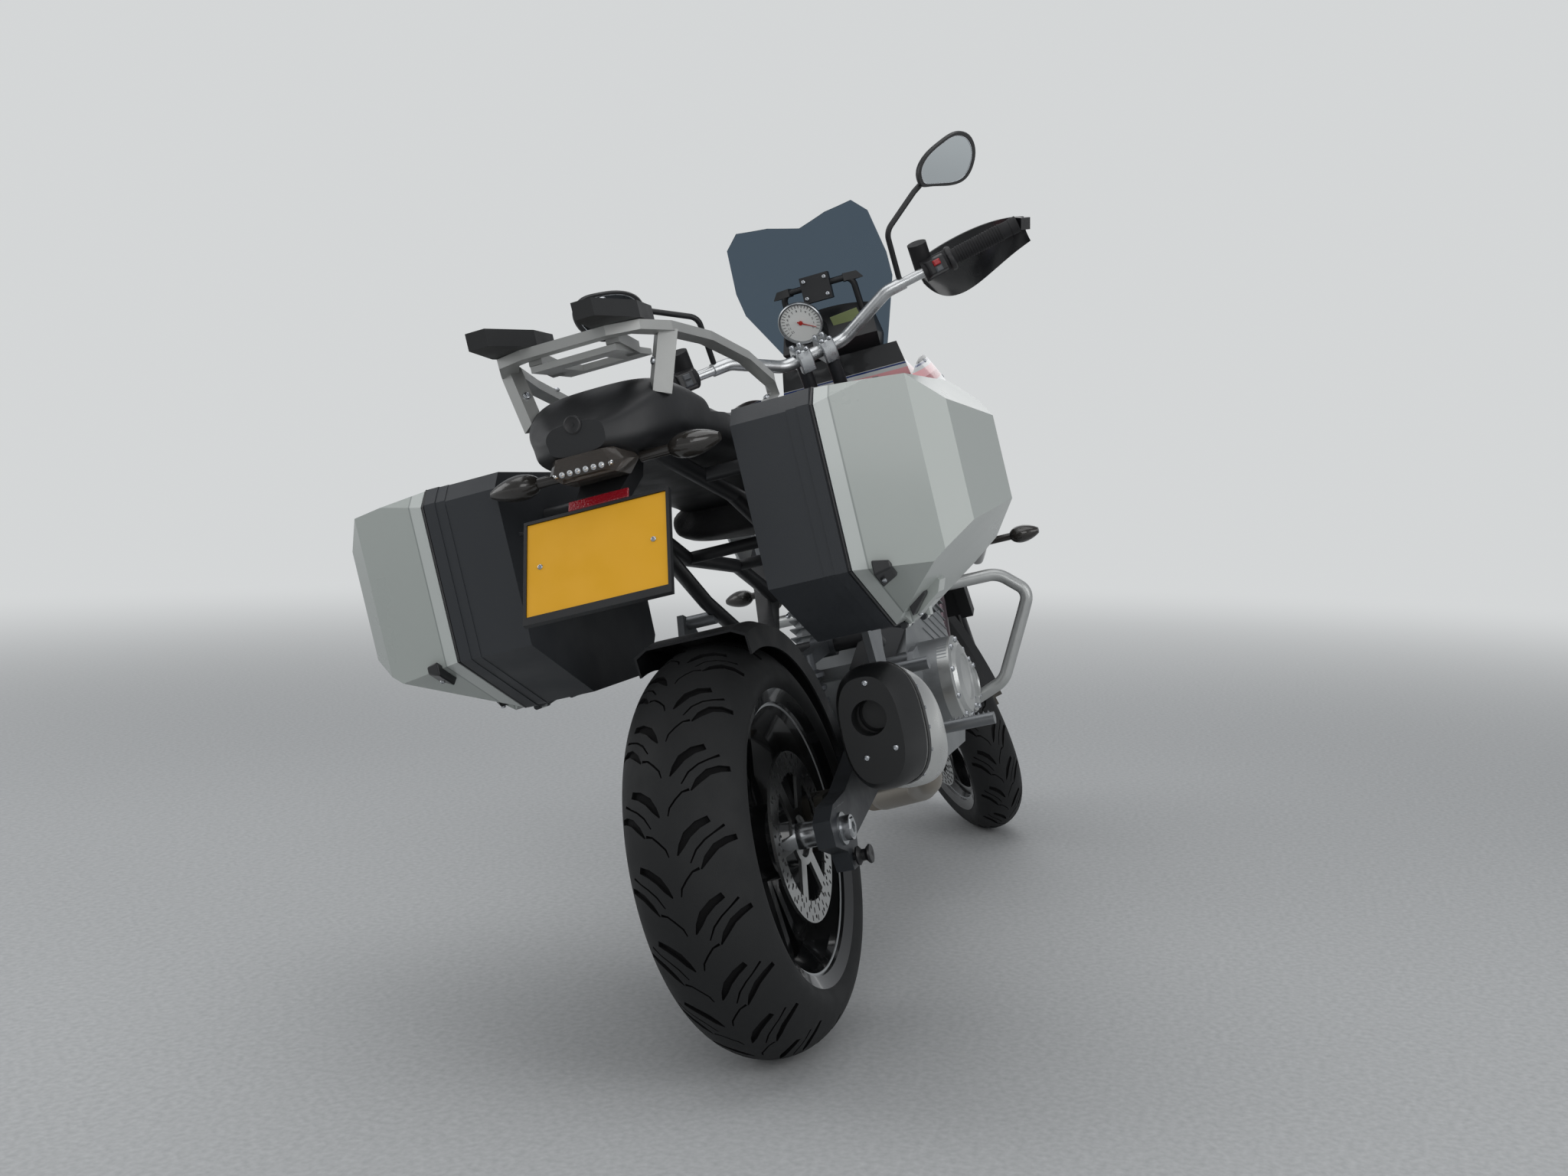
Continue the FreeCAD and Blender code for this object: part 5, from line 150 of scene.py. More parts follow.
class Coat:
    """A finish in the making, read in the upright motorcycle's own millimetres."""

    def __init__(self, name, colour, rough, metal=0.0, patch=60, stain=0.1, rub=0.12, grit=1.2, tooth=0.08,
                 **sockets):
        self.material = bpy.data.materials.new(name)
        self.material.use_nodes = True
        self.shader = self.material.node_tree.nodes["Principled BSDF"]
        self.shader.inputs["Metallic"].default_value = metal
        for socket, value in sockets.items():
            self.shader.inputs[socket.replace("_", " ")].default_value = value
        self.normal = None
        self.place = self.wire("Mapping", {
            "Vector": self.wire("TexCoord", {})["Object"], "Location": UNBIKE.translation,
            "Rotation": UNBIKE.to_euler(), "Scale": UNBIKE.to_scale()})["Vector"]
        self.x, self.y, self.z = self.wire("SeparateXYZ", {0: self.place})[:3]
        stains = self.wire("TexNoise", {"Vector": self.place, "Scale": 1 / patch, "Detail": 5.0})["Fac"]
        tone = linear(colour)[:3]
        self.base = self.wire("Mix", {
            0: stains, 6: [c * (1 - stain) for c in tone] + [1], 7: [c * (1 + stain) for c in tone] + [1]},
            data_type="RGBA")[2]
        self.worn = self.wire("MapRange", {
            "Value": stains, "From Min": 0.35, "From Max": 0.65, "To Min": max(0.02, rough - rub / 2),
            "To Max": rough + rub / 2})["Result"]
        self.feed("Base Color", self.base)
        self.feed("Roughness", self.worn)
        if tooth:
            grain = self.wire("TexNoise", {"Vector": self.place, "Scale": 1 / grit, "Detail": 2.0})["Fac"]
            self.emboss(grain, tooth)

    def wire(self, kind, feeds, **settings):
        """Adds one shader node to this finish."""
        return wire(self.material.node_tree, "ShaderNode" + kind, feeds, **settings)

    def feed(self, socket, source):
        """Feeds one of the finish's own sockets."""
        self.material.node_tree.links.new(source, self.shader.inputs[socket])

    def cover(self, mask, colour, rough=None):
        """Lays another colour over this finish where the mask is 1."""
        self.base = self.wire("Mix", {0: mask, 6: self.base, 7: linear(colour)}, data_type="RGBA")[2]
        self.feed("Base Color", self.base)
        if rough is not None:
            self.worn = self.wire("Mix", {0: mask, 2: self.worn, 3: rough})[0]
            self.feed("Roughness", self.worn)

    def emboss(self, height, deep):
        """Raises the surface by a height socket times a depth in millimetres."""
        feeds = {"Height": height, "Distance": deep * 0.001}
        if self.normal:
            feeds["Normal"] = self.normal
        self.normal = self.wire("Bump", feeds)["Normal"]
        self.feed("Normal", self.normal)

    def between(self, value, low=None, high=None, soft=1.0):
        """A soft mask, 1 where the value lies between low and high and 0 beyond them."""
        mask = 1.0
        if low is not None:
            mask = self.wire("MapRange", {"Value": value, "From Min": low, "From Max": low + soft},
                             interpolation_type="SMOOTHSTEP")["Result"]
        if high is not None:
            past = self.wire("MapRange", {"Value": value, "From Min": high, "From Max": high + soft},
                             interpolation_type="SMOOTHSTEP")["Result"]
            mask = self.wire("Math", {0: mask, 1: past}, operation="SUBTRACT")[0]
        return mask


def dress(names, coat):
    """Gives whole CAD nodes one material."""
    for name in names.split():
        if not node[name].data.materials:
            node[name].data.materials.append(coat.material)
        for slot in node[name].material_slots:
            slot.material = coat.material


def closed_mesh(name, form, place, crease):
    """A mesh from points and faces in millimetres, faces outwards and edges sharp above the crease."""
    mesh = bpy.data.meshes.new(name)
    mesh.from_pydata([tuple(place @ Vector(point)) for point in form[0]], [], form[1])
    shape = bmesh.new()
    shape.from_mesh(mesh)
    bmesh.ops.remove_doubles(shape, verts=shape.verts, dist=0.02 * place.to_scale()[0])
    bmesh.ops.recalc_face_normals(shape, faces=shape.faces)
    for face in shape.faces:
        face.smooth = True
    for edge in shape.edges:
        edge.smooth = len(edge.link_faces) == 2 and edge.calc_face_angle(0) < math.radians(crease)
    shape.to_mesh(mesh)
    shape.free()
    return mesh


def piece(name, form, coat, body="root", place=BIKE, crease=35):
    """A new piece that rides on a body and takes the given finish."""
    mesh = closed_mesh(name, form, place, crease)
    mesh.materials.append(coat.material)
    made = bpy.data.objects.new(name, mesh)
    scene.collection.objects.link(made)
    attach(made, body)
    return made


def settled(made):
    """Turns a piece's modifiers into its plain mesh."""
    mesh = bpy.data.meshes.new_from_object(made.evaluated_get(bpy.context.evaluated_depsgraph_get()))
    made.modifiers.clear()
    made.data = mesh


def eased(made, width, segments=2):
    """Rounds a piece's sharp edges by a width in millimetres."""
    bevel = made.modifiers.new("eased", "BEVEL")
    bevel.width = width * 0.001
    bevel.segments = segments
    bevel.limit_method = "ANGLE"
    bevel.angle_limit = math.radians(28)
    bevel.harden_normals = False
    settled(made)
    for face in made.data.polygons:
        face.use_smooth = True


def circle(count, phase=0.0):
    """Points of a circle of radius 1, from the given share of a step on."""
    turns = [math.tau * (step + phase) / count for step in range(count)]
    return [(math.cos(turn), math.sin(turn)) for turn in turns]


def quads(rows, steps, closed=False):
    """The faces of a sleeve of rings of points, which may close on itself."""
    faces = []
    for row in range(rows if closed else rows - 1):
        near, far = row * steps, (row + 1) % rows * steps
        faces += [(near + at, near + (at + 1) % steps, far + (at + 1) % steps, far + at) for at in range(steps)]
    return faces


def turned(profile, steps=32, middle=(0, 0, 0), along=(0, 0, 1), ring=False):
    """A turned form: pairs of radius and distance, spun about a line through the middle."""
    aim = Vector(along).to_track_quat("Z", "Y").to_matrix()
    points = [Vector(middle) + aim @ Vector((radius * x, radius * y, distance))
              for radius, distance in profile for x, y in circle(steps)]
    return points, quads(len(profile), steps, ring)


def prism(low, high):
    """A solid between two outlines of as many points."""
    count = len(low)
    return list(low) + list(high), [tuple(range(count)), tuple(range(count, 2 * count))] + quads(2, count)


def block(wide, deep, low, high):
    """A small block lying on its face, from half its width and depth and the heights of its ends."""
    corners = ((-wide, -deep), (wide, -deep), (wide, deep), (-wide, deep))
    return prism([(x, y, low) for x, y in corners], [(x, y, high) for x, y in corners])


def together(*forms):
    """Several forms as one."""
    points, faces = [], []
    for form in forms:
        start = len(points)
        points += list(form[0])
        faces += [tuple(start + at for at in face) for face in form[1]]
    return points, faces


SKINS = {}


def skin_of(mesh):
    """A mesh's skin, for lines to land on."""
    return BVHTree.FromPolygons([v.co for v in mesh.vertices], [p.vertices[:] for p in mesh.polygons])


def landed(names, start, aim, place=BIKE):
    """Where a line from a point, in millimetres, first meets the named nodes, and how they face there."""
    best = None
    way = (place.to_3x3() @ Vector(aim)).normalized()
    for name in names.split():
        if name not in SKINS:
            SKINS[name] = skin_of(node[name].data)
        hit, normal, _, distance = SKINS[name].ray_cast(place @ Vector(start), way)
        if hit and (best is None or distance < best[2]):
            best = (hit, normal, distance)
    if best is None:
        return None
    back = place.inverted()
    face = (back.to_3x3() @ best[1]).normalized()
    return back @ best[0], -face if face.dot(Vector(aim)) > 0 else face


def spots_on(names, starts, aim, place=BIKE):
    """The places where lines from several points, all with one aim, meet the named nodes."""
    return [spot for spot in (landed(names, start, aim, place) for start in starts) if spot]


# Geometry Nodes stand one shape on each of a mesh's points, turned as the points say, and make the result real.
PLANT = bpy.data.node_groups.new("planted", "GeometryNodeTree")
for label, kind in (
    ("Geometry", "Geometry"), ("Shape", "Object"), ("Finish", "Material"), ("Millimetre", "Float"),
):
    PLANT.interface.new_socket(label, in_out="INPUT", socket_type="NodeSocket" + kind)
PLANT.interface.new_socket("Geometry", in_out="OUTPUT", socket_type="NodeSocketGeometry")
given = wire(PLANT, "NodeGroupInput", {})
given_shape = wire(PLANT, "GeometryNodeObjectInfo", {"Object": given["Shape"]})["Geometry"]
given_turn = wire(PLANT, "GeometryNodeInputNamedAttribute", {"Name": "turn"}, data_type="FLOAT_VECTOR")[0]
stood = wire(PLANT, "GeometryNodeInstanceOnPoints", {
    "Points": given["Geometry"], "Instance": given_shape, "Rotation": given_turn, "Scale": given["Millimetre"]})[0]
real = wire(PLANT, "GeometryNodeRealizeInstances", {"Geometry": stood})[0]
finished = wire(PLANT, "GeometryNodeSetMaterial", {"Geometry": real, "Material": given["Finish"]})[0]
wire(PLANT, "NodeGroupOutput", {0: finished})
PLANT_INPUT = {item.name: item.identifier for item in PLANT.interface.items_tree if item.in_out == "INPUT"}


def planted(name, form, stands, coat, body="root", place=BIKE, crease=35):
    """One small shape on many places, each a point, the way its top faces and the way its side faces."""
    seed = bpy.data.objects.new(name + "_one", closed_mesh(name + "_one", form, Matrix.Identity(4), crease))
    scene.collection.objects.link(seed)
    spots = bpy.data.meshes.new(name)
    spots.from_pydata([tuple(place @ Vector(stand[0])) for stand in stands], [], [])
    turns = spots.attributes.new("turn", "FLOAT_VECTOR", "POINT")
    whole_turn = place.to_quaternion().to_matrix()
    for spot, stand in zip(turns.data, stands):
        top = Vector(stand[1]).normalized()
        side = Vector(stand[2]) if len(stand) > 2 else top.orthogonal()
        side = (side - top * top.dot(side)).normalized()
        spot.vector = (whole_turn @ Matrix((side, top.cross(side), top)).transposed()).to_euler()
    made = bpy.data.objects.new(name, spots)
    scene.collection.objects.link(made)
    modifier = made.modifiers.new("planted", "NODES")
    modifier.node_group = PLANT
    modifier[PLANT_INPUT["Shape"]] = seed
    modifier[PLANT_INPUT["Finish"]] = coat.material
    modifier[PLANT_INPUT["Millimetre"]] = 0.001
    settled(made)
    bpy.data.objects.remove(seed)
    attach(made, body)


def socket_screw(head, high):
    """A button-headed screw with a hexagonal socket, standing on its underside."""
    outer = turned([(0, -1), (head, -1), (head, high * 0.35), (head * 0.8, high * 0.85),
                    (head * 0.5, high)], 12)
    inner = turned([(head * 0.5, high), (head * 0.46, high * 0.3), (0, high * 0.3)], 12)
    return together(outer, inner)


# Powder coat: polyester baked on aluminium gives a satin black with a faint orange peel.
dress("main_frame subframe side_stand", Coat("powder-coated aluminium", "2a2b2d", 0.42, grit=1.5, tooth=0.06))
# Zinc plate: bright bluish metal, dulled by handling.
zinc = Coat("zinc-plated steel", "b9bcc0", 0.3, 1.0, patch=8, tooth=0.02)
frame_spots = []
for side in (1, -1):
    starts = [(x, side * 400, z) for x in range(560, 1260, 70) for z in (860, 900, 940, 960)]
    flat = [spot for spot in spots_on("main_frame", starts, (0, -side, 0)) if abs(spot[1].y) > 0.9]
    frame_spots += flat[::3]
planted("frame_screws", socket_screw(7, 4), frame_spots, zinc)

# Swingarm: two cast aluminium arms with a cross beam, bead blasted and coated dark grey.
# A plated axle nut, a sliding adjuster block with its scale and a bobbin stand out at its end.
dress("swingarm", Coat("bead-blasted cast aluminium", "33363a", 0.44, 0.35, patch=45, grit=1.0, tooth=0.16))
machined = Coat("machined aluminium", "a9acae", 0.3, 1.0, patch=12, tooth=0.02)
black_nylon = Coat("turned nylon", "141416", 0.4, tooth=0.03)
AXLE_HIGH = 320
BOBBIN = [(6, -6), (6, 3), (14, 4), (15, 7), (9, 12), (9, 18), (15, 24), (14, 27), (5, 28), (0, 26)]
nuts, bobbins, adjusters, scale_marks = [], [], [], []
for side in (1, -1):
    inwards, way = (0, -side, 0), (0, side, 0)
    starts = [(2, side * 300, AXLE_HIGH + 26), (26, side * 300, AXLE_HIGH)]
    level = abs(spots_on("swingarm", starts, inwards)[0][0].y)
    washer = [(0, level), (25, level), (25, level + 3), (18, level + 3.5)]
    nut = [(18, level + 3), (18, level + 15), (15, level + 18), (9, level + 18), (8, level + 12),
           (0, level + 12)]
    nuts += [turned(washer, 32, (0, 0, AXLE_HIGH), way), turned(nut, 6, (0, 0, AXLE_HIGH), way)]
    bobbins.append(turned([(radius, level + out) for radius, out in BOBBIN], 28, (30, 0, 270), way))
    for x, aim in ((-34, BACKWARD), (52, AHEAD)):
        bolt = [(0, -6), (5.5, -6), (5.5, 10), (4, 12), (0, 12)]
        adjusters.append(turned(bolt, 6, (x, side * (level - 14), AXLE_HIGH), aim))
    starts = [(10 + step * 6, side * 300, AXLE_HIGH + 34) for step in range(-4, 5)]
    scale_marks += [(spot, face, UPWARD) for spot, face in spots_on("swingarm", starts, inwards)]
piece("axle_nuts", together(*nuts), machined)
piece("stand_bobbins", together(*bobbins), black_nylon)
piece("adjuster_bolts", together(*adjusters), zinc)
scale_line = turned([(0, 0.3), (0.7, 0.3), (0.7, -0.3), (0, -0.3)], 6)
planted("adjuster_scale", scale_line, scale_marks, machined)

# Engine: die-cast aluminium cases with bolted covers, bead blasted silver grey, with cooling ribs on the block.
# The covers are brighter, as their skins are vapour blasted before a clear coat.
case_coat = Coat("die-cast aluminium", "8c8f91", 0.42, 0.75, patch=50, stain=0.12, grit=1.1, tooth=0.16)
dress("engine", case_coat)
cover_coat = Coat("vapour-blasted aluminium", "b9bbba", 0.34, 0.8, patch=30, grit=0.8, tooth=0.08)
covers, cover_bolts = [], []
for x, z, radius, side, level, deep in (
    (811, 435, 84, -1, 203, 12), (1023, 401, 58, -1, 177, 9), (1023, 401, 60, 1, 203, 12),
):
    profile = [(0, level - 20), (radius, level - 20), (radius, level + 3), (radius - 4, level + 5),
               (radius - 13, level + 5), (radius - 19, level + deep), (radius * 0.55, level + deep + 4),
               (radius * 0.5, level + deep + 1), (radius * 0.25, level + deep + 2), (0, level + deep + 3)]
    covers.append(turned(profile, 64, (x, 0, z), (0, side, 0)))
    out = radius - 8
    cover_bolts += [((x + out * a, side * (level + 5), z + out * b), (0, side, 0)) for a, b in circle(9)]
piece("engine_covers", together(*covers), cover_coat)
planted("cover_bolts", socket_screw(5.5, 5), cover_bolts, zinc)
# Cooling ribs of the block, cast level round it.
block_lean = Matrix.Translation((985, 0, 520)) @ Matrix.Rotation(math.radians(22), 4, "Y")
ribs = []
for step in range(7):
    at = -18 + step * 19
    points, faces = block(101, 140, at - 1.6, at + 1.6)
    ribs.append(([block_lean @ Vector(point) for point in points], faces))
eased(piece("cylinder_ribs", together(*ribs), case_coat), 1.2)

# Radiator: brazed aluminium tubes and fins, painted black, between plastic side tanks.
# The fins are thin upright slats, drawn 6 mm apart because their real 2 mm is too fine to show.
radiator_black = Coat("painted radiator aluminium", "1a1b1c", 0.5, 0.3, tooth=0.1)
dress("radiator", radiator_black)
fin_starts = [(1450, y, z) for y in range(-128, 129, 6) for z in range(545, 735, 9)]
fin_spots = [(spot, face, LEFTWARD) for spot, face in spots_on("radiator", fin_starts, BACKWARD)]
planted("radiator_fins", block(0.5, 4, -1, 2), fin_spots, radiator_black)

# Exhaust: welded stainless header pipes, straw and blue from heat near the engine.
# The silencer is a brushed stainless sleeve riveted to a black end cap with a dark outlet.
header = Coat("heat-tinted stainless steel", "9c958b", 0.32, 1.0, patch=120, stain=0.06, rub=0.08, tooth=0.03)
header.cover(header.between(header.x, 900, soft=250), "7b5f44")
blued = header.between(header.x, 1060, soft=60)
header.cover(header.wire("Math", {0: blued, 1: 0.6}, operation="MULTIPLY")[0], "4a4f66")
dress("exhaust_pipes", header)
sleeve = Coat("brushed stainless steel", "c9cac8", 0.3, 0.9, patch=40, stain=0.05, tooth=0.0)
brush_lines = sleeve.wire("Mapping", {"Vector": sleeve.place, "Scale": (0.01, 0.5, 0.5)})["Vector"]
sleeve.emboss(sleeve.wire("TexNoise", {"Vector": brush_lines, "Scale": 1.4, "Detail": 4.0})["Fac"], 0.05)
dress("silencer", sleeve)
cap_coat = Coat("satin ceramic paint", "161718", 0.4, tooth=0.05)
dress("silencer_end_cap", cap_coat)


def strap(names, hearts, aside, up, out_to, lift, steps):
    """A band sunk 1 mm into a form's skin, found round each of two hearts in the plane of two directions."""
    ways = [aside * x + up * y for x, y in circle(steps)]
    rows = []
    for heart in hearts:
        found = [landed(names, heart + way * out_to, -way) for way in ways]
        reach = [(spot[0] - heart).dot(way) if spot else 0 for spot, way in zip(found, ways)]
        rows += [[heart + way * (far + rise) for far, way in zip(reach, ways)] for rise in (-1, lift)]
    return rows[0] + rows[1] + rows[3] + rows[2], quads(4, steps, closed=True)


def can_strap(x0, x1, lift):
    """A strap round the silencer, which rises and narrows from its front end at x 338."""
    hearts = []
    for x in (x0, x1):
        along = (338 - x) / 292
        hearts.append(Vector((x, -205 - 36.6 * min(along * 1.4, 1), 385 + 72 * along)))
    return strap("silencer silencer_end_cap", hearts, LEFTWARD, UPWARD, 200, lift, 48)


piece("silencer_straps", together(can_strap(50, 60, 2.0), can_strap(300, 316, 2.5)), cap_coat)
rivet_spots = []
for y, z in circle(14, 0.5):
    out = Vector((0, y, z))
    rivet_spots += spots_on("silencer", [Vector((68, -235, 452)) + out * 300], -out)
rivet = turned([(0, -0.5), (3.2, -0.5), (3.0, 0.8), (1.6, 1.6), (0, 1.8)], 12)
planted("silencer_rivets", rivet, rivet_spots, zinc)
outlet_x = landed("silencer_end_cap", (-200, -235, 480), AHEAD)[0].x
outlet_rows = [(radius, out - outlet_x) for radius, out in ((29, -4), (29, 2), (26, 3), (24, 1), (24, -4))]
outlet_ring = turned(outlet_rows, 48, (0, -238, 478), BACKWARD, ring=True)
piece("outlet_ring", outlet_ring, cap_coat)
cap_screws = spots_on("silencer_end_cap", [(-200, -238, 528), (-200, -215, 418), (-200, -262, 425)], AHEAD)
planted("cap_screws", socket_screw(5, 3), cap_screws, zinc)

# Rear shock, callipers, axles and drive: plated, anodised and oiled metal.
# The spring is powder coated, the callipers are hard anodised, and the chain is a nickel-plated steel.
dress("rear_shock", Coat("powder-coated spring steel", "55585c", 0.36, 0.5, tooth=0.04))
dress("rear_calliper front_callipers", Coat("hard-anodised aluminium", "3a3833", 0.4, 0.5, tooth=0.06))
dress("rear_axle front_axle", Coat("ground axle steel", "b5b7ba", 0.24, 1.0, tooth=0.01))
dress("drive_chain rear_sprocket", Coat("oiled nickel-plated steel", "8d877b", 0.34, 1.0, patch=9, stain=0.3,
                                        tooth=0.05))

# Wheels: five-spoke cast aluminium rims, gloss black under lacquer, with a pale pinstripe at the flange.
# Ground steel brake discs turn with them, pierced by slots that wipe the pads.
dress("rear_rim front_rim", Coat("lacquered aluminium", "121314", 0.16, tooth=0.02, rub=0.08, Coat_Weight=0.7,
                                 Coat_Roughness=0.05))
# Disc steel: stainless, ground in circles, with a satin grey sheen that the pads keep bright.
disc_steel = Coat("ground stainless steel", "b4b5b4", 0.26, 1.0, patch=90, stain=0.03, rub=0.05, tooth=0.0)
dress("rear_brake_disc front_brake_discs", disc_steel)
# The disc slots are thin dark plugs on the disc's faces: painted shade standing in for the open slots.
slot_shade = Coat("shadowed bore", "060607", 0.7, tooth=0.0)
stripe_coat = Coat("pinstripe vinyl", "9ea1a3", 0.35, patch=10, tooth=0.0)
AXLE = (0, 0, AXLE_HIGH)
HUB = (0, 0, 0)
SLOT_SPREAD, SLOT_ROUND = 2.4, 2.1
disc_slot = prism(*([(math.copysign(SLOT_SPREAD, x) + SLOT_ROUND * x, SLOT_ROUND * y, level)
                     for x, y in circle(12)] for level in (-0.25, 0.25)))
for label, place, middle, rim_half, disc_rows, disc_faces in (
    ("rear", BIKE, AXLE, 74, ((124, 30), (112, 30), (100, 30)), ((-85, -1), (-80, 1))),
    ("front", FORK, HUB, 43.5, ((152, 36), (141, 36), (130, 36)), ((-66, -1), (66, 1))),
):
    pierced = []
    for row, (radius, count) in enumerate(disc_rows):
        for y, face in disc_faces:
            for a, b in circle(count, row * 0.5):
                way = Vector((a, 0, b))
                spot = Vector((middle[0], y + face * 0.15, middle[2])) + way * radius
                pierced.append((spot, (0, face, 0), way))
    # The slots' dark plugs are painted shade.
    planted(label + "_disc_slots", disc_slot, pierced, slot_shade, label + "_wheel", place)
    # Pinstripe: a pale vinyl line round the rim flange, on both sides.
    lines = []
    for side in (1, -1):
        start = (middle[0], side * (rim_half + 60), middle[2] + 207)
        away = abs(landed(label + "_rim", start, (0, -side, 0), place)[0].y) + 0.35
        ring = [(204, side * away), (210, side * away), (210, side * (away - 1.5)), (204, side * (away - 1.5))]
        lines.append(turned(ring, 96, middle, LEFTWARD, ring=True))
    piece(label + "_rim_stripe", together(*lines), stripe_coat, label + "_wheel", place)

# Tyres: black road rubber on a bead seat, matt where it has run and smoother on the moulded side wall.
# Long swept grooves and fine sipes are cut in the tread, mirrored and set half a step apart from side to side.
rubber = Coat("vulcanised rubber", "1e1f20", 0.7, patch=40, stain=0.2, grit=1.6, tooth=0.15,
              Specular_IOR_Level=0.35)
# Groove floor rubber: darker for road dirt and for painted shade in the grooves.
groove_dirt_and_shade = Coat("groove rubber with dirt and painted shade", "0b0b0c", 0.85, grit=1.6, tooth=0.1, Specular_IOR_Level=0.2)
# One step of the tread, in millimetres: along the crown, across from its middle, and the groove's width there.
GROOVES = (
    ((0, 9, 2), (12, 16, 9), (26, 25, 12), (38, 40, 12), (45, 56, 10)),
    ((-24, 36, 2), (-10, 46, 9), (4, 60, 11), (11, 76, 11), (14, 92, 9)),
    ((-56, 3, 1.6), (-45, 6, 2.6), (-34, 15, 2.8), (-25, 24, 2.8), (-22, 34, 4.2)),
    ((-13, 24, 1.8), (4, 34, 2.8), (16, 47, 2.8), (24, 60, 2.8), (34, 76, 4.2)),
)
TREAD_STEPS = 18
BEAD_RADIUS = 216
CROWN_TURN = math.radians(72)


def groove_outline(line, shift, side, share):
    """The outline of a groove from its middle line and widths, wound to the left."""
    left, right = [], []
    for at, (x, y, wide) in enumerate(line):
        before = line[max(0, at - 1)]
        after = line[min(len(line) - 1, at + 1)]
        run = Vector((after[0] - before[0], after[1] - before[1])).normalized()
        across = Vector((-run.y, run.x)) * wide / 2
        left.append(Vector((x, y)) + across)
        right.append(Vector((x, y)) - across)
    outline = [Vector((p.x + shift, p.y * side * share)) for p in left + right[::-1]]
    turning = sum(a.x * b.y - b.x * a.y for a, b in zip(outline, outline[1:] + outline[:1]))
    return outline if turning > 0 else outline[::-1]


def treaded(label, place, middle, radius, crown, bead_half, depth):
    """A tyre whose tread is cut: one step is drawn flat, wound round the casing, and its grooves are sunk."""
    pitch = math.tau * radius / TREAD_STEPS
    shoulder = crown * CROWN_TURN
    crown_end = (radius - crown + crown * math.cos(CROWN_TURN), crown * math.sin(CROWN_TURN))
    wall = math.dist((BEAD_RADIUS, bead_half), crown_end)
    reach = shoulder + wall
    share = crown / 100

    def casing(x, y):
        turn = x / radius
        if abs(y) <= shoulder:
            lean = abs(y) / crown
            out, wide = radius - crown + crown * math.cos(lean), crown * math.sin(lean)
        else:
            along = (abs(y) - shoulder) / wall
            out = crown_end[0] + (BEAD_RADIUS - crown_end[0]) * along
            wide = crown_end[1] + (bead_half - crown_end[1]) * along + math.sin(math.pi * along) * 5 * share
        return Vector((middle[0] + out * math.sin(turn), wide if y >= 0 else -wide,
                       middle[2] + out * math.cos(turn)))

    rows = [reach * at / 18 for at in range(-18, 19)]
    columns = [pitch * at / 6 for at in range(7)]
    border = [(x, -reach) for x in columns] + [(pitch, y) for y in rows[1:]]
    border += [(x, reach) for x in columns[-2::-1]] + [(0, y) for y in rows[-2:0:-1]]
    points = [Vector(p) for p in border] + [Vector((x, y)) for x in columns[1:-1] for y in rows[1:-1]]
    polygons = [list(range(len(border)))]
    for line in GROOVES:
        for side, half_step in ((1, 0.0), (-1, 0.5)):
            for turn in (-2, -1, 0, 1, 2):
                outline = groove_outline(line, pitch * (half_step + turn + 0.5), side, share * 1.06)
                if any(-1 < p.x < pitch + 1 for p in outline):
                    polygons.append(list(range(len(points), len(points) + len(outline))))
                    points += outline
    flat, _, triangles, _, _, origins = delaunay_2d_cdt(points, [], polygons, 1, 1e-4)
    shape = bmesh.new()
    for step in range(TREAD_STEPS):
        corners = [shape.verts.new(casing(p.x + step * pitch, p.y)) for p in flat]
        for triangle, origin in zip(triangles, origins):
            if 0 in origin:
                face = shape.faces.new([corners[at] for at in triangle])
                face.material_index = 1 if len(origin) > 1 else 0
    bmesh.ops.delete(shape, geom=[v for v in shape.verts if not v.link_faces], context="VERTS")
    bmesh.ops.remove_doubles(shape, verts=shape.verts, dist=0.05)
    floors = [face for face in shape.faces if face.material_index == 1]
    grown = bmesh.ops.extrude_face_region(shape, geom=floors, use_keep_orig=False)
    bmesh.ops.delete(shape, geom=floors, context="FACES_ONLY")
    for vert in [v for v in grown["geom"] if isinstance(v, bmesh.types.BMVert)]:
        outward = Vector((vert.co.x - middle[0], 0, vert.co.z - middle[2])).normalized()
        core = Vector((middle[0], 0, middle[2])) + outward * (radius - crown)
        vert.co += (core - vert.co).normalized() * depth
    shape.verts.index_update()
    form = ([v.co.copy() for v in shape.verts], [[v.index for v in f.verts] for f in shape.faces])
    shape.free()
    bead = [(BEAD_RADIUS, bead_half), (BEAD_RADIUS + 8, bead_half * 0.8), (BEAD_RADIUS + 8, -bead_half * 0.8),
            (BEAD_RADIUS, -bead_half)]
    lining = turned(bead, TREAD_STEPS * 6, middle, LEFTWARD)
    made = piece(label + "_tread_tyre", together(form, lining), rubber, label + "_wheel", place,
                 crease=38)
    # The floors of the grooves are painted darker than the run surface: partly road dirt, partly painted shade.
    made.data.materials.append(groove_dirt_and_shade.material)
    axle = place @ Vector(middle)
    spin = (place.to_3x3() @ LEFTWARD).normalized()
    for face in made.data.polygons:
        away = face.center - axle
        side = away.dot(spin)
        out = (away - spin * side).length * 1000
        lift = math.hypot(out - radius + crown, side * 1000)
        if out > crown_end[0] and lift < crown - depth * 0.3:
            face.material_index = 1
    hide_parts(label + "_tyre")


treaded("rear", BIKE, AXLE, 318.5, 100, 74, 5.5)
treaded("front", FORK, HUB, 299, 62, 43.5, 3.5)

# Mudguards: injection-moulded polypropylene, matt black, with a finely eroded grain.
# The rear one rides on the swingarm, and the front one turns with the fork.
guard_plastic = Coat("moulded polypropylene", "1f2022", 0.52, grit=1.4, tooth=0.1, Specular_IOR_Level=0.4)
dress("rear_hugger front_fender", guard_plastic)

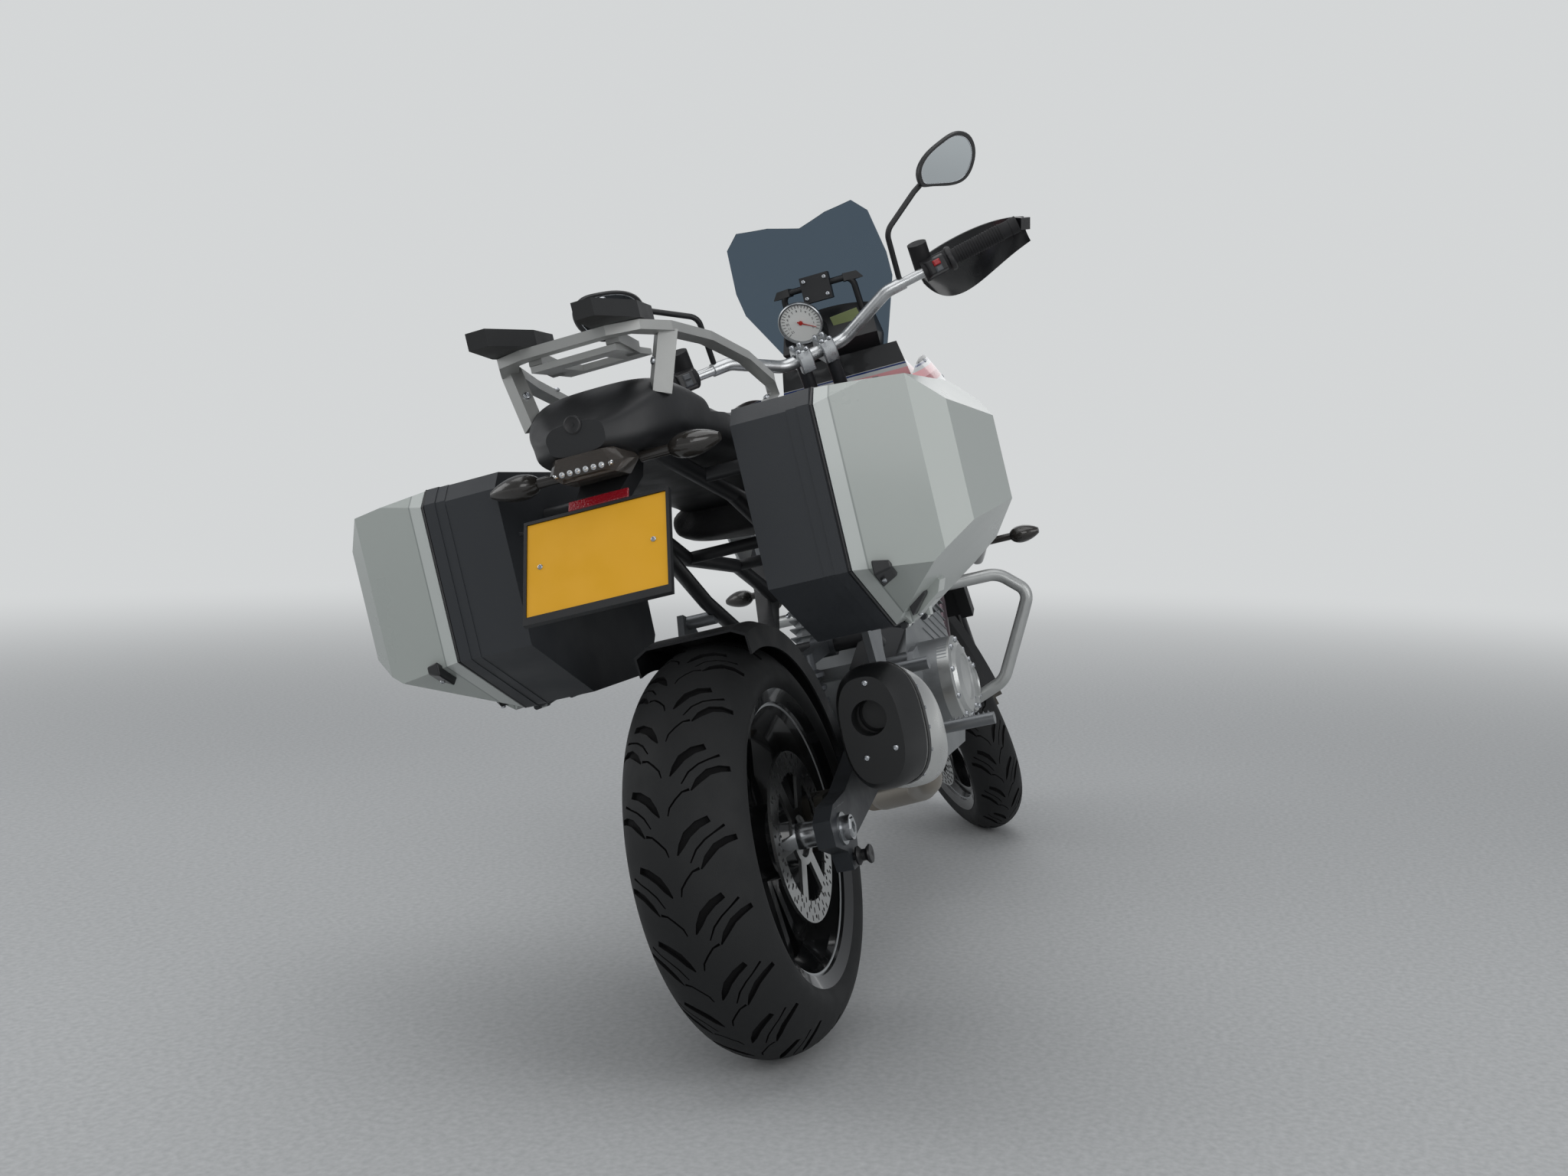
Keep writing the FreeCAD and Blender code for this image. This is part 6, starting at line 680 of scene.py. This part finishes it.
# Fork: anodised black outer tubes, hard-chromed sliders below them, and cast yokes.
# Turned caps with a hexagon close the tubes above the upper yoke.
dress("fork_legs", Coat("anodised aluminium", "1c1d20", 0.3, 0.6, patch=25, grit=0.8, tooth=0.03))
dress("yokes", Coat("cast and coated aluminium", "2c2d30", 0.42, 0.5, tooth=0.12))
cap_form = together(turned([(0, -2), (22, -2), (22, 3), (19, 5), (14, 5)], 24),
                    turned([(14, 5), (13, 9), (9, 10), (0, 10)], 6))
fork_caps = [((0, side * 105, 829), UPWARD) for side in (1, -1)]
planted("fork_caps", cap_form, fork_caps, zinc, "steering", FORK)

# Front brake hoses: braided lines in black rubber sleeves, about 8 mm across, one behind each fork leg.
# Each runs from under the lower yoke to a banjo bolt on its calliper, and turns with the fork.
hose_rubber = Coat("sleeved brake hose", "161617", 0.55, patch=20, grit=0.8, tooth=0.08)


def bar_along(path, radius, sides=8):
    """A round bar along a path of points, closed at its ends."""
    points = []
    last = None
    for at, spot in enumerate(path):
        run = (Vector(path[min(at + 1, len(path) - 1)]) - Vector(path[max(at - 1, 0)])).normalized()
        if last is None:
            last = run.orthogonal().normalized()
        last = (last - run * run.dot(last)).normalized()
        points += [Vector(spot) + (last * x + run.cross(last) * y) * radius for x, y in circle(sides)]
    ends = [tuple(range(sides)), tuple(range((len(path) - 1) * sides, len(path) * sides))]
    return points, quads(len(path), sides) + ends


def swept(marks, steps=8):
    """A smooth path through marks, each stretch bent by its neighbours."""
    marks = [Vector(mark) for mark in marks]
    ends = [marks[0] * 2 - marks[1]] + marks + [marks[-1] * 2 - marks[-2]]
    path = []
    for before, here, there, after in zip(ends, ends[1:], ends[2:], ends[3:]):
        path += interpolate_bezier(here, here + (there - before) / 6, there - (after - here) / 6, there,
                                   steps)[:-1]
    return path + [marks[-1]]


hoses, banjo_spots = [], []
for side in (1, -1):
    hose_path = swept([(x, side * y, z) for x, y, z in (
        (-30, 34, 590), (-32, 60, 545), (-36, 92, 470), (-36, 100, 330), (-50, 97, 240), (-80, 86, 170),
        (-92, 76, 126))])
    hoses.append(bar_along(hose_path, 4, 12))
    banjo_spots.append((hose_path[-1] + UPWARD * 5, UPWARD))
piece("brake_hoses", together(*hoses), hose_rubber, "steering", FORK, crease=50)
banjo_bolt = turned([(0, -8), (7, -8), (7, 4), (5, 6), (0, 6)], 6)
planted("banjo_bolts", banjo_bolt, banjo_spots, zinc, "steering", FORK)

# Handlebar: a tapered aluminium tube, bead blasted and anodised silver, in two forged clamps.
# The clamps are machined blocks with four socket screws.
dress("handlebar", Coat("anodised tapered tube", "c3c5c6", 0.3, 0.9, patch=30, grit=0.7, tooth=0.04))
BAR_BEND, BAR_END = Vector((-20, 188, 1013)), Vector((-97, 468, 1052))
CLAMP_OUTLINE = ((-30, -26), (30, -26), (32, 6), (24, 24), (-24, 24), (-32, 6))


def bar_at(out, side):
    """A place on the bar's outer stretch in the fork's frame, so far out from the middle, and its run there."""
    spot = BAR_BEND.lerp(BAR_END, (out - BAR_BEND.y) / (BAR_END.y - BAR_BEND.y))
    run = (BAR_END - BAR_BEND).normalized()
    return Vector((spot.x, side * spot.y, spot.z)), Vector((run.x, side * run.y, run.z))


clamps, clamp_screws = [], []
for side in (1, -1):
    clamp_screws += [((10 + ahead, side * 28 + shift, 970), UPWARD) for shift in (-9, 9) for ahead in (-22, 22)]
    clamps.append(prism(*([(10 + x, side * 28 + wide, 945 + z) for x, z in CLAMP_OUTLINE]
                          for wide in (-16, 16))))
eased(piece("bar_clamps", together(*clamps), machined, "steering", FORK), 3)
planted("clamp_screws", socket_screw(5.5, 5), clamp_screws, zinc, "steering", FORK)

# Grips and controls: ribbed rubber sleeves, moulded switch blocks, and cast levers.
# The right block has a red stop switch, and both have small keys.
grip_rubber = Coat("ribbed grip rubber", "18181a", 0.62, patch=15, grit=0.9, tooth=0.1, Specular_IOR_Level=0.35)
dress("bar_controls", grip_rubber)
switch_black = Coat("moulded nylon", "1b1b1d", 0.45, grit=1.0, tooth=0.08)
rib_form = turned([(16.6, -2.2), (18.4, -1.4), (18.4, 1.4), (16.6, 2.2)], 40)
flange = [(18, 0), (26, 1), (27, 8), (25, 14), (18, 15)]
grip_ribs, switches, red_keys, grey_keys = [], [], [], []
for side in (1, -1):
    grip_ribs += [bar_at(352 + step * 5.6, side) for step in range(18)]
    inner, run = bar_at(326, side)
    switches.append(turned(flange, 40, inner + run * 2, run))
    middle = bar_at(296, side)[0]
    back = Vector((-1, 0, 0.35)).normalized()
    up = run.cross(back).normalized() * side
    corners = ((-24, -20), (24, -20), (24, 20), (-24, 20))
    switches.append(prism([middle + run * a + up * b + back * 12 for a, b in corners],
                          [middle + run * a * 0.8 + up * b * 0.75 + back * 31 for a, b in corners]))
    top = middle + back * 31
    (red_keys if side < 0 else grey_keys).append((top + up * 6, back, run))
    grey_keys.append((top - up * 8, back, run))
planted("grip_ribs", rib_form, grip_ribs, grip_rubber, "steering", FORK)
eased(piece("switch_blocks", together(*switches), switch_black, "steering", FORK), 2.5)
key_form = ([(8 * a * share, 6 * b * share, z) for z, share in ((-2, 1.0), (3, 1.0), (5, 0.7))
             for a, b in ((-1, -1), (1, -1), (1, 1), (-1, 1))], [(0, 3, 2, 1), (8, 9, 10, 11)] + quads(3, 4))
red_plastic = Coat("glossy red ABS", "9c1f24", 0.3, patch=10, tooth=0.0)
planted("stop_switch", key_form, red_keys, red_plastic, "steering", FORK)
grey_plastic = Coat("grey key plastic", "4b4e52", 0.45, tooth=0.03)
planted("switch_keys", key_form, grey_keys, grey_plastic, "steering", FORK)

# Hand guards: injection-moulded shells, glossy where hands wipe them.
# Each is screwed to the bar's end and to a clamp by the switch block.
dress("hand_guards", Coat("glossy moulded ABS", "141517", 0.25, grit=2.0, tooth=0.03, Coat_Weight=0.3,
                          Coat_Roughness=0.15))

# Mirrors: moulded housings on steel stalks, with silvered glass behind a bright edge.
# The edge is a thin plated rim, rolled round the glass.
dress("mirrors", Coat("moulded mirror housing", "161719", 0.42, grit=1.2, tooth=0.07))
dress("mirror_glass", Coat("silvered glass", "cdd3d6", 0.03, 1.0, patch=80, stain=0.02, rub=0.01, tooth=0.0))
RIM_STEPS = 64
mirror_rims = []
for side in (1, -1):
    glass = [UNFORK @ (node["mirror_glass"].matrix_world @ v.co) for v in node["mirror_glass"].data.vertices]
    face = [p for p in glass if p.y * side > 0]
    centre = sum(face, Vector()) / len(face)
    rear = min(p.x for p in face)
    edge = [max(face, key=lambda p: (p - centre).dot(Vector((0, a, b)))) for a, b in circle(RIM_STEPS)]
    ways = [Vector((0, p.y - centre.y, p.z - centre.z)).normalized() for p in edge]
    points = [Vector((rear + lift, p.y, p.z)) + way * grow
              for grow, lift in ((-1.6, -0.2), (-1.2, -1.0), (0.0, -1.0), (0.2, 0.4))
              for p, way in zip(edge, ways)]
    mirror_rims.append((points, quads(4, RIM_STEPS, closed=True)))
piece("mirror_edges", together(*mirror_rims), zinc, "steering", FORK)

# Instruments: a moulded housing with a round rev counter, a liquid crystal panel and keys.
# The dial is a printed white disc with generic numbers under a turned aluminium bezel.
dress("screen_bracket instruments", Coat("moulded cockpit plastic", "1a1b1d", 0.46, grit=1.0, tooth=0.08))
to_rider = Vector((-math.cos(math.radians(30)), 0, math.sin(math.radians(30))))
dial_middle, dial_face = landed("instruments", Vector((1268, 50, 1211)) + to_rider * 120, -to_rider)
dial_up = (UPWARD - dial_face * dial_face.z).normalized()
dial_right = dial_face.cross(dial_up)


def dial_way(degrees):
    """A direction on the dial, counted from its right towards its top."""
    turn = math.radians(degrees)
    return dial_right * math.cos(turn) + dial_up * math.sin(turn)


bezel_rows = [(50, -1), (50, 5), (48, 7), (45, 6), (44, 1.5), (44, -1)]
piece("gauge_bezel", turned(bezel_rows, 72, dial_middle, dial_face, ring=True), machined)
dial = turned([(0, 0.6), (44.5, 0.6), (44.5, -0.5), (0, -0.5)], 64, dial_middle, dial_face)
dial_white = Coat("printed dial", "e8e9e6", 0.5, patch=20, stain=0.02, tooth=0.0)
piece("gauge_dial", dial, dial_white)
dial_print = Coat("dial print", "1d1d20", 0.5, tooth=0.0)
DIAL_START, DIAL_SWEEP = 215, 250
marks = []
for step in range(25):
    way = dial_way(DIAL_START - step * DIAL_SWEEP / 24)
    marks.append((dial_middle + dial_face * 0.6 + way * 39, dial_face, way))
planted("gauge_marks", block(3.5, 0.6, 0, 0.3), marks, dial_print)
dial_turn = Matrix((dial_right, dial_up, dial_face)).transposed().to_4x4()
numbers = []
for count in range(13):
    text = bpy.data.curves.new("dial number", "FONT")
    text.body = str(count)
    text.size = 8
    text.align_x = "CENTER"
    text.align_y = "CENTER"
    text.extrude = 0.15
    holder = bpy.data.objects.new("dial number", text)
    scene.collection.objects.link(holder)
    shown = bpy.data.meshes.new_from_object(holder.evaluated_get(bpy.context.evaluated_depsgraph_get()))
    bpy.data.objects.remove(holder)
    way = dial_way(DIAL_START - count * DIAL_SWEEP / 12)
    spot = Matrix.Translation(dial_middle + dial_face * 0.8 + way * 29) @ dial_turn
    numbers.append(([spot @ v.co for v in shown.vertices], [tuple(p.vertices) for p in shown.polygons]))
piece("gauge_numbers", together(*numbers), dial_print)
needle_way = dial_way(210)
needle_side = dial_face.cross(needle_way)
needle = prism(*([dial_middle + dial_face * lift + needle_way * along + needle_side * wide
                  for along, wide in ((-8, -1.4), (36, -0.5), (36, 0.5), (-8, 1.4))] for lift in (2.2, 3.2)))
needle_hub = turned([(0, 1), (5, 1), (4.5, 4), (0, 4.5)], 24, dial_middle, dial_face)
needle_red = Coat("needle red", "b8291f", 0.4, tooth=0.0)
piece("gauge_needle", together(needle, needle_hub), needle_red)
panel_middle = landed("instruments", Vector((1268, -45, 1211)) + to_rider * 120, -to_rider)[0]
panel = prism(*([panel_middle + dial_face * lift + dial_right * a + dial_up * b
                 for a, b in ((-36, -20), (30, -24), (34, 20), (-30, 26))] for lift in (-0.5, 1.0)))
piece("lcd_panel", panel, Coat("liquid crystal panel", "8f9a6c", 0.2, patch=40, stain=0.05, tooth=0.0))
plate_x = landed("screen_bracket", (1100, 0, 1303), AHEAD)[0].x - 0.2
holder_screws = [((plate_x, y, z), BACKWARD) for y in (-24, 24) for z in (1284, 1322)]
planted("device_plate_screws", socket_screw(5, 3.5), holder_screws, zinc)

# Fuel tank: pressed steel under painted covers, blue and white in front and grey behind, with a lockable cap.
# Lacquer gives a deep gloss, and the cap is turned aluminium held by a ring of screws.
LACQUER = {"tooth": 0.02, "rub": 0.06, "Coat_Weight": 0.7, "Coat_Roughness": 0.05}
tank_coat = Coat("lacquered tank paint", "8f9295", 0.22, patch=90, stain=0.03, **LACQUER)
tank_rise = tank_coat.wire("Math", {0: tank_coat.z, 1: 0.9}, operation="MULTIPLY")[0]
tank_slope = tank_coat.wire("Math", {0: tank_rise, 1: tank_coat.x}, operation="ADD")[0]
tank_aside = tank_coat.wire("Math", {0: tank_coat.y}, operation="ABSOLUTE")[0]
tank_front = tank_coat.between(tank_slope, 1738, soft=3)
tank_flank = tank_coat.between(tank_aside, 92, soft=2)
tank_blue = tank_coat.wire("Math", {0: tank_front, 1: tank_flank}, operation="MULTIPLY")[0]
tank_coat.cover(tank_blue, "2337b4")
tank_tip = tank_coat.between(tank_slope, 1812, soft=3)
tank_coat.cover(tank_coat.wire("Math", {0: tank_blue, 1: tank_tip}, operation="MULTIPLY")[0], "dfe1e6")
tank_coat.cover(tank_coat.between(tank_aside, high=60, soft=2), "47494c", 0.4)
dress("fuel_tank", tank_coat)
cap_metal = Coat("turned cap aluminium", "a4a6a8", 0.28, 1.0, patch=20, tooth=0.02)
dress("fuel_cap", cap_metal)
collar_spots = spots_on("fuel_tank", [(940 + 48 * x, 48 * y, 1150) for x, y in circle(7)], DOWNWARD)
planted("filler_screws", socket_screw(3.6, 2.4), collar_spots, zinc)
cap_lock = together(turned([(0, 1043), (9, 1043), (9, 1037), (0, 1037)], 24, (928, 0, 0)),
                    turned([(2.5, 1043.4), (2.5, 1042), (0, 1042), (0, 1043.4)], 4, (928, 0, 0)))
piece("cap_lock", cap_lock, cap_metal, "fuel_cap")

# Seats: moulded foam under black grained vinyl, drawn over a pan and stapled beneath.
# The panels of the cover meet in a seam with a row of stitches, and the foam crowns between its edges.
leather = Coat("grained seat vinyl", "1f1f21", 0.52, patch=30, stain=0.2, grit=0.9, tooth=0.08,
               Sheen_Weight=0.12)
# Vinyl grain is cells about 1.5 mm wide, drawn at 3 mm so that they show.
vinyl_cells = leather.wire("TexVoronoi", {"Vector": leather.place, "Scale": 1 / 3},
                           feature="DISTANCE_TO_EDGE")["Distance"]
leather.emboss(leather.between(vinyl_cells, 0.0, soft=0.16), 0.2)
dress("rider_seat pillion_seat", leather)
# The cover is remeshed in cells of this size, and the cloth may swell it by so much, both in metres.
VOXEL, SWELL = 0.006, 0.003


def crowned(source):
    """A seat from its CAD solid: remeshed, then swelled a little by cloth pressure and held within a cap."""
    made = bpy.data.objects.new(source + "_cover", node[source].data.copy())
    scene.collection.objects.link(made)
    made.data.materials.clear()
    made.data.materials.append(leather.material)
    merged = bmesh.new()
    merged.from_mesh(made.data)
    bmesh.ops.remove_doubles(merged, verts=merged.verts, dist=1e-5)
    merged.to_mesh(made.data)
    merged.free()
    remesh = made.modifiers.new("remesh", "REMESH")
    remesh.mode = "VOXEL"
    remesh.voxel_size = VOXEL
    relax = made.modifiers.new("relax", "SMOOTH")
    relax.iterations = 8
    relax.factor = 0.5
    settled(made)
    rest = [v.co.copy() for v in made.data.vertices]
    down = BIKE.to_3x3() @ DOWNWARD
    under = made.vertex_groups.new(name="pan")
    under.add([v.index for v in made.data.vertices if v.normal.dot(down) > 0.0004], 1.0, "REPLACE")
    cloth = made.modifiers.new("foam", "CLOTH").settings
    cloth.use_pressure = True
    cloth.uniform_pressure_force = 4
    cloth.effector_weights.gravity = 0
    cloth.vertex_group_mass = "pan"
    cloth.tension_stiffness = 40
    cloth.compression_stiffness = 40
    for step in range(1, 21):
        scene.frame_set(step)
    moved = [v.co.copy() for v in made.evaluated_get(bpy.context.evaluated_depsgraph_get()).data.vertices]
    made.modifiers.clear()
    scene.frame_set(1)
    for vertex, before, after in zip(made.data.vertices, rest, moved):
        shift = after - before
        if shift.length > SWELL:
            shift *= SWELL / shift.length
        vertex.co = before + shift
    made.vertex_groups.clear()
    for face in made.data.polygons:
        face.use_smooth = True
    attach(made, "root")
    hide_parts(source)
    SKINS[made.name] = skin_of(made.data)


crowned("rider_seat")
crowned("pillion_seat")
# Seams: a welt of folded vinyl along each side of both seats, with stitches beside it.
thread = Coat("seam thread", "4a4a4d", 0.7, tooth=0.0)
stitch_form = bar_along([(-2.2, 0, -0.2), (-1, 0, 0.5), (1, 0, 0.5), (2.2, 0, -0.2)], 0.45, 6)
for label, x0, x1, drop in (("rider_seat", 340, 628, 22), ("pillion_seat", -70, 300, 30)):
    skin = label + "_cover"
    welts, stitches = [], []
    for side in (1, -1):
        path = []
        for step in range(70):
            x = x0 + (x1 - x0) * step / 69
            top = landed(skin, (x, 0, 1200), DOWNWARD)
            if top:
                path += spots_on(skin, [(x, side * 300, top[0].z - drop)], (0, -side, 0))
        welts.append(bar_along([spot for spot, _ in path], 1.6))
        for at in range(1, len(path) - 1):
            spot, face = path[at]
            stitches.append((spot + UPWARD * 5 + face * 0.1, face, path[at + 1][0] - path[at - 1][0]))
    piece(label + "_welt", together(*welts), leather)
    planted(label + "_stitches", stitch_form, stitches, thread)

# Tail: a moulded cowl in matt black with a round lock, under a cast rack in coated silver grey.
# Rubber pads are screwed to the rack's ears.
dress("tail_cowl", Coat("moulded tail ABS", "1d1e20", 0.46, patch=50, grit=1.1, tooth=0.1))
dress("luggage_rack", Coat("powder-coated cast rack", "a9aaa8", 0.38, 0.45, patch=50, grit=1.0, tooth=0.12))
dress("rack_pads", Coat("moulded pad rubber", "1a1b1c", 0.55, grit=0.9, tooth=0.1))
lock_middle, lock_face = landed("tail_cowl", (-500, 0, 978), AHEAD)
tail_lock = together(
    turned([(0, -2), (13, -2), (13, 1.5), (11, 2.5), (9, 1.2), (0, 1.2)], 32, lock_middle, lock_face),
    turned([(0, 1.0), (3, 1.0), (3, 1.8), (0, 1.8)], 4, lock_middle, lock_face))
piece("tail_lock", tail_lock, switch_black)
rack_starts = [(x, side * y, 1300) for side in (1, -1)
               for x, y in ((180, 138), (90, 138), (0, 138), (-90, 138), (-200, 100))]
planted("rack_screws", socket_screw(6, 4), spots_on("luggage_rack", rack_starts, DOWNWARD), zinc)
pad_starts = [(x, side * 95, 1300) for side in (1, -1) for x in (-330, -220)]
planted("pad_screws", socket_screw(5, 2.5), spots_on("rack_pads", pad_starts, DOWNWARD), zinc)

# Rear lamp, indicators and plate: smoky polycarbonate lenses over bright reflectors and bulbs.
# The plate is blank yellow sheet in a black frame, with a red reflector above it.
dress("tail_lamp", Coat("smoky polycarbonate", "8d8680", 0.06, patch=80, stain=0.03, rub=0.02, tooth=0.0,
                        Transmission_Weight=0.82, IOR=1.3))
dress("indicators", Coat("smoky indicator", "2a2724", 0.22, tooth=0.0, Coat_Weight=0.4, Coat_Roughness=0.1))
dress("plate_holder", Coat("moulded plate frame", "17181a", 0.48, tooth=0.08))
dress("number_plate", Coat("blank plate sheet", "e0a51c", 0.34, patch=40, stain=0.04, tooth=0.03))
chrome = Coat("chromed reflector", "d8dadc", 0.12, 1.0, patch=10, tooth=0.0)
led_form = turned([(0, 2.6), (1.6, 2.2), (2.4, 1.0), (4.2, 1.2), (4.6, 0), (4.6, -1), (0, -1)], 12)
led_spots = [(spot + face * 0.2, face)
             for spot, face in spots_on("tail_lamp", [(-500, y, 915) for y in range(-42, 43, 12)], AHEAD)]
planted("tail_lamp_leds", led_form, led_spots, chrome)
reflector_red = Coat("prismatic red reflector", "8e1420", 0.2, patch=10, tooth=0.0, Coat_Weight=0.5,
                     Coat_Roughness=0.05)
reflector_cells = reflector_red.wire("TexVoronoi", {"Vector": reflector_red.place, "Scale": 1 / 3})["Distance"]
reflector_red.emboss(reflector_cells, 0.6)
strip_spot, strip_face = landed("plate_holder number_plate", (-500, 0, 872), AHEAD)
strip_rise = (UPWARD - strip_face * strip_face.z).normalized()
strip = prism(*([strip_spot + LEFTWARD * y + strip_rise * z + strip_face * lift
                 for y, z in ((-46, -8), (46, -8), (46, 8), (-46, 8))] for lift in (-1.5, 2.0)))
eased(piece("rear_reflector", strip, reflector_red), 1.5)
plate_screws = spots_on("number_plate", [(-500, y, 800) for y in (-85, 85)], AHEAD)
planted("plate_screws", socket_screw(4, 2), plate_screws, zinc)

# Side cases: blow-moulded black shells and painted lids, hinged on black feet and closed by a latch above.
# A rubber seal lies in the seam, and both halves have a stepped rim there.
case_black = Coat("moulded case polypropylene", "2b2e32", 0.5, patch=90, stain=0.08, grit=1.2, tooth=0.1)
dress("left_case right_case", case_black)
lid_paint = Coat("silver case paint", "a7ada9", 0.3, patch=160, stain=0.02, rub=0.06, tooth=0.02, Coat_Weight=0.4,
                 Coat_Roughness=0.1)
lid_aside = lid_paint.wire("Math", {0: lid_paint.y}, operation="ABSOLUTE")[0]
# A stepped edge by the seam catches more light than the rest of the lid.
lid_paint.cover(lid_paint.between(lid_aside, high=329, soft=1.5), "bcc1be", 0.28)
lid_paint.cover(lid_paint.between(lid_aside, 328.5, 331), "8b918e", 0.35)
dress("left_lid right_lid", lid_paint)
foot_black = Coat("moulded hinge foot", "191a1c", 0.36, grit=1.4, tooth=0.06)
SEAM = ((-195, 697), (-195, 931), (-171, 955), (247.2, 947.8), (300, 892.6), (288, 660.6), (228, 603),
        (-17, 603))
for side, label in ((1, "left"), (-1, "right")):
    rims = []
    for low, high, lift in ((284, 302, 2.2), (268, 284, 1.0)):
        hearts = [Vector((50, side * y, 785)) for y in (low, high)]
        rims.append(strap(label + "_case", hearts, AHEAD, UPWARD, 600, lift, 220))
    piece(label + "_case_rim", together(*rims), case_black)
    seal = [Vector((x, side * 305, z)) for x, z in SEAM]
    piece(label + "_case_seal", bar_along(seal + [seal[0]], 2.0, 8), foot_black)
    # Each foot is a wedge: across it, half its width and its height above the lid.
    feet, screws = [], []
    for x, z, run in ((-176, 687, Vector((0.885, 0, -0.466))), (-10, 603, AHEAD)):
        run = run.normalized()
        down = LEFTWARD.cross(run)
        rows = []
        for y, wide, high in ((306, 34, 17), (338, 31, 15), (362, 20, 5)):
            for spot, _ in spots_on(label + "_lid", [Vector((x, side * y, z)) + down * 220], -down):
                rows += [spot + run * along + down * rise
                         for along, rise in ((-wide, -5), (wide, -5), (wide * 0.7, high), (-wide * 0.7, high))]
        ends = [(0, 1, 2, 3), tuple(range(len(rows) - 4, len(rows)))]
        feet.append((rows, ends + quads(len(rows) // 4, 4)))
        screws.append(((rows[2] + rows[3]) / 2 + LEFTWARD * side * 8, down))
    eased(piece(label + "_lid_feet", together(*feet), foot_black, label + "_lid"), 2.5, 3)
    planted(label + "_feet_screws", socket_screw(4, 2), screws, zinc, label + "_lid")
    latches = []
    for x in (-110, 190):
        starts = [(x + a, side * y, 1150) for a, y in ((-26, 274), (26, 274), (22, 301), (-22, 301))]
        spots = spots_on(label + "_case", starts, DOWNWARD)
        face = sum((spot[1] for spot in spots), Vector()).normalized()
        latches.append(prism([spot[0] - face * 2 for spot in spots], [spot[0] + face * 4 for spot in spots]))
    eased(piece(label + "_latch_bases", together(*latches), foot_black), 1.5, 2)
    # Pressed flutes stiffen the side of the case that faces the wheel.
    flutes = []
    for z in (760, 810, 860):
        line = spots_on(label + "_case", [(x, side * 100, z) for x in range(-150, 251, 20)], (0, side, 0))
        flutes.append(bar_along([spot for spot, _ in line], 3.0, 8))
    piece(label + "_case_flutes", together(*flutes), case_black)

# Fairing: injection-moulded ABS, painted white and lacquered, with a red stripe and bare black upper parts.
# Clear lamps sit under it, and torx screws hold each panel.
BARE_ABS = "1b1c1e"
white_paint = Coat("lacquered white ABS", "c8cbcb", 0.22, patch=120, stain=0.02, **LACQUER)
fairing_fall = white_paint.wire("Math", {0: white_paint.x, 1: 0.16}, operation="MULTIPLY")[0]
fairing_rise = white_paint.wire("Math", {0: white_paint.z, 1: fairing_fall}, operation="SUBTRACT")[0]
for low, high, colour in ((852, 868, "b4474f"), (868, 884, "e7a0a4"), (892, 896, "24376f")):
    white_paint.cover(white_paint.between(fairing_rise, low, high, 0.8), colour)
white_paint.cover(white_paint.between(fairing_rise, 897), BARE_ABS, 0.45)
white_paint.cover(white_paint.between(fairing_rise, high=560), BARE_ABS, 0.45)
dress("fairing_panels", white_paint)
nose_paint = Coat("lacquered nose ABS", "c8cbcb", 0.22, patch=120, stain=0.02, **LACQUER)
nose_paint.cover(nose_paint.between(nose_paint.z, 1004), BARE_ABS, 0.42)
nose_paint.cover(nose_paint.between(nose_paint.z, high=838), BARE_ABS, 0.45)
dress("nose_fairing", nose_paint)
SCREWS_AT = ((900, 1020), (1010, 1060), (1150, 1080), (1290, 1050), (1340, 820), (1180, 690), (960, 760))
panel_spots = []
for side in (1, -1):
    panel_spots += spots_on("fairing_panels", [(x, side * 500, z) for x, z in SCREWS_AT], (0, -side, 0))
planted("fairing_screws", socket_screw(5, 2.4), panel_spots, zinc)

# Headlamps: chromed bowls and bulbs behind hard-coated clear lenses.
# Each bowl is a bright dish let into the lens, with a round bulb at its middle.
dress("headlamps", Coat("clear lamp polycarbonate", "eef2f5", 0.04, patch=200, stain=0.01, rub=0.02, tooth=0.0,
                        Transmission_Weight=0.75, IOR=1.3))
bowl = [(23, 0.8), (21, 1.2), (19, -0.4), (11.5, -3), (4, -4), (0, -4), (0, -5), (23, -5)]
lamp_spots = spots_on("headlamps", [(1800, y, 960) for y in (52, 98, -52, -98)], BACKWARD)
bowls = [turned(bowl, 40, spot, face) for spot, face in lamp_spots]
piece("lamp_bowls", together(*bowls), chrome)
clear = Coat("clear bulb glass", "f0efe9", 0.05, patch=30, stain=0.02, rub=0.02, tooth=0.0,
             Transmission_Weight=0.3, IOR=1.45)
planted("lamp_bulbs", turned([(0, 5), (3, 4.4), (5, 2), (5.4, -1), (0, -1)], 20),
        [(spot - face * 3, face) for spot, face in lamp_spots], clear)

# Windscreen: smoked polycarbonate, thermoformed, on two black brackets with rubber-washered screws.
# It is thin and bends light little, so its index is drawn low.
dress("windscreen", Coat("smoked polycarbonate", "56636f", 0.03, patch=400, stain=0.01, rub=0.01, tooth=0.0,
                         Transmission_Weight=1.0, IOR=1.08))
screen_starts = [(1000, side * y, z) for side in (1, -1) for y, z in ((86, 1230), (100, 1175))]
planted("screen_screws", socket_screw(7, 4), spots_on("windscreen", screen_starts, AHEAD), black_nylon)

# Engine guards: bent steel tube, powder coated silver, held by clamps with zinc-plated bolts.
# The coating is slightly pebbled.
dress("engine_guards", Coat("silver powder coat", "b4b6b5", 0.34, 0.55, patch=30, grit=1.0, tooth=0.05))
clamp_starts = [(1052, side * y, 700) for side in (1, -1) for y in (180, 300)]
clamp_spots = spots_on("engine_guards", clamp_starts, DOWNWARD)
planted("guard_bolts", socket_screw(6, 5), clamp_spots, zinc)

# Footrests: cast hangers with serrated steel pegs.
# The serration is small pyramids in three rows, which hold a boot in the wet.
dress("footrests", Coat("cast hanger", "7d8083", 0.4, 0.7, grit=1.0, tooth=0.12))
peg_starts = [(x, side * y, 460) for side in (1, -1) for x in (548, 560, 572) for y in range(222, 300, 9)]
peg_tooth = turned([(0, 5), (2.4, 0), (2.4, -1), (0, -1)], 4)
planted("peg_teeth", peg_tooth, spots_on("footrests", peg_starts, DOWNWARD), zinc)
